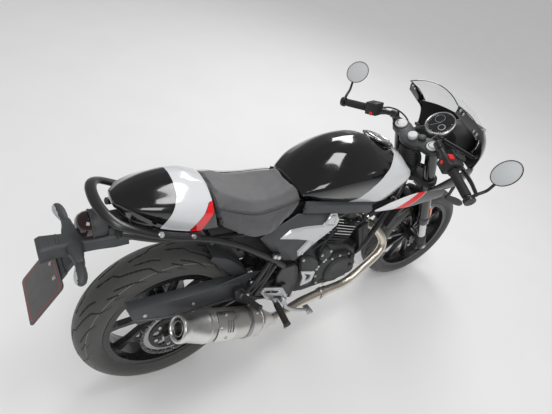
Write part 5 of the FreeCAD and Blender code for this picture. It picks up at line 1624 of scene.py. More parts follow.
@dataclass
class Wheels(Assembly):
    """Both tyres, the guards round the rear one, and the small fittings on the wheels."""

    disc_bolts: int = 5
    sprocket_bolts: int = 6
    sprocket_phase: float = 0.3

    def fittings(self) -> None:
        """Adds the disc and sprocket bolts, the valves, and the rear axle nut with its washer."""
        rear, front = Stance.REAR_AXLE, Stance.FRONT_AXLE
        bolts = bolt_circle(rear, self.sprocket_bolts, 62, -99, self.sprocket_phase)
        bolts += bolt_circle(rear, self.disc_bolts, 48, 76)
        self.bench.scatter("rear_wheel_bolts", bolt_head(7.0, 6.0), bolts, Paintbox.STEEL, "steel",
                           body=Body.REAR_WHEEL)
        bolts = bolt_circle(front, self.disc_bolts, 48, -66, 0.2)
        self.bench.scatter("front_disc_bolts", bolt_head(7.0, 4.0), bolts, Paintbox.STEEL, "steel",
                           body=Body.FRONT_WHEEL)
        for name, body, centre in (("rear_valve", Body.REAR_WHEEL, rear),
                                   ("front_valve", Body.FRONT_WHEEL, front)):
            start = centre + Vector((60, -8, -187))
            valve = turned([(CORE, 0), (4.4, 0), (4.2, 9), (3.2, 10), (3.2, 22), (4.0, 23),
                            (4.0, 31), (3.0, 33), (CORE, 33)], start, (-0.28, -0.35, 0.9), 16)
            self.bench.piece(name, valve, [Paintbox.RUBBER], "rubber", body=body)
        nut = turned([(CORE, 0), (21, 0), (21, 4), (16.5, 5), (16.5, 15), (14, 17), (9, 17),
                      (8, 13), (CORE, 13)], rear + Vector((0, -120, 0)), RIGHT, 6)
        washer = turned(rod(23, 0, 3), rear + Vector((0, -118, 0)), RIGHT, 32)
        self.bench.piece("rear_axle_nut", nut.add(washer), [Paintbox.STEEL], "steel", bevel=0.8)

    def carrier(self) -> None:
        """Builds the dark carrier inside the sprocket's teeth, with its windows."""
        centre = Stance.REAR_AXLE
        rim = circle((0, 0), 84, 60)
        holes = []
        for number in range(self.sprocket_bolts):
            turn = 2 * math.pi * number / self.sprocket_bolts + self.sprocket_phase
            turn += math.pi / self.sprocket_bolts
            holes.append(circle((math.cos(turn) * 58, math.sin(turn) * 58), 14, 18))
        shape = holed(rim, holes, -97.5, -101)
        shape.add(turned([(CORE, 0), (40, 0), (40, 6), (36, 9), (24, 10), (24, 16), (CORE, 16)],
                         (0, -98, 0), RIGHT, 44))
        shape.points = [centre + point for point in shape.points]
        self.bench.piece("sprocket_carrier", shape, [Paintbox.MATT_BLACK], "wheel_black", bevel=0.8,
                         body=Body.REAR_WHEEL)

    def guard(self) -> None:
        """Builds the long flat chain guard and the silver chain adjuster."""
        outline = softened(((-155, 507), (-138, 452), (-60, 424), (30, 404), (168, 395), (281, 386),
                            (262, 424), (240, 471), (140, 488), (25, 492), (-90, 502)), 7, 3)
        shape = side_plate(outline, -119, -124)
        top = [(-152, 505), (-90, 500), (25, 490), (140, 486), (236, 470)]
        lip = ([Vector((x, -123, z)) for x, z in top]
               + [Vector((x, -84, z + 4)) for x, z in reversed(top)])
        shape.add(slab(lip, (0, 0, 4)))
        rib = [(-128, 458), (-60, 431), (30, 411), (168, 402), (268, 393), (266, 398), (168, 407),
               (30, 416), (-60, 436), (-127, 463)]
        shape.add(side_plate(rib, -123, -125.5), 1)
        self.bench.piece("chain_guard_panel", shape, [Paintbox.PLASTIC, Paintbox.BLADE_GREY],
                         "dark_plastic", bevel=1.2)
        adjuster = block((-4, -117, 306), (52, 8, 34)).add(block((-36, -112, 306), (14, 14, 26)))
        self.bench.piece("chain_adjuster", adjuster, [Paintbox.ALLOY], "alloy", bevel=1.5)
        screws = [((x, -125, z), RIGHT) for x, z in ((-104, 470), (60, 448), (236, 440))]
        self.bench.scatter("guard_screws", bolt_head(5.0, 3.4), screws, Paintbox.STEEL, "steel")

    def hugger(self) -> None:
        """Builds the close mudguard over the front of the rear tyre, with its side walls."""
        section = ((-86, 286), (-89, 312), (-86, 328), (-74, 334), (-40, 337), (0, 338), (40, 337),
                   (74, 334), (86, 328), (89, 312), (86, 286))
        rings = []
        for number in range(25):
            turn = math.radians(-6 + 72 * number / 24)
            short = 26 * (max(0.0, number - 16) / 8) ** 2
            low = [(side, min(out + short, 330.0) if abs(side) > 80 else out)
                   for side, out in section]
            outer = [Stance.REAR_AXLE + Vector((out * math.cos(turn), side, out * math.sin(turn)))
                     for side, out in low]
            inner = [Stance.REAR_AXLE + Vector(((out - 3) * math.cos(turn), side * 0.968,
                                                (out - 3) * math.sin(turn))) for side, out in low]
            rings.append(outer + list(reversed(inner)))
        self.bench.piece("rear_hugger", skin(rings), [Paintbox.PLASTIC], "black_plastic")

    def build(self) -> None:
        """Builds both tyres, the guards and the fittings."""
        self.hugger()
        self.carrier()
        self.guard()
        Tyre(self.bench, "rear_tyre", Body.REAR_WHEEL, Stance.REAR_AXLE, radius=306, width=150,
             crown=85, bead=101.6, around=720).build()
        Tyre(self.bench, "front_tyre", Body.FRONT_WHEEL, Stance.FRONT_AXLE, radius=293, width=110,
             crown=60, bead=76.2, around=640).build()
        self.fittings()


@dataclass
class DriveChain(Assembly):
    """The roller chain: links of plates and rollers laid along the run round both sprockets."""

    pitch: float = 15.875
    rear_radius: float = 108.7
    front_radius: float = 38.2
    front: Point = (498.0, 0.0, 418.0)
    side: float = -94.0
    # a link: its plates, its pins and rollers, and the gaps inside wide and narrow links, halved
    plate_radius: float = 6.6
    plate_thick: float = 1.9
    pin_radius: float = 2.8
    roller_radius: float = 5.0
    wide_gap: float = 6.4
    narrow_gap: float = 4.2

    def run(self) -> list[tuple[Vector, Vector]]:
        """Walks round the chain's closed path.

        Returns:
            The place and direction of every link.
        """
        rear, front = Stance.REAR_AXLE, vec(self.front)
        apart = front - rear
        lean = math.atan2(apart.z, apart.x)
        open_angle = math.acos((self.rear_radius - self.front_radius) / apart.length)
        top, low = lean + open_angle, lean - open_angle
        path = []
        for turn in np.linspace(top, low + 2 * math.pi, 160):
            path.append(rear + Vector((math.cos(turn), 0, math.sin(turn))) * self.rear_radius)
        for turn in np.linspace(low, top, 60):
            path.append(front + Vector((math.cos(turn), 0, math.sin(turn))) * self.front_radius)
        path.append(path[0])
        steps = [0.0]
        for here, after in zip(path, path[1:]):
            steps.append(steps[-1] + (after - here).length)
        count = int(round(steps[-1] / self.pitch / 2)) * 2
        spacing = steps[-1] / count
        corners = []
        for number in range(count):
            place = number * spacing
            x = float(np.interp(place, steps, [point.x for point in path]))
            z = float(np.interp(place, steps, [point.z for point in path]))
            corners.append(Vector((x, self.side, z)))
        return [((here + after) / 2, after - here)
                for here, after in zip(corners, corners[1:] + corners[:1])]

    def link(self, half_gap: float) -> Shape:
        """Makes one link, its length along Z and its pins across.

        Args:
            half_gap: From the middle to its plates' inner faces.

        Returns:
            The link.
        """
        half = self.pitch / 2
        outline = []
        for end, first, waist in ((half, 0, -5.0), (-half, 180, 5.0)):
            for turn in range(first, first + 181, 45):
                angle = math.radians(turn)
                outline.append((math.cos(angle) * self.plate_radius,
                                end + math.sin(angle) * self.plate_radius))
            outline.append((waist, 0.0))
        shape = Shape()
        for side in (1, -1):
            shape.add(slab([(x, half_gap * side, z) for x, z in outline],
                           (0, self.plate_thick * side, 0)))
        shape.add(turned(rod(self.pin_radius, -half_gap - 3.2, half_gap + 3.2), (0, 0, half), LEFT,
                         8))
        return shape

    def build(self) -> None:
        """Lays the links, wide and narrow in turn."""
        links = self.run()
        wide = self.bench.scatter("chain_outer_links", self.link(self.wide_gap), links[::2],
                                  Paintbox.CHAIN, "steel", ["drive_chain"])
        narrow = self.link(self.narrow_gap)
        narrow.add(turned(rod(self.roller_radius, -self.narrow_gap, self.narrow_gap),
                          (0, 0, self.pitch / 2), LEFT, 10))
        self.bench.scatter("chain_inner_links", narrow, links[1::2], Paintbox.DISC_STEEL, "steel")
        LOG.info("chain of %d links, %d faces", len(links), len(wide.data.polygons))


# ---- Tank, seat, tail and side panels ----


@dataclass
class FuelTank(Assembly):
    """The tank's shell with its silver nose and its crease, and the filler."""

    # x, z_low, half_low, z_side, half_side, z_shoulder, half_shoulder, z_top
    sections: tuple = (
        (452, 772, 84, 792, 99, 812, 76, 826), (520, 758, 106, 806, 132, 862, 92, 893),
        (620, 742, 116, 812, 150, 900, 104, 940), (740, 717, 118, 806, 156, 905, 108, 949),
        (860, 694, 117, 792, 153, 872, 108, 916), (945, 706, 104, 788, 140, 848, 98, 880),
        (990, 730, 84, 786, 116, 828, 76, 850), (1008, 752, 62, 788, 90, 812, 56, 830),
    )
    # z, x of the silver's rear edge
    silver_edge: tuple = ((700, 642), (736, 668), (748, 700), (780, 714), (815, 733), (835, 757),
                          (854, 787), (872, 843), (886, 890), (905, 903), (960, 908))
    filler: Point = (858.0, 0.0, 921.0)
    filler_tilt: float = 17.0
    slot: str = "gloss_black"

    def ring(self, row: Sequence[float]) -> list[Vector]:
        """Draws one section of the shell.

        Args:
            row: A row of the sections' table.

        Returns:
            Its ring of points.
        """
        x, z_low, half_low, z_side, half_side, z_shoulder, half_shoulder, z_top = row
        knots = ((0, z_low), (half_low * 0.9, z_low + 1), (half_low + 6, z_low + 9),
                 (half_side, z_side), (half_side * 0.95, (z_side + z_shoulder) / 2 + 4),
                 (half_shoulder, z_shoulder), (half_shoulder * 0.55,
                                               z_top - (z_top - z_shoulder) * 0.28), (0, z_top))
        return half_ring(knots, x)

    def shell(self) -> None:
        """Builds the painted shell."""
        rows = interpolate(self.sections, 6)
        rings = [self.ring(row) for row in rows]
        rings = rounded_end(rings[::-1], Vector(BACK), 11)[::-1]
        rings = rounded_end(rings, Vector(AHEAD), 11)
        levels, places = zip(*self.silver_edge)
        rules = (lambda x, y, z: (x - np.interp(z, levels, places)) * 0.8, lambda x, y,
                 z: x * 0 - 100)
        self.bench.painted_piece("tank_shell", skin(rings), Paintbox.TANK, rules, self.slot,
                                 "fuel_tank", 60)

    def nose_crease(self) -> None:
        """Lays the fine raised crease on the silver nose, on both sides."""
        path = smooth_path([(912, -58, 888), (925, -86, 862), (915, -108, 842), (880, -134, 822)],
                           5)
        crease = tube(path, [0.3, 0.8, 1.1, 1.3, 1.4] + [1.5] * (len(path) - 10)
                      + [1.4, 1.3, 1.1, 0.8, 0.3], 8)
        self.bench.piece("tank_crease", crease.both_sides(), [Paintbox.BODY_SILVER],
                         "silver_plastic")

    def cap(self) -> None:
        """Builds the filler: a fixed ring with its screws, and the lid that opens."""
        turn = Matrix.Rotation(math.radians(self.filler_tilt), 3, "Y")
        way = turn @ Vector(UP)
        centre = vec(self.filler)
        ring = hoop([(54.5, -5), (66, -6), (67.5, -3.2), (65, -0.6), (57, 1.2), (54.5, 0.2)],
                    centre, way, 72)
        self.bench.piece("filler_ring", ring, [Paintbox.GLOSS_BLACK], self.slot)
        screws = []
        for number in range(6):
            angle = math.radians(60 * number + 30)
            spoke = turn @ Vector((math.cos(angle), math.sin(angle), 0))
            screws.append((centre + spoke * 60.5 + way * 0.4, way))
        self.bench.scatter("filler_screws", bolt_head(2.6, 2.0), screws, Paintbox.BRIGHT, "alloy")
        lid = turned([(CORE, -4), (49, -4), (50, 0), (49.4, 4.6), (46, 6.2), (43, 5.4), (41, 4.2),
                      (20, 5.6), (CORE, 6.0)], centre, way, 64)
        lever = block(centre + turn @ Vector((-14, 0, 7)), (34, 15, 3.4), turn)
        key = turned([(CORE, 0), (9.5, 0), (9.5, 2.6), (8, 3.4), (3, 3.2), (CORE, 2.2)],
                     centre + turn @ Vector((-14, 0, 7.6)), way, 28)
        barrel = turned(rod(5, -20, 20), centre + turn @ Vector((49, 0, 2)), LEFT, 20)
        self.bench.piece("filler_lid", lid.add(lever).add(key).add(barrel), [Paintbox.BRIGHT],
                         "alloy", ["filler_cap"], bevel=0.6, body=Body.CAP)

    def build(self) -> None:
        """Builds the tank's pieces."""
        self.shell()
        self.nose_crease()
        self.cap()


# the height below which the joint between seat and cowl leans forward, and its slope
JOINT_TOP = 832
JOINT_SLOPE = 0.33


def joint_lean(z: float, share: float) -> float:
    """Says how far the joint between seat and cowl leans forward.

    Args:
        z: The height.
        share: How much of the lean a place takes: all of it at the joint, and none further off.

    Returns:
        The move along the machine.
    """
    return max(0.0, JOINT_TOP - z) * JOINT_SLOPE * min(max(share, 0.0), 1.0)


@dataclass
class SeatPad(Assembly):
    """The rider's seat: a simulated pad under vinyl, with a side seam and a piped rear edge."""

    # x, z_low, half_low, z_crease, half_crease, z_top
    sections: tuple = ((118, 748, 108, 826, 106, 854), (180, 722, 122, 806, 122, 832),
                       (250, 696, 128, 786, 128, 804), (320, 692, 127, 781, 122, 796),
                       (400, 728, 116, 783, 112, 801), (442, 757, 99, 786, 100, 811),)
    fill: float = 0.7
    # the simulated cover: its cells and the most it moves, in metres, then its forces and frames
    voxel: float = 0.006
    most: float = 0.006
    pressure: float = 4.0
    stiffness: float = 40.0
    frames: int = 20

    def row_at(self, x: float) -> list[float]:
        """Gives the section at a place, between the table's rows.

        Args:
            x: The place along the machine.

        Returns:
            The row of six numbers.
        """
        table = np.array(interpolate(self.sections, 10))
        return [float(np.interp(x, table[:, 0], table[:, column])) for column in range(6)]

    def ring(self, row: Sequence[float]) -> list[Vector]:
        """Draws one section of the pad.

        Args:
            row: A row of the sections' table.

        Returns:
            Its ring of points.
        """
        x, z_low, half_low, z_crease, half_crease, z_top = row
        base = min(max(z_low + 4, 716), z_crease - 22)
        knots = ((0, base + 4), (half_low * 0.55, base), (half_low - 18, base),
                 (half_low - 12, z_low), (half_low, z_low + 4), (half_crease + 1, z_crease - 4),
                 (half_crease - 5, z_crease + 7), (half_crease * 0.72, z_top - 2),
                 (half_crease * 0.34, z_top), (0, z_top - 1))
        return [point + Vector((self.slant(point), 0, 0)) for point in half_ring(knots, x)]

    @staticmethod
    def slant(point: Vector) -> float:
        """Says how far the seat's rear end leans forward below the cowl.

        Args:
            point: A place on the upright end.

        Returns:
            The move along the machine.
        """
        return joint_lean(point.z, (200 - point.x) / 82)

    def pad(self) -> bpy.types.Object:
        """Builds the pad and lets it swell under its cover.

        Returns:
            The pad.
        """
        rings = [self.ring(row) for row in interpolate(self.sections, 5)]
        thing = self.bench.mesh("seat_pad", skin(rings), [Paintbox.VINYL],
                                self.bench.stance.chassis)
        remesh = thing.modifiers.new("voxels", "REMESH")
        remesh.mode = "VOXEL"
        remesh.voxel_size = self.voxel
        self.bench.settle(thing)
        start = np.empty(len(thing.data.vertices) * 3)
        thing.data.vertices.foreach_get("co", start)
        cloth = thing.modifiers.new("cover", "CLOTH")
        settings = cloth.settings
        settings.use_pressure = True
        settings.uniform_pressure_force = self.pressure
        settings.effector_weights.gravity = 0.0
        settings.tension_stiffness = settings.compression_stiffness = self.stiffness
        scene = bpy.context.scene
        for step in range(1, self.frames + 1):
            scene.frame_set(step)
        self.bench.settle(thing)
        end = np.empty(len(thing.data.vertices) * 3)
        thing.data.vertices.foreach_get("co", end)
        moves = (end - start).reshape(-1, 3)
        length = np.linalg.norm(moves, axis=1, keepdims=True)
        moves *= np.minimum(1.0, self.most / np.maximum(length, 1e-9))
        thing.data.vertices.foreach_set("co", (start.reshape(-1, 3) + moves).ravel())
        scene.frame_set(1)
        return self.bench.smoothed(thing)

    def edge(self, x: float, over: float = 0.0) -> Vector:
        """Gives a place on the side crease, on the right.

        Args:
            x: The place along the machine.
            over: How far above the crease.

        Returns:
            The place.
        """
        row = self.row_at(x)
        return Vector((x, -(row[4] + 1.2), row[3] + over))

    def seams(self) -> None:
        """Sews the side seams with a welt and stitches, and pipes the rear edge."""
        runs = [self.edge(x) for x in range(128, 441, 12)]
        welt = tube(smooth_path(runs, 2), 1.7, 8)
        self.bench.piece("seat_welt", welt.both_sides(), [Paintbox.PIPING], "seat_vinyl")
        stitches = []
        line = smooth_path([self.edge(x, 6.5) + Vector((0, 2.2, 0)) for x in range(132, 437, 12)],
                           3)
        for here, after in zip(line, line[1:]):
            for side in (1, -1):
                stitches.append(((here.x, here.y * side, here.z),
                                 (after.x - here.x, (after.y - here.y) * side, after.z - here.z)))
        thread = tube([(0, 0, -1.4), (0, 0, 1.4)], 0.55, 6)
        self.bench.scatter("seat_stitches", thread, stitches, Paintbox.PIPING, "seat_vinyl")
        half = self.ring(self.row_at(120))
        loop = [point + Vector((-3.5, 0, 0)) for point in half]
        upper = [point for point in loop if point.z > 764]
        upper.sort(key=lambda point: math.atan2(point.z - 800, point.y))
        band = tube(upper, 5.2, 10)
        self.bench.piece("seat_rear_piping", band, [Paintbox.PIPING], "seat_vinyl")

    def build(self) -> None:
        """Builds the seat's pieces."""
        thing = self.pad()
        self.bench.finish(thing, Body.CHASSIS, "seat_vinyl", ["seat"], 70)
        self.seams()


@dataclass
class TailCowl(Assembly):
    """The cowl behind the seat, with its silver band and red stripe."""

    # x, z_low, half_low, z_side, half_side, z_shoulder, half_shoulder, z_top
    sections: tuple = (
        (112, 752, 111, 805, 117, 852, 92, 882), (40, 766, 111, 822, 117, 870, 88, 907),
        (-50, 790, 97, 838, 103, 876, 72, 903), (-118, 812, 69, 846, 75, 868, 52, 883),
        (-150, 836, 31, 850, 37, 862, 26, 868),
    )
    slot: str = "cowl_paint"
    # where the silver band ends at its top, that top's height, and the slope below it
    band_end: float = 92.0
    band_top: float = 851.0
    band_slope: float = 0.70

    def ring(self, row: Sequence[float]) -> list[Vector]:
        """Draws one section of the cowl.

        Args:
            row: A row of the sections' table.

        Returns:
            Its ring of points.
        """
        x, z_low, half_low, z_side, half_side, z_shoulder, half_shoulder, z_top = row
        knots = ((0, z_low), (half_low * 0.92, z_low), (half_low, z_low + 6), (half_side, z_side),
                 (half_side * 0.93, (z_side + z_shoulder) / 2 + 3), (half_shoulder, z_shoulder),
                 (half_shoulder * 0.5, z_top - (z_top - z_shoulder) * 0.22), (0, z_top))
        return [point + Vector((joint_lean(point.z, (x - 40) / 72), 0, 0))
                for point in half_ring(knots, x)]

    @staticmethod
    def silver(x: np.ndarray, y: np.ndarray, z: np.ndarray) -> np.ndarray:
        """Says how far inside the silver band a place is.

        Args:
            x: Along the machine.
            y: Sideways; not used.
            z: Up.

        Returns:
            The distance in millimetres, below zero outside.
        """
        rear = np.interp(z, (780, 804, 852, 878, 900), (-56, -43, -16, 2, 4))
        front = TailCowl.band_end - (TailCowl.band_top - z) * TailCowl.band_slope
        front = np.where(z < TailCowl.band_top + 1, front, 400)
        return np.minimum(x - rear, front - x)

    @staticmethod
    def stripe(x: np.ndarray, y: np.ndarray, z: np.ndarray) -> np.ndarray:
        """Says how far inside the red stripe a place is.

        Args:
            x: Along the machine.
            y: Sideways.
            z: Up.

        Returns:
            The distance in millimetres, below zero outside.
        """
        rear = TailCowl.band_end + 1.5 - (TailCowl.band_top - z) * TailCowl.band_slope
        front = 115 - (842 - z) * 0.55
        return np.minimum(np.minimum(x - rear, front - x), np.minimum(850 - z, np.abs(y) - 60))

    def build(self) -> None:
        """Builds the painted shell."""
        rings = [self.ring(row) for row in interpolate(self.sections, 6)]
        rings = rounded_end(rings, Vector(BACK), 8)
        shape = skin([list(reversed(ring)) for ring in rings])
        self.bench.painted_piece("cowl_shell", shape, Paintbox.COWL, (self.silver, self.stripe),
                                 self.slot, "seat_cowl", 60)


@dataclass
class SidePanels(Assembly):
    """The dark covers, the strip under the tank, and the silver accents."""

    # each outline is (x, z) corners seen from the side
    cover: tuple = ((431, 738), (286, 668), (400, 524), (470, 500), (560, 560), (600, 640),
                    (590, 698))
    strip: tuple = ((452, 784), (640, 741), (806, 703), (826, 660), (806, 646), (640, 684),
                    (450, 733))
    accent: tuple = ((364, 650), (402, 682), (470, 677), (556, 662), (582, 706), (612, 702),
                     (634, 672), (628, 642), (583, 608), (524, 571), (499, 545), (471, 530),
                     (462, 560), (500, 602), (439, 626))
    badge: tuple = ((506, 442), (586, 414), (580, 362), (524, 352), (526, 400))

    def inner_covers(self) -> None:
        """Builds the dark covers between the seat, the frame and the rear wheel."""
        outline = softened(((96, 744), (102, 704), (170, 664), (248, 616), (322, 552), (372, 508),
                            (440, 500), (486, 560), (520, 690), (440, 722), (220, 740)), 16, 4)
        shape = side_plate(outline, -60, -63).both_sides()
        self.bench.piece("inner_covers", shape, [Paintbox.MATT_BLACK], "black_plastic")

    def build(self) -> None:
        """Builds the panels of both sides."""
        self.inner_covers()
        covers = pillow(self.cover, -118, -131, 15).add(pillow(self.strip, -116, -130, 9))
        self.bench.piece("side_covers", covers.both_sides(), [Paintbox.PLASTIC], "dark_plastic",
                         ["side_panels"], bevel=3.5)
        lips = tube(smooth_path([(444, -121, 757), (560, -124, 735), (690, -124, 706),
                                 (800, -122, 680)], 5), 3.2, 8)
        self.bench.piece("tank_lip", lips.both_sides(), [Paintbox.SATIN_BLACK], "dark_plastic")
        accents = pillow(self.accent, -128, -138.5, 6)
        accents.add(pillow(((376, 652), (404, 674), (462, 670), (440, 634)), -136, -140, 4))
        plates = accents.both_sides()
        plates.add(self.badge_plate())
        self.bench.piece("silver_plates", plates, [Paintbox.BODY_SILVER], "silver_plastic",
                         ["silver_accents"], bevel=1.6)
        caps = turned([(CORE, 0), (26, 0), (27, 3), (24, 6.5), (18, 7), (16, 5), (CORE, 5.4)],
                      (588, -133, 676), RIGHT, 40)
        self.bench.piece("accent_caps", caps.both_sides(), [Paintbox.ALLOY], "silver_plastic")
        screws = self.bench.pairs([(484, 139.5, 548), (520, 139.5, 588), (606, 139.5, 652)])
        self.bench.scatter("accent_screws", bolt_head(4.2, 3.0), screws, Paintbox.BRIGHT, "alloy")

    def badge_plate(self) -> Shape:
        """Builds the small silver plate over the gearbox sprocket, with its opening.

        Returns:
            The plate.
        """
        return holed(softened(self.badge, 7, 3), [softened(inset(self.badge, 17), 4, 3)], -135.4,
                     -141.5)


# ---- Fork, bars and controls ----


@dataclass
class Fork(Assembly):
    """The fork legs, the yokes that clamp them, and the horn and sleeve between them."""

    half: float = 99.4
    outer: float = 26.0
    inner: float = 21.5
    stem_behind: float = 29.0
    # half of the top yoke's outline: sideways, ahead
    yoke: tuple = ((0, 14), (36, 17), (62, 30), (99, 38), (127, 26), (137, -2), (124, -30),
                   (92, -38), (62, -38), (40, -58), (0, -66))

    def yokes(self) -> None:
        """Builds both yokes, the stem, the steering lock and the caps."""
        shape = Shape()
        outline = list(self.yoke) + [(-side, ahead) for side, ahead in reversed(self.yoke[1:-1])]
        for low, wall in ((652, 24), (468, 28)):
            corners = softened(outline, 11, 4)
            up = fork(low + wall, 0) - fork(low, 0)
            shape.add(slab([fork(low, side, ahead) for side, ahead in corners], up))
        shape.add(turned(rod(16, 0, 212), fork(462, 0, -self.stem_behind), Stance.STEM_UP, 32))
        shape.add(turned([(CORE, 0), (17, 0), (17, 10), (15, 12), (CORE, 12)], fork(674, -32, 2),
                         Stance.STEM_UP, 28))
        for side in (1, -1):
            shape.add(turned(collar(self.outer + 0.4, 34, 0, 24),
                             fork(652, side * self.half), Stance.STEM_UP, 40))
        self.bench.piece("cast_yokes", shape, [Paintbox.CASTING], "fork_black", ["fork_yokes"],
                         bevel=2.2, body=Body.STEERING)
        nuts = turned([(CORE, 0), (20, 0), (20, 14), (18.5, 17), (12, 18), (CORE, 18.4)],
                      fork(676, 0, -self.stem_behind + 8), Stance.STEM_UP, 36)
        for side in (1, -1):
            nuts.add(turned([(CORE, -2), (26.5, -2), (26.5, 5), (25, 7), (17, 8), (16, 9.4),
                             (CORE, 9.6)], fork(676, side * self.half), Stance.STEM_UP, 48))
        self.bench.piece("fork_caps", nuts, [Paintbox.CAP], "alloy", bevel=0.6, body=Body.STEERING)
        slot_plate = block(fork(686.4, -32, 2), (3, 12, 1.6))
        self.bench.piece("key_slot", slot_plate, [Paintbox.BRIGHT], "steel", body=Body.STEERING)

    def legs(self) -> None:
        """Builds the black tubes, polished sliders, dark feet and the axle."""
        tubes, sliders, feet = Shape(), Shape(), Shape()
        for side in (1, -1):
            tubes.add(turned([(self.inner + 0.3, 182), (28, 183), (29, 186), (29, 224), (27.5, 227),
                              (self.outer, 229), (self.outer, 676), (20, 676), (20, 684),
                              (CORE, 684)], fork(0, side * self.half), Stance.STEM_UP, 48))
            sliders.add(turned(rod(self.inner, 60, 186),
                               fork(0, side * self.half), Stance.STEM_UP, 48))
            feet.add(turned([(CORE, -26), (20, -26), (25, -20), (28, -6), (28, 62), (25.5, 68),
                             (24, 76), (22, 78), (CORE, 78)], fork(0, side * self.half),
                            Stance.STEM_UP, 40))
            feet.add(turned([(CORE, -26), (23, -26), (24.5, -24), (24.5, 22), (23, 24), (CORE, 24)],
                            fork(0, side * self.half), LEFT, 40))
            feet.add(block(fork(4, side * self.half, -30), (16, 30, 34)))
        feet.add(block(fork(92, 86, -40), (60, 12, 90), Stance.STEM_TURN))
        self.bench.piece("fork_upper_tubes", tubes, [Paintbox.GLOSS_BLACK], "fork_black",
                         ["fork_tubes"], body=Body.STEERING)
        self.bench.piece("fork_polished_legs", sliders, [Paintbox.CHROME], "fork_steel",
                         ["fork_sliders"], body=Body.STEERING)
        self.bench.piece("fork_feet", feet, [Paintbox.CASTING], "fork_black", bevel=1.6,
                         body=Body.STEERING)
        axle = turned(rod(10, -130, 130), Stance.FRONT_AXLE, LEFT, 28)
        for side in (1, -1):
            axle.add(turned([(CORE, 122), (14, 122), (14, 130), (11, 133), (6, 133), (5, 129),
                             (CORE, 129)], Stance.FRONT_AXLE, (0, side, 0), 6))
        self.bench.piece("front_axle_rod", axle, [Paintbox.STEEL], "fork_steel", body=Body.STEERING)
        amber = Shape()
        for side in (1, -1):
            middle = fork(262, side * (self.half + 19), 19)
            up, out = Stance.STEM_UP, Vector((0.5, side, 0)).normalized()
            wide = up.cross(out).normalized()
            corners = [middle + wide * across + up * along for across, along in
                       softened(((-9, -30), (9, -30), (9, 30), (-9, 30)), 3, 3)]
            amber.add(slab(corners, out * 6))
        self.bench.piece("side_reflectors", amber, [Paintbox.AMBER], "lens_clear", bevel=0.8,
                         body=Body.STEERING)

    def between(self) -> None:
        """Builds the wiring sleeve round the head tube and the horn below the lamp."""
        ribs = [(33, 506)]
        for number in range(9):
            at = 510 + number * 14.5
            ribs += [(37, at), (41, at + 3), (41, at + 10), (37, at + 13)]
        sleeve = turned([(33.5, 506)] + ribs[1:] + [(37, 644), (33.5, 644)],
                        fork(0, 0, -self.stem_behind), Stance.STEM_UP, 36)
        for side in (1, -1):
            sleeve.add(tube(smooth_path([fork(512, side * 34, -40), fork(560, side * 46, -16),
                                         fork(610, side * 44, -20), fork(640, side * 34, -44)], 6),
                            7, 12))
        self.bench.piece("head_sleeve", sleeve, [Paintbox.MATT_BLACK], "rubber")
        horn = turned([(CORE, -18), (16, -18), (20, -12), (34, -8), (40, -4), (41, 4), (38, 8),
                       (30, 7), (26, 9), (10, 9), (8, 12), (CORE, 12)], fork(430, 0, 52),
                      Stance.STEM_FORWARD, 44)
        horn.add(block(fork(458, 0, 34), (10, 22, 50), Stance.STEM_TURN))
        self.bench.piece("horn", horn, [Paintbox.MATT_BLACK], "black_plastic", bevel=0.8,
                         body=Body.STEERING)

    def build(self) -> None:
        """Builds the fork."""
        self.between()
        self.yokes()
        self.legs()


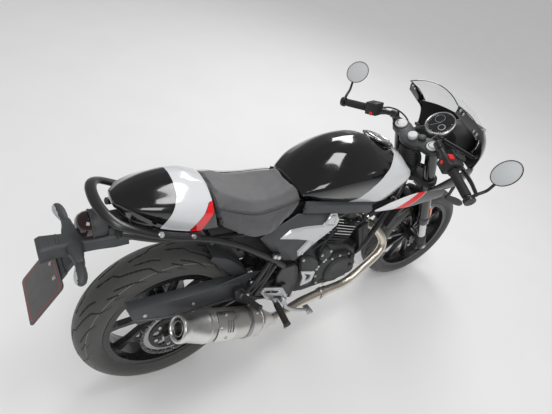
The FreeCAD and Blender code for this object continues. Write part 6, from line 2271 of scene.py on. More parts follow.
@dataclass
class Bars(Assembly):
    """The clip-on bars with their grips, switches, levers and mirrors."""

    end: Point = (1004.0, -386.0, 875.0)
    root: Point = (1073.0, -136.0, 937.0)
    tube_radius: float = 11.1
    grip_radius: float = 16.5
    mirror: Point = (1058.7, -431.0, 1004.3)
    mirror_way: Point = (-0.80, 0.30, 0.60)
    mirror_radius: float = 53.0
    way: Vector = field(init=False)
    ahead: Vector = field(init=False)
    above: Vector = field(init=False)

    def __post_init__(self) -> None:
        """Works out the bar's directions from its clamp and its end."""
        self.way = (vec(self.end) - vec(self.root)).normalized()
        self.ahead = (self.way.cross(Vector(UP)) * -1).normalized()
        self.above = self.way.cross(self.ahead)

    def on_bar(self, back: float, ahead: float = 0.0, up: float = 0.0) -> Vector:
        """Gives a place on the right bar.

        Args:
            back: Inwards from the bar's end.
            ahead: In front of the bar.
            up: Above the bar.

        Returns:
            The place.
        """
        return vec(self.end) - self.way * back + self.ahead * ahead + self.above * up

    def turn(self) -> Matrix:
        """Gives the rotation that lays a block's X ahead of the bar and its Y along it."""
        return Matrix((self.ahead, -self.way, self.above)).transposed()

    def bars(self) -> None:
        """Builds the bars with their clamps, and the ribbed grips."""
        shape = Shape()
        root = vec(self.root)
        shape.add(tube([root - self.way * 10, vec(self.end)], self.tube_radius, 28))
        shape.add(turned([(CORE, -16), (15, -16), (17, -13), (17, 13), (15, 16), (CORE, 16)], root,
                         self.way, 32))
        foot = fork(660, -142, 8)
        shape.add(tube([foot - Stance.STEM_UP * 14, foot + Stance.STEM_UP * 10,
                        root - self.way * 2], (15, 15, 14), 20, 0, 1.2))
        self.bench.piece("clip_on_bars", shape.both_sides(), [Paintbox.SATIN_BLACK], "fork_black",
                         ["handlebars"], bevel=1.2, body=Body.STEERING)
        profile = [(11.3, 0), (19.5, 0), (20.5, 2), (20.5, 6), (18, 8), (self.grip_radius, 9)]
        for rib in range(19):
            at = 11 + rib * 5.6
            profile += [(self.grip_radius, at), (self.grip_radius + 0.9, at + 0.8),
                        (self.grip_radius + 0.9, at + 3.6), (self.grip_radius, at + 4.4)]
        profile += [(self.grip_radius, 119), (self.grip_radius - 1, 122), (11.3, 122)]
        grips = turned(profile, self.on_bar(128), self.way, 36)
        self.bench.piece("ribbed_grips", grips.both_sides(), [Paintbox.RUBBER], "rubber",
                         body=Body.STEERING)
        weight = turned([(CORE, 0), (9, 0), (9, 4), (16, 5), (17, 7), (17, 11), (15.6, 12),
                         (17, 13), (17, 17), (15.6, 18), (17, 19), (16, 23), (11, 24.5), (10, 22),
                         (CORE, 22)], self.on_bar(3), self.way, 40)
        self.bench.piece("bar_weights", weight.both_sides(), [Paintbox.SATIN_BLACK], "fork_black",
                         bevel=0.4, body=Body.STEERING)

    def switches(self) -> None:
        """Builds the rounded switch boxes with their buttons."""
        turn = self.turn()
        right, left, red = Shape(), Shape(), Shape()
        for shape, at, half in ((right, 182, 27), (left, 186, 26)):
            shape.add(turned([(11.2, 0), (half - 5, 0), (half - 1, 3), (half, 8), (half, 40),
                              (half - 2, 46), (half - 8, 50), (11.2, 50)], self.on_bar(at),
                             self.way, 40))
            shape.add(block(self.on_bar(at - 22, -6, 6), (58, 58, 54), turn))
        right.add(block(self.on_bar(146, 8, 18), (44, 30, 34), turn))
        left.add(block(self.on_bar(164, -20, 30), (16, 14, 12), turn))
        left.add(block(self.on_bar(176, -34, 10), (12, 12, 16), turn))
        red.add(block(self.on_bar(166, -16, 37), (19, 24, 9), turn))
        red.add(turned([(CORE, 0), (7.5, 0), (7.5, 6), (6, 7), (CORE, 7)], self.on_bar(168, -33, 6),
                       self.ahead * -1, 20))
        horn = turned([(CORE, 0), (8.5, 0), (8.5, 6), (6, 8), (CORE, 8)],
                      self.on_bar(168, -33, -13), self.ahead * -1, 20)
        red.add(horn.mirrored())
        boxes = right.add(left.mirrored())
        self.bench.piece("switch_boxes", boxes, [Paintbox.MATT_BLACK], "black_plastic",
                         ["bar_controls"], bevel=6.0, body=Body.STEERING)
        self.bench.piece("red_switches", red, [Paintbox.SWITCH_RED], "lamp_red", bevel=1.4,
                         body=Body.STEERING)

    def levers(self) -> None:
        """Builds the levers, their perches and the brake reservoir."""
        turn = self.turn()
        shape = Shape()
        route = smooth_path([self.on_bar(162, 40, 2), self.on_bar(150, 50),
                             self.on_bar(132, 58, -4), self.on_bar(82, 62, -6),
                             self.on_bar(40, 56, -5), self.on_bar(16, 51, -4)], 7)
        count = len(route)
        radii = [6.6 - 2.2 * index / count for index in range(count - 2)] + [6.0, 6.4]
        lever = tube(route, radii, 16, 0, 1.5)
        shape.add(lever).add(lever.mirrored())
        perch = block(self.on_bar(160, 30), (40, 34, 20), turn)
        perch.add(turned(collar(11.3, 18, 0, 18), self.on_bar(168), self.way, 30))
        shape.add(perch.both_sides())
        shape.add(block(self.on_bar(172, 36, 2), (24, 46, 22), turn))
        self.bench.piece("bar_levers", shape, [Paintbox.SATIN_BLACK], "fork_black", bevel=1.6,
                         body=Body.STEERING)
        pot = turned([(CORE, 0), (17, 0), (18, 3), (18, 20), (19.5, 21), (19.5, 27), (17, 29),
                      (CORE, 29)], self.on_bar(166, 33, 10), UP, 36)
        self.bench.piece("brake_reservoir", pot, [Paintbox.MATT_BLACK], "black_plastic", bevel=0.6,
                         body=Body.STEERING)
        adjuster = turned([(CORE, 0), (7, 0), (7, 12), (4, 14), (4, 24), (CORE, 24)],
                          self.on_bar(176, 38, 0), self.way * -1, 12).mirrored()
        self.bench.piece("clutch_adjuster", adjuster, [Paintbox.STEEL], "steel", body=Body.STEERING)

    def mirrors(self) -> None:
        """Builds the round bar-end mirrors with their curved stalks."""
        way = vec(self.mirror_way).normalized()
        centre, radius = vec(self.mirror), self.mirror_radius
        shape = turned([(CORE, -11), (14, -10.5), (32, -8), (46, -3), (radius, 1.5), (radius, 4.2),
                        (radius - 2.6, 4.4), (radius - 2.8, 2.4), (CORE, 2.4)], centre, way, 64, 0)
        # the mirror glass, whose pale grey is partly a painted reflection
        shape.add(turned([(CORE, 2.2), (radius - 2.7, 2.2), (radius - 2.7, 3.0), (CORE, 3.4)],
                         centre, way, 64, 1))
        foot = vec(self.end) + self.way * 12 + Vector((0, 0, 17))
        back = centre - way * 9
        low = (Vector((0, 0, -1)) + way * way.z).normalized()
        stalk = smooth_path([foot, foot + Vector((12, -8, 16)),
                             foot.lerp(back + low * 40, 0.55) + Vector((8, -4, -6)),
                             back + low * 52 - way * 3, back + low * 34, back + low * 18 + way], 8)
        count = len(stalk)
        shape.add(tube(stalk, [6.4 - 2.0 * index / count for index in range(count)], 16, 0))
        shape.add(turned([(17.2, 0), (21.5, 0), (22, 2), (22, 14), (21.5, 16), (17.2, 16)],
                         self.on_bar(-4), self.way, 40, 0))
        shape.add(block(foot - Vector((0, 0, 3)), (15, 16, 13)))
        both = shape.both_sides()
        self.bench.piece("bar_end_mirrors", both, [Paintbox.SATIN_BLACK, Paintbox.MIRROR],
                         "mirror_black", ["mirrors"], bevel=0.7, body=Body.STEERING)

    def build(self) -> None:
        """Builds the bars and all that they carry."""
        self.bars()
        self.switches()
        self.levers()
        self.mirrors()


@dataclass
class Gauge(Assembly):
    """The round instrument with its small inner dial, and the cables beside it."""

    radius: float = 62.0
    way: Point = (-0.62, 0.0, 0.78)

    def build(self) -> None:
        """Builds the instrument, its brackets and the cables."""
        centre, way = fork(669, 0, 128), vec(self.way).normalized()
        first = Vector(LEFT)
        second = way.cross(first)
        body = turned([(CORE, -36), (34, -36), (50, -30), (60, -16), (self.radius, -8),
                       (self.radius, 1), (58, 1)], centre, way, 72, 0)
        body.add(hoop([(57, -3), (self.radius + 1.4, -3), (self.radius + 1.8, 3), (60, 5.5),
                       (57.5, 4), (57, 1)], centre, way, 72, 1))
        body.add(turned([(CORE, 0.2), (57.4, 0.2), (57.2, 1.2), (30, 2.0), (CORE, 2.2)], centre,
                        way, 64, 2))
        for sideways, up, dial, finish in ((20, -18, 21, 1), (-22, 12, 15, 3)):
            middle = centre + first * sideways + second * up
            body.add(hoop(collar(dial - 1.2, dial, 1.6, 3.4), middle, way, 40, finish))
            body.add(turned(rod(dial - 1.4, 1.6, 2.6), middle, way, 32, 2))
        for number in range(25):
            turn = math.radians(-120 + number * 10)
            out = first * math.sin(turn) + second * math.cos(turn)
            reach = 8 if number % 4 == 0 else 4.5
            body.add(tube([centre + out * (55 - reach) + way * 1.9, centre + out * 55 + way * 1.9],
                          0.7, 4, 3))
        body.add(tube([centre - second * 6 + way * 3,
                       centre + (first * 0.6 + second * 0.8) * 42 + way * 3], 1.0, 5, 4))
        for side in (1, -1):
            body.add(tube([fork(664, side * 52, 22), centre - way * 24 + Vector((0, side * 30, 0))],
                          6, 14, 0))
            body.add(block(fork(664, side * 52, 22), (16, 24, 14)))
        self.bench.piece("round_gauge", body,
                         [Paintbox.MATT_BLACK, Paintbox.BRIGHT, Paintbox.GLASS_BLACK,
                          Paintbox.MARKING, Paintbox.STEEL], "black_plastic", ["instrument"],
                         body=Body.STEERING)
        cables = Shape()
        for route, radius in ((((690, 232, -6), (698, 202, 16), (690, 160, 38), (656, 122, 54),
                                (600, 102, 54), (548, 92, 46), (506, 62, 40), (484, 36, 30)), 3.4),
                              (((690, -228, -12), (690, -188, 26), (660, -146, 54), (600, -108, 58),
                                (540, -92, 48), (500, -60, 40), (482, -36, 30)), 3.2),
                              (((684, 206, -30), (682, 168, 6), (650, 124, 44), (600, 94, 44),
                                (550, 82, 42), (500, 50, 34)), 3.0),
                              (((700, -226, 2), (698, -206, 24), (676, -176, 52), (648, -158, 62)),
                               4.2)):
            cables.add(tube(smooth_path([fork(*place) for place in route], 8), radius, 10))
        self.bench.piece("bar_cables", cables, [Paintbox.RUBBER], "rubber", body=Body.STEERING)


# ---- Fairing, screen, headlamp and blades ----


def read_table(rows: Sequence[Sequence[float]], share: float) -> list[float]:
    """Reads a table of sections anywhere along it.

    Args:
        rows: The table.
        share: 0 at its first row and 1 at its last.

    Returns:
        The row at that place.
    """
    at = share * (len(rows) - 1)
    first = min(int(at), len(rows) - 2)
    return [here + (after - here) * (at - first)
            for here, after in zip(rows[first], rows[first + 1])]


def arch(right: Vector, top: Vector, share: float) -> Vector:
    """Gives a place on the arc from the right side through a middle point to the left side.

    Args:
        right: The arc's right end; its left end mirrors it.
        top: The middle point, on the centre plane.
        share: 0 at the right end and 1 at the left end.

    Returns:
        The place.
    """
    half = abs(right.y)
    depth_way = top - Vector((right.x, 0, right.z))
    depth = depth_way.length
    radius = (half * half + depth * depth) / (2 * depth)
    reach = math.asin(min(half / radius, 1.0))
    if depth > radius:
        reach = math.pi - reach
    turn = (2 * share - 1) * reach
    out = depth_way.normalized()
    base = top - out * radius
    return base + out * radius * math.cos(turn) + Vector((0, math.sin(turn) * radius, 0))


@dataclass
class Fairing(Assembly):
    """The small fairing with its arms and wings, the screen, and the lamp."""

    lamp: Point = (1350.0, 0.0, 852.0)
    # z, x at the sides, half width, x at the nose
    bowl: tuple = ((762, 1350, 168, 1462), (806, 1338, 179, 1484), (860, 1346, 182, 1496),
                   (912, 1326, 176, 1482), (958, 1282, 160, 1446), (988, 1244, 145, 1408))
    # x, half width, low edge, high edge
    arms: tuple = ((1104, 121.5, 1058, 1092), (1190, 136, 1006, 1046), (1258, 149, 966, 1006),
                   (1290, 157, 940, 986))
    wings: tuple = ((1120, 148.5, 704, 712), (1210, 160, 704, 754), (1290, 171, 716, 794),
                    (1356, 171, 752, 812))
    blades: tuple = ((846, 122, 644, 649), (890, 126, 639, 665), (940, 131, 637, 682),
                     (1040, 142, 635, 706), (1130, 150, 645, 708), (1190, 158, 656, 704),
                     (1228, 163, 666, 700))
    # x at the edge, half width, z at the edge, x at the top, z at the top
    screen: tuple = ((1090, 123, 1096, 1106, 1128), (1190, 137, 1050, 1226, 1094),
                     (1258, 147, 1006, 1346, 1036), (1286, 148, 984, 1462, 944))
    skin_wall: float = 3.5
    # where the blades' black front begins at their lower edge, that edge's height, and the slope of
    # its boundary; the front's dark grey is black paint with a painted reflection of the floor
    black_and_reflection_from: float = 1026.0
    blade_foot: float = 637.0
    black_and_reflection_slope: float = 1.26
    # the hole in the bowl round the lamp
    lamp_hole: float = 88.0

    def upright(self, table: Sequence[Sequence[float]], wall: float, crown: float) -> Shape:
        """Builds a strip along the right side that stands on edge and swells outwards a little.

        Args:
            table: Rows of x, half width, low edge and high edge.
            wall: Its thickness.
            crown: How far its middle swells.

        Returns:
            The strip.
        """
        rings = []
        for x, half, low, high in interpolate(table, 8):
            ring = []
            for share in (0, 0.12, 0.3, 0.5, 0.7, 0.88, 1):
                swell = crown * math.sin(math.pi * share) * min((high - low) / 40, 1)
                ring.append(Vector((x, -half - swell, low + (high - low) * share)))
            ring += [point + Vector((0, wall, 0)) for point in reversed(ring)]
            rings.append(ring)
        return skin([list(reversed(ring)) for ring in rings])

    def shell(self) -> None:
        """Builds the fairing's shell, glossy outside and dark inside."""
        rows = interpolate(self.bowl, 10)

        def place(across_share: float, along_share: float, height: float) -> Vector:
            """Gives a place on the fairing's bowl.

            Args:
                across_share: Share of the way from its right edge to its left.
                along_share: Share of the way up it.
                height: Off its inner face, outwards.

            Returns:
                The place.
            """
            dip = 0.27 * math.sin(math.pi * across_share) ** 1.6
            z, x_side, half, x_nose = read_table(rows, along_share * (1 - dip))
            point = arch(Vector((x_side, -half, z)), Vector((x_nose, 0, z)), across_share)
            inward = Vector((x_side - 60, 0, z)) - point
            return point + inward.normalized() * (self.skin_wall - height)

        def is_open(across_share: float, along_share: float) -> bool:
            """Says whether the bowl is open there.

            Args:
                across_share: Share of the way across.
                along_share: Share of the way along.

            Returns:
                Whether there is a hole.
            """
            point = place(across_share, along_share, 0)
            return math.hypot(point.y, point.z - self.lamp[2]) < self.lamp_hole

        shell = sheet(place, 110, 56, self.skin_wall, is_open)
        inner = len(shell.points) // 2
        shell.tints = [1 if all(corner < inner for corner in face) else 0 for face in shell.faces]
        strips = self.upright(self.arms, self.skin_wall,
                              2).add(self.upright(self.wings, self.skin_wall, 5))
        shell.add(strips.both_sides(), 0)
        self.bench.piece("fairing_shell", shell, [Paintbox.GLOSS_BLACK, Paintbox.LINER],
                         "gloss_black", ["fairing"])
        screws = []
        for side in (1, -1):
            for x, y, z in ((1116, 126.5, 1074), (1140, 130.5, 1058), (1244, 148.5, 984),
                            (1270, 153.5, 968)):
                screws.append(((x, side * (y + 1.4), z), (0, side, 0.05)))
        self.bench.scatter("screen_screws", bolt_head(5.2, 3.2), screws, Paintbox.STEEL, "steel")
        inner_screws = [((x, side * (y - 6), z), (0, -side, 0)) for side in (1, -1)
                        for x, y, z in ((1116, 126.5, 1074), (1140, 130.5, 1058))]
        self.bench.scatter("screen_nuts", bolt_head(5.0, 4.0), inner_screws, Paintbox.STEEL,
                           "steel")

    def window(self) -> None:
        """Builds the clear screen with its thin dark edge."""
        rows = interpolate(self.screen, 10)

        def place(across_share: float, along_share: float, height: float) -> Vector:
            """Gives a place on the screen.

            Args:
                across_share: Share of the way from its right edge to its left.
                along_share: Share of the way from its upper edge to its lower one.
                height: Off its inner face, outwards.

            Returns:
                The place.
            """
            x_edge, half, z_edge, x_top, z_top = read_table(rows, along_share)
            point = arch(Vector((x_edge, -half, z_edge)), Vector((x_top, 0, z_top)), across_share)
            inward = Vector((x_edge - 40, 0, z_edge - 60)) - point
            return point + inward.normalized() * (3.0 - height)

        pane = sheet(place, 48, 36, 3.0)
        self.bench.piece("screen_pane", pane, [Paintbox.SCREEN], "screen_clear", ["windscreen"])
        edge = tube([place(share / 40, 0.004, 1.5) for share in range(41)], 1.9, 8)
        for side in (0.004, 0.996):
            edge.add(tube([place(side, share / 24, 1.5) for share in range(25)], 1.7, 8))
        edge.add(tube([place(share / 40, 0.996, 1.5) for share in range(41)], 1.7, 8))
        self.bench.piece("screen_edge", edge, [Paintbox.GLASS_BLACK], "screen_clear")

    @staticmethod
    def black_and_reflection(x: np.ndarray, y: np.ndarray, z: np.ndarray) -> np.ndarray:
        """Says how far a place is inside the blade's black front part, painted dark grey: black
        paint with a painted reflection of the floor.
        """
        return x - Fairing.black_and_reflection_from - (z - Fairing.blade_foot) * Fairing.black_and_reflection_slope

    @staticmethod
    def red(x: np.ndarray, y: np.ndarray, z: np.ndarray) -> np.ndarray:
        """Says how far a place is inside the blade's slanted red stripe."""
        rear = 955 + (z - 643) * 1.68
        front = Fairing.black_and_reflection_from - 4 + (z - Fairing.blade_foot) * Fairing.black_and_reflection_slope
        return np.minimum(x - rear, front - x)

    def side_blades(self) -> None:
        """Builds the painted blades under the tank's nose."""
        # the band marks the black front, whose dark grey is a painted reflection of the floor
        shape = self.upright(self.blades, 3.5, 6).both_sides()
        self.bench.painted_piece("painted_blades", shape, Paintbox.BLADE, (self.black_and_reflection, self.red),
                                 "blade_paint", "fairing_blades", 40)

    def headlamp(self) -> None:
        """Builds the lamp: bucket, bright rim, reflector, bulb shield and lens."""
        place, ahead = self.lamp, AHEAD
        bucket = turned([(CORE, 0), (46, 0), (72, 22), (84, 44), (86, 50), (86, 108), (84, 110),
                         (82, 110)], place, ahead, 72, 0)
        bucket.add(hoop([(80, 104), (88, 104), (90, 108), (89, 114), (84, 118), (80, 114)], place,
                        ahead, 80, 1))
        bucket.add(turned([(81, 106), (70, 84), (48, 62), (20, 50), (CORE, 48)], place, ahead, 72,
                          2))
        bucket.add(turned([(CORE, 48), (13, 48), (16, 60), (16, 86), (10, 92), (CORE, 93)], place,
                          ahead, 36, 1))
        self.bench.piece("headlamp_bucket", bucket,
                         [Paintbox.MATT_BLACK, Paintbox.BRIGHT, Paintbox.REFLECTOR], "lens_clear",
                         ["headlamp"])
        dome = [(83 * math.sin(turn), 108 + 34 * math.cos(turn) ** 1.2 if turn < math.pi / 2
                 else 108) for turn in np.linspace(0.001, math.pi / 2 - 0.001, 16)]
        lens = turned(list(reversed(dome)) + [(CORE, 142)], place, ahead, 72)
        self.bench.piece("headlamp_lens", lens, [Paintbox.LENS], "lens_clear")

    def build(self) -> None:
        """Builds the fairing and all that is fixed to it."""
        self.shell()
        self.window()
        self.side_blades()
        self.headlamp()


# ---- Tail ----


@dataclass
class Indicator:
    """One turn signal: a tapered dark body with a clear lens on its face."""

    root: Point
    way: Point
    length: float
    radius: float
    face: Point

    def shape(self) -> Shape:
        """Builds the body, its collar and its lens.

        Returns:
            The shape, with the body in the first finish and the lens in the second.
        """
        share = ((0.1, 0.0), (0.52, 0.0), (0.60, 0.04), (0.86, 0.28), (1.0, 0.55), (0.97, 0.72),
                 (0.80, 0.88), (0.48, 0.97), (0.1, 1.0))
        profile = [(self.radius * radius, self.length * along) for radius, along in share]
        body = turned(profile, self.root, self.way, 36, 0)
        start = vec(self.root) + vec(self.face) * self.radius * 0.22 + vec(self.way).normalized(
                ) * self.length * 0.12
        lens = turned([(radius * 0.90, along * 0.84) for radius, along in profile], start, self.way,
                      36, 1)
        inner = turned([(radius * 0.72, along * 0.74) for radius, along in profile],
                       start + vec(self.way).normalized() * self.length * 0.05, self.way, 24, 2)
        return body.add(lens).add(inner)


@dataclass
class Tail(Assembly):
    """The grab rail, tail lamp, plate hanger, plate and turn signals."""

    lamp: Point = (-178.0, 0.0, 778.0)
    plate_centre: Point = (-356.0, 0.0, 597.0)
    plate_tilt: float = 38.7
    plate_size: tuple = (184.0, 150.0)
    hoop_section: tuple[float, float] = (16.2, 9.4)
    hoop: tuple = ((60, -132, 752), (-20, -128, 776), (-95, -121, 806), (-165, -106, 845),
                   (-194, -48, 862))

    def rail(self) -> None:
        """Builds the flat hoop round the cowl, with its bolts."""
        half_wide, half_tall = self.hoop_section
        route = list(self.hoop) + [(x, -y, z) for x, y, z in reversed(self.hoop)]
        path = smooth_path(route, 10)
        rings = []
        for index, place in enumerate(path):
            before, after = path[max(index - 1, 0)], path[min(index + 1, len(path) - 1)]
            way = (after - before).normalized()
            outward = Vector((way.y, -way.x, 0)).normalized()
            if outward.dot(place - Vector((0, 0, place.z))) < 0:
                outward.negate()
            upward = way.cross(outward)
            if upward.z < 0:
                upward.negate()
            ring = []
            for across_share, up_share in ((1, 0.1), (0.86, 0.62), (0.5, 0.96), (-0.3, 1.0),
                                           (-0.8, 0.72), (-1, 0.1), (-0.9, -0.6), (-0.4, -1.0),
                                           (0.4, -1.0), (0.9, -0.6)):
                ring.append(place + outward * across_share * half_wide
                            + upward * up_share * half_tall)
            rings.append(ring)
        self.bench.piece("grab_hoop", skin(rings), [Paintbox.SATIN_BLACK], "frame_black",
                         ["grab_rail"], smooth=True)
        bolts = []
        for side in (1, -1):
            for x, y, z in ((34, 130, 758), (-60, 127, 792)):
                bolts.append(((x, side * (y + 8), z + 8), (0, side * 0.8, 0.6)))
        self.bench.scatter("grab_hoop_bolts", bolt_head(6.4, 4.6), bolts, Paintbox.BRIGHT, "steel")
        stubs = Shape()
        for side in (1, -1):
            for x, z in ((38, 756), (-70, 794)):
                stubs.add(turned(rod(8, 0, 26), (x, side * 104, z), (0, side, 0), 18))
        self.bench.piece("grab_hoop_stubs", stubs, [Paintbox.MATT_BLACK], "frame_black")

    def tail_lamp(self) -> None:
        """Builds the round tail lamp: dark housing, smoked red lens and its bracket."""
        shape = turned([(CORE, -8), (30, -8), (38, -4), (40, 4), (40.5, 26), (39, 34), (37, 35)],
                       self.lamp, BACK, 56, 0)
        shape.add(turned([(37.5, 33), (38.6, 38), (37, 50), (31, 62), (20, 70), (8, 73.4),
                          (CORE, 74)], self.lamp, BACK, 56, 1))
        shape.add(hoop([(38, 30), (41.4, 31), (41.4, 36), (38, 37)], self.lamp, BACK, 56, 0))
        shape.add(block((-160, 0, 784), (44, 36, 27)))
        self.bench.piece("tail_lamp_unit", shape, [Paintbox.PLASTIC, Paintbox.SMOKED], "lamp_red",
                         ["tail_lamp"], bevel=0.8)

    def hanger(self) -> None:
        """Builds the layered hanger that carries the plate and the turn signals."""
        arm = []
        for x, half, low, high in ((-120, 40, 706, 742), (-158, 36, 702, 744), (-205, 30, 703, 740),
                                   (-262, 28, 704, 742), (-308, 30, 706, 747), (-338, 33, 703, 749),
                                   (-350, 31, 700, 744)):
            arm.append([Vector((x, side * half, z))
                        for side, z in ((-1, low), (-1, high - 8), (-0.78, high), (0.78, high),
                                        (1, high - 8), (1, low))])
        shape = skin(arm)
        shape.add(block((-36, 0, 730), (244, 128, 13), Matrix.Rotation(math.radians(12), 3, "Y")))
        shape.add(block((-156, 0, 734), (30, 52, 66)))
        for x in (-300, -318, -336):
            shape.add(block((x, 0, 747), (7, 44, 4)))
        for side in (1, -1):
            rings = []
            for y, half_x, low, high in ((18, 24, 708, 742), (44, 20, 712, 744), (66, 15, 715, 743),
                                         (90, 13, 717, 741), (98, 11, 719, 739)):
                rings.append([Vector((-262 + dx * half_x, side * y, z))
                              for dx, z in ((-1, low), (-1, high - 5), (-0.6, high), (0.6, high),
                                            (1, high - 5), (1, low))])
            shape.add(skin(rings if side < 0 else [list(reversed(ring)) for ring in rings]))
        turn = Matrix.Rotation(math.radians(self.plate_tilt), 3, "Y")
        centre = vec(self.plate_centre)
        for place, size in (((14, 0, 82), (14, 70, 165)), ((9, 0, 60), (10, 96, 60)),
                            ((6, 0, 0), (5, 156, 124)), ((12, 0, -30), (9, 90, 40))):
            shape.add(block(centre + turn @ Vector(place), size, turn))
        self.bench.piece("plate_hanger_arm", shape, [Paintbox.PLASTIC], "black_plastic",
                         ["plate_hanger"], bevel=2.2)

    def plate(self) -> None:
        """Builds the blank plate, with rounded corners, a thin red border and two bolts."""
        turn = Matrix.Rotation(math.radians(self.plate_tilt), 3, "Y")
        centre = vec(self.plate_centre)
        wide, tall = self.plate_size

        def outline(distance: float, radius: float) -> Corners:
            """Draws the plate's outline, or one inside it.

            Args:
                distance: How far inside the edge it lies.
                radius: How round its corners are.

            Returns:
                The corners.
            """
            half_wide, half_tall = wide / 2 - distance, tall / 2 - distance
            return softened(((-half_wide, -half_tall), (half_wide, -half_tall),
                             (half_wide, half_tall), (-half_wide, half_tall)), radius, 5)

        shape = holed(outline(0, 14), [], -3, 0, 0)
        shape.add(holed(outline(8, 10), [outline(9.8, 9)], -0.2, 0.35, 1))
        stand = Matrix(((0, -1, 0), (1, 0, 0), (0, 0, 1)))
        shape.points = [centre + turn @ (stand @ point) for point in shape.points]
        self.bench.piece("blank_plate", shape, [Paintbox.PLATE, Paintbox.PLATE_RED],
                         "black_plastic", ["number_plate"])
        bolts = [(centre + turn @ Vector((0.2, side * 30, 52)), turn @ Vector(BACK))
                 for side in (1, -1)]
        self.bench.scatter("plate_bolts", bolt_head(5.0, 3.6), bolts, Paintbox.STEEL, "steel")

    def signals(self) -> None:
        """Builds the four turn signals."""
        shape = Shape()
        for side in (1, -1):
            shape.add(Indicator((-262, side * 94, 729), (-0.16, side, 0.06), length=82, radius=16,
                                face=BACK).shape())
            shape.add(Indicator((1270, side * 161, 653), (0.86, side * 0.5, -0.3), length=96,
                                radius=17, face=(0.5, 0, 0)).shape())
            shape.add(tube([(1283, side * 167, 712), (1276, side * 165, 655)], 7, 16))
        self.bench.piece("turn_signals", shape, [Paintbox.PLASTIC, Paintbox.LENS, Paintbox.AMBER],
                         "lens_clear", ["indicators"])

    def build(self) -> None:
        """Builds the tail."""
        self.rail()
        self.tail_lamp()
        self.hanger()
        self.plate()
        self.signals()


# ---- Engine, exhaust and foot controls ----


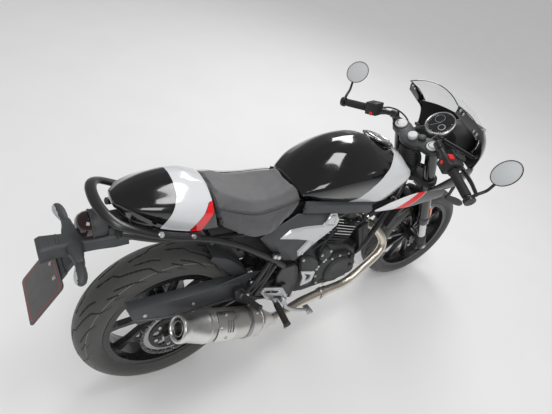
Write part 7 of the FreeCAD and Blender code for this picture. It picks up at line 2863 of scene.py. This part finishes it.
@dataclass
class Engine(Assembly):
    """The engine's fin edges, covers, bolts and small fittings."""

    foot: Point = (690.0, 0.0, 484.0)
    tilt: float = 20.0
    fins: int = 6
    fin_start: float = 56.0
    fin_pitch: float = 14.0
    fin_reach: tuple[float, float, float] = (-84.0, 110.0, 86.0)
    clutch: tuple = ((624, 400), (650, 426), (700, 424), (742, 430), (800, 422), (842, 392),
                     (868, 336), (856, 290), (820, 268), (760, 262), (690, 266), (642, 290),
                     (624, 340))
    sprocket: tuple = ((494, 512), (548, 506), (596, 462), (606, 420), (590, 335), (560, 330),
                       (528, 352), (510, 430))
    rear: tuple = ((452, 474), (490, 476), (506, 430), (508, 344), (496, 282), (470, 298),
                   (454, 376))
    alternator: tuple = ((600, 380), (640, 430), (720, 446), (800, 420), (840, 350), (810, 276),
                         (720, 244), (630, 270))

    def on_cylinder(self, along: float, ahead: float, sideways: float) -> Vector:
        """Gives a place measured on the leaning cylinder.

        Args:
            along: Up the cylinder from its foot.
            ahead: Forward of its middle.
            sideways: To the left of its middle.

        Returns:
            The place.
        """
        lean = math.radians(self.tilt)
        up = Vector((math.sin(lean), 0, math.cos(lean)))
        front = Vector((math.cos(lean), 0, -math.sin(lean)))
        return vec(self.foot) + up * along + front * ahead + Vector((0, sideways, 0))

    def fin_edges(self) -> None:
        """Adds the bright machined edge of each cooling fin."""
        rear, front, half_side = self.fin_reach
        corners = softened(((front, half_side), (rear, half_side), (rear, -half_side),
                            (front, -half_side)), 26, 6)
        shape = Shape()
        for number in range(self.fins):
            height = self.fin_start + self.fin_pitch * number
            rings = []
            for ahead, side in corners + corners[:1]:
                scale = 1 - 3.0 / math.hypot(ahead, side)
                grow = 1 + 0.9 / math.hypot(ahead, side)
                rings.append([self.on_cylinder(height - 1.4, ahead * grow, side * grow),
                              self.on_cylinder(height + 1.4, ahead * grow, side * grow),
                              self.on_cylinder(height + 1.4, ahead * scale, side * scale),
                              self.on_cylinder(height - 1.4, ahead * scale, side * scale)])
            shape.add(skin(rings, caps=False))
            up = self.on_cylinder(2, 0, 0) - self.on_cylinder(0, 0, 0)
            shape.add(slab([self.on_cylinder(height - 1, ahead, side) for ahead, side in corners],
                           up), 1)
        self.bench.piece("fin_edges", shape, [Paintbox.BRIGHT, Paintbox.FIN_BLACK], "alloy")

    def covers(self) -> None:
        """Builds the side covers, with their domes and raised ribs."""
        shape = pillow(softened(self.clutch, 16, 4), -88, -112, 5)
        shape.add(turned([(CORE, 0), (70, 0), (69, 6), (64, 10), (52, 12.5), (48, 12),
                          (CORE, 12.4)], (744, -111.5, 342), RIGHT, 56))
        shape.add(turned([(CORE, 0), (26, 0), (26, 7), (23, 10), (12, 11), (11, 9), (CORE, 9)],
                         (828, -111.5, 318), RIGHT, 36))
        shape.add(turned([(CORE, 0), (34, 0), (34, 22), (30, 29), (22, 31), (CORE, 31.5)],
                         (648, -88, 462), RIGHT, 40))
        shape.add(pillow(softened(self.sprocket, 12, 4), -124, -136, 5))
        shape.add(pillow(softened(self.rear, 9, 4), -123, -131, 4))
        shape.add(pillow(softened(self.alternator, 16, 4), 88, 114, -5))
        shape.add(turned([(CORE, 0), (72, 0), (71, 8), (66, 15), (54, 19), (CORE, 20)],
                         (720, 113.5, 345), LEFT, 56))
        for z in (300, 330, 360, 390):
            shape.add(block((712 + (z - 300) * 0.25, -112.5, z), (96, 5, 3)))
        self.bench.piece("engine_side_covers", shape, [Paintbox.CASTING], "engine_black",
                         ["engine_covers"], bevel=1.4)
        filler = turned([(CORE, 0), (13, 0), (13, 5), (16, 6), (16, 13), (13, 15), (CORE, 15)],
                        (812, -112, 398), (0.1, -1, 0.2), 12)
        self.bench.piece("oil_filler", filler, [Paintbox.MATT_BLACK], "black_plastic", bevel=0.7)

    def bolts(self) -> None:
        """Bolts the covers down."""
        places = []
        for outline, y, distance, step in ((self.clutch, -112, 6.0, 1),
                                           (self.alternator, 114, 6.0, 1),
                                           (self.sprocket, -136, 10.0, 3)):
            side = -1 if y < 0 else 1
            for x, z in inset(outline, distance)[::step]:
                places.append(((x, y - 0.5 * side, z), (0, side, 0)))
        for turn in (40, 160, 280):
            angle = math.radians(turn)
            places.append(((648 + 26 * math.cos(angle), -118, 462 + 26 * math.sin(angle)), RIGHT))
        for ahead, sideways in ((62, 62), (-62, 62), (62, -62), (-62, -62)):
            lean = math.radians(self.tilt)
            places.append((self.on_cylinder(150, ahead, sideways),
                           (math.sin(lean), 0, math.cos(lean))))
        for x, z in ((462, 462), (470, 318), (497, 300)):
            places.append(((x, -131, z), RIGHT))
        self.bench.scatter("engine_bolts", bolt_head(4.6, 4.6), places, Paintbox.BRIGHT, "steel")

    def plumbing(self) -> None:
        """Adds the radiator hoses with their clips, and the spark plug's lead."""
        hoses = Shape()
        for radius, sides, route in (
                (13, 16, ((1016, -70, 640), (985, -96, 655), (930, -100, 640), (880, -92, 610),
                          (842, -84, 580))),
                (13, 16, ((1046, 74, 505), (1010, 100, 470), (940, 104, 440), (880, 100, 400),
                          (836, 98, 372))),
                (5, 10, ((700, -78, 600), (660, -104, 590), (620, -112, 540), (604, -112, 500))),
                (4, 10, ((560, -112, 520), (600, -116, 545), (640, -112, 560), (688, -96, 572)))):
            hoses.add(tube(smooth_path(route, 8), radius, sides))
        self.bench.piece("engine_hoses", hoses, [Paintbox.RUBBER], "rubber")
        clips = Shape()
        for place, way in (((985, -96, 655), (0.95, -0.1, 0.1)),
                           ((858, -88, 592), (0.8, -0.1, 0.6)),
                           ((1010, 100, 470), (0.9, -0.2, 0.4)), ((850, 99, 382), (0.8, 0, 0.5))):
            clips.add(hoop(collar(13.2, 15.2, -4, 4), place, way, 28))
        self.bench.piece("hose_clips", clips, [Paintbox.STEEL], "steel")
        plug = turned([(CORE, 0), (11, 0), (11, 8), (8, 10), (8, 30), (12, 32), (12, 52), (9, 56),
                       (CORE, 56)], self.on_cylinder(118, 6, -82), (0.25, -0.9, 0.35), 20)
        lead = tube(smooth_path([self.on_cylinder(138, 18, -130), self.on_cylinder(170, 30, -136),
                                 self.on_cylinder(205, 20, -118), self.on_cylinder(228, -10, -92)],
                                8), 3.6, 10)
        self.bench.piece("plug_lead", plug.add(lead), [Paintbox.RUBBER], "rubber")

    def regulator(self) -> None:
        """Builds the finned voltage regulator and its bracket behind the down tube."""
        turn = Matrix.Rotation(math.radians(-24), 3, "Y")
        middle = Vector((898, -50, 474))
        shape = block(middle, (30, 74, 150), turn)
        for number in range(9):
            shape.add(block(middle + turn @ Vector((-24, -34 + number * 8.5, 0)), (26, 3, 146),
                            turn))
        shape.add(block(middle + turn @ Vector((24, 0, 30)), (24, 30, 20), turn))
        shape.add(block((890, -18, 380), (46, 96, 60), turn))
        self.bench.piece("finned_regulator", shape, [Paintbox.FIN_BLACK], "engine_black", bevel=1.0)

    def build(self) -> None:
        """Builds everything on the engine."""
        self.regulator()
        self.fin_edges()
        self.covers()
        self.bolts()
        self.plumbing()


@dataclass
class Exhaust(Assembly):
    """The header pipe, and the silencer with its shield."""

    radius: float = 20.0
    front: Point = (372.0, -184.0, 276.0)
    back: Point = (-30.0, -202.0, 457.0)
    # the shield's start and length along the can, and its first and whole turn round it in degrees
    shield_run: tuple[float, float] = (236.0, 82.0)
    shield_turn: tuple[float, float] = (-22.0, 116.0)
    route: tuple = ((799, 0, 574), (870, -12, 545), (965, -47, 486), (1014, -80, 440),
                    (1036, -99, 388), (1004, -112, 340), (912, -123, 288), (822, -127, 238),
                    (690, -129, 233), (562, -137, 234), (450, -162, 250), (372, -184, 276))

    def header(self) -> None:
        """Builds the pipe, its flange at the head and its clamps."""
        path = smooth_path(self.route, 10)
        pipe = tube(path, self.radius, 28)
        pipe.add(turned(collar(20.5, 22.6, -16, 16), (690, -129, 233), (1, 0.05, 0.03), 32))
        self.bench.piece("header_pipe", pipe, [Paintbox.HEADER], "stainless", ["exhaust_header"])
        clamp = hoop(collar(22.6, 25, -9, 9), (676, -129.5, 233), (1, 0.05, 0.03), 36)
        clamp.add(block((676, -129.5, 206), (16, 12, 12)))
        flange = turned([(20.5, 0), (33, 0), (33, 9), (24, 10), (24, 20), (20.5, 20)],
                        (799, 0, 574), (0.86, -0.12, -0.5), 36)
        self.bench.piece("header_clamps", clamp.add(flange), [Paintbox.STEEL], "stainless",
                         bevel=0.8)

    def can(self) -> None:
        """Builds the silencer: satin body, polished tail, and dark hole, whose matt black end face
        and plug are painted shade.
        """
        front, back = vec(self.front), vec(self.back)
        way = (back - front).normalized()
        body = turned([(20.2, -14), (22.4, -14), (22.4, 10), (25, 14), (38, 52), (50, 78),
                       (54.5, 88), (56, 96), (56, 338), (55, 340)], front, way, 72, 0)
        body.add(turned([(55.4, 338), (57.4, 339), (57.6, 345), (56, 349), (45.5, 414), (46.5, 417),
                         (46.5, 438), (44, 441), (36.5, 441), (35, 438), (34, 424)], front, way, 72,
                        1))
        # matt black end face in the outlet's recess: painted shade
        body.add(turned([(34, 425), (24, 425)], front, way, 48, 2))
        body.add(hoop([(21.5, 400), (25.5, 400), (25.5, 436), (24.5, 437.5), (22.5, 437.5),
                       (21.5, 436)], front, way, 48, 3))
        # matt black plug deep in the outlet pipe: painted shade in the hole
        body.add(turned(rod(22, 404, 402), front, way, 32, 2))
        body.add(hoop([(56, 94), (57.2, 95), (57.2, 103), (56, 104)], front, way, 72, 1))
        self.bench.piece("silencer_can", body,
                         [Paintbox.STEEL, Paintbox.BRIGHT, Paintbox.MATT_BLACK,
                          Paintbox.DISC_STEEL], "stainless", ["silencer"], bevel=0.7)

    def shield(self) -> None:
        """Builds the slotted heat shield that wraps round the silencer's upper side."""
        front, back = vec(self.front), vec(self.back)
        way = (back - front).normalized()
        outward = (Vector(RIGHT) - way * way.dot(Vector(RIGHT))).normalized()
        upward = way.cross(outward)
        if upward.z < 0:
            upward.negate()
        shield_start, shield_long = self.shield_run
        first_turn, whole_turn = self.shield_turn

        def spoke(across_share: float) -> Vector:
            """Gives the way out from the silencer's axis.

            Args:
                across_share: Share of the way round the shield.

            Returns:
                The way, of length one.
            """
            turn = math.radians(first_turn + whole_turn * across_share)
            return outward * math.cos(turn) + upward * math.sin(turn)

        def place(across_share: float, along_share: float, height: float) -> Vector:
            """Gives a place on the shield.

            Args:
                across_share: Share of the way round the silencer.
                along_share: Share of the way along the shield.
                height: Off its inner face, outwards.

            Returns:
                The place.
            """
            edge = math.sin(math.pi * min(max(across_share, 0.0), 1.0)) ** 0.25
            return (front + way * (shield_start + shield_long * along_share)
                    + spoke(across_share) * (57.2 + 2.6 * edge + height))

        def is_open(across_share: float, along_share: float) -> bool:
            """Says whether the shield is open there.

            Args:
                across_share: Share of the way across.
                along_share: Share of the way along.

            Returns:
                Whether there is a hole.
            """
            return 0.36 < across_share < 0.70 and any(abs(along_share - middle) < 0.035
                                                      for middle in (0.22, 0.36, 0.50))

        shape = sheet(place, 44, 42, 1.6, is_open)
        self.bench.piece("silencer_shield", shape, [Paintbox.BRIGHT], "stainless")
        bolts = []
        for across_share, along_share in ((0.2, 0.5), (0.86, 0.5), (0.5, 0.84)):
            out = spoke(across_share)
            bolts.append((front + way * (shield_start + shield_long * along_share) + out * 61, out))
        self.bench.scatter("shield_bolts", bolt_head(4.4, 3.4), bolts, Paintbox.STEEL, "steel")
        strap = hoop(collar(56.2, 58.6, 150, 168), front, way, 72)
        self.bench.piece("silencer_strap", strap, [Paintbox.DISC_STEEL], "stainless", bevel=0.5)

    def build(self) -> None:
        """Builds the whole exhaust."""
        self.header()
        self.can()
        self.shield()


@dataclass
class Feet(Assembly):
    """Heel plates, footpegs, pedals and the struts that carry them, on both sides."""

    plate: tuple = ((302, 442), (320, 456), (405, 422), (441, 362), (440, 325), (388, 350),
                    (338, 384))
    peg: tuple = ((386, -176, 349), (374, -272, 344))
    passenger_peg: tuple = ((232, -163, 446), (256, -236, 452))

    def plates(self) -> None:
        """Builds the pierced silver heel plates, and their bolts."""
        slots = [slot((330, 430), (384, 406), 5.5), slot((372, 384), (408, 366), 6.5),
                 slot((414, 352), (428, 346), 4)]
        shape = holed(softened(self.plate, 9, 4), slots, -161, -167)
        self.bench.piece("pierced_heel_plates", shape.both_sides(), [Paintbox.ALLOY], "alloy",
                         ["heel_plates"], bevel=1.2)
        places = self.bench.pairs([(314, 167, 441), (394, 167, 408), (430, 167, 366)])
        self.bench.scatter("heel_plate_bolts", bolt_head(5.2, 4.2), places, Paintbox.BRIGHT,
                           "steel")

    def pegs(self) -> None:
        """Builds the ribbed pegs with their hinges and feeler pins."""
        rubber, metal = Shape(), Shape()
        for start, end, radius, feeler in ((*self.peg, 13.0, True),
                                           (*self.passenger_peg, 12.0, True)):
            first, last = vec(start), vec(end)
            way = (last - first).normalized()
            length = (last - first).length
            profile = [(CORE, 0), (radius - 2, 0)]
            for rib in range(int(length / 8)):
                at = 4 + rib * 8.0
                profile += [(radius - 2, at), (radius, at + 1), (radius, at + 4.5),
                            (radius - 2, at + 5.5)]
            profile += [(radius - 1, length - 3), (radius + 1.5, length - 2),
                        (radius + 1.5, length + 3), (CORE, length + 4)]
            rubber.add(turned(profile, first, way, 22))
            metal.add(turned([(CORE, -22), (9, -22), (11, -16), (11, 0), (CORE, 0)], first, way,
                             20))
            if feeler:
                tip = last + Vector((0, 8, -10))
                metal.add(turned([(CORE, 0), (3.6, 0), (3.6, 14), (5, 15), (5, 22), (3, 24),
                                  (CORE, 24)], tip, (0, -0.15, -1), 14))
        self.bench.piece("ribbed_pegs", rubber.both_sides(), [Paintbox.RUBBER], "rubber",
                         ["foot_pegs"])
        self.bench.piece("peg_hinges", metal.both_sides(), [Paintbox.ALLOY], "alloy")

    def struts(self) -> None:
        """Builds the black double struts from the frame down to the passenger pegs."""
        shape = Shape()
        for inner in (0, 1):
            x = 22 * inner
            shape.add(tube([(352 + x * 0.5, -136, 590 - x), (300 + x, -150, 520 - x),
                            (236 + x, -160, 450 - x * 0.4)], 6.5, 12))
        shape.add(block((246, -158, 448), (34, 12, 22)))
        shape.add(block((356, -140, 578), (36, 14, 24)))
        shape.add(tube([(250, -158, 440), (300, -160, 405), (352, -160, 388)], 6, 12))
        self.bench.piece("peg_struts", shape.both_sides(), [Paintbox.SATIN_BLACK], "frame_black",
                         bevel=1.5)
        places = self.bench.pairs([(350, 147.5, 584), (368, 147.5, 574), (246, 164.5, 448)])
        self.bench.scatter("strut_bolts", bolt_head(6.0, 5.0), places, Paintbox.BRIGHT, "steel")

    def levers(self) -> None:
        """Builds the brake pedal on the right and the gear lever on the left."""
        for name, side in (("brake_pedal", -1), ("gear_lever", 1)):
            arm = tube(smooth_path([(416, side * 175, 356), (428, side * 179, 330),
                                    (440, side * 180, 306), (496, side * 186, 270),
                                    (548, side * 190, 250)], 6), 6.5, 14, 0, 1.35)
            arm.add(turned([(CORE, -9), (13, -9), (14, -7), (14, 7), (13, 9), (CORE, 9)],
                           (416, side * 175, 356), LEFT, 28))
            if side < 0:
                pad = block((556, side * 192, 250), (26, 44, 8))
                for rib in range(4):
                    pad.add(block((547 + rib * 6, side * 192, 255), (2.4, 40, 3)))
            else:
                pad = turned([(CORE, -20), (8.5, -20), (9, -16), (9, 16), (8.5, 20), (CORE, 20)],
                             (552, side * 200, 249), LEFT, 18)
            pad.tints = [0 if side < 0 else 1] * len(pad.faces)
            self.bench.piece(name, arm.add(pad), [Paintbox.ALLOY, Paintbox.RUBBER], "alloy",
                             ["foot_levers"] if side < 0 else [], bevel=0.9)

    def build(self) -> None:
        """Builds the foot controls."""
        self.plates()
        self.pegs()
        self.struts()
        self.levers()


ASSEMBLIES: tuple[type[Assembly], ...] = (Wheels, DriveChain, FuelTank, SeatPad, TailCowl,
                                          SidePanels, Fork, Bars, Gauge, Fairing, Tail, Engine,
                                          Exhaust, Feet)


# ---- The whole machine ----

DRESSED = {
    Paintbox.TYRE: ("rear_tyre", "front_tyre"),
    Paintbox.WHEEL_BLACK: ("rear_rim", "front_rim"),
    Paintbox.DISC_STEEL: ("front_disc", "rear_drive_discs"),
    Paintbox.SATIN_BLACK: ("main_frame", "subframe", "swingarm", "grab_rail", "fairing_stay",
                           "side_stand", "rear_shock", "handlebars", "bar_controls", "mirrors",
                           "instrument"),
    Paintbox.CASTING: ("crankcase", "engine_covers", "rear_caliper", "front_caliper", "fork_yokes"),
    Paintbox.FIN_BLACK: ("cylinder", "cylinder_head", "radiator"),
    Paintbox.CHAIN: ("drive_chain",),
    Paintbox.HEADER: ("exhaust_header",),
    Paintbox.STEEL: ("silencer",),
    Paintbox.GLOSS_BLACK: ("fuel_tank", "seat_cowl", "fairing", "fork_tubes", "front_mudguard"),
    Paintbox.ALLOY: ("filler_cap", "heel_plates", "foot_levers", "silver_accents"),
    Paintbox.VINYL: ("seat",),
    Paintbox.PLASTIC: ("airbox", "side_panels", "plate_hanger", "wheel_guards"),
    Paintbox.SMOKED: ("tail_lamp",),
    Paintbox.PLATE: ("number_plate",),
    Paintbox.LENS: ("indicators", "headlamp"),
    Paintbox.RUBBER: ("foot_pegs", "brake_hose"),
    Paintbox.CHROME: ("fork_sliders",),
    Paintbox.BLADE_WHITE: ("fairing_blades",),
    Paintbox.SCREEN: ("windscreen",),
}


def main() -> None:
    """Builds the studio and every sub-assembly."""
    logging.basicConfig(level=logging.INFO, format="%(message)s")
    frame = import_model()
    stance = Stance.from_joints(frame["joints"])
    bench = Bench(frame, stance)
    Studio(stance).build()
    for finish, nodes in DRESSED.items():
        for node in nodes:
            bench.dress(node, finish)
    for assembly in ASSEMBLIES:
        assembly(bench).build()
    LOG.info("%d pieces made", bench.made)


if __name__ == "__main__":
    main()
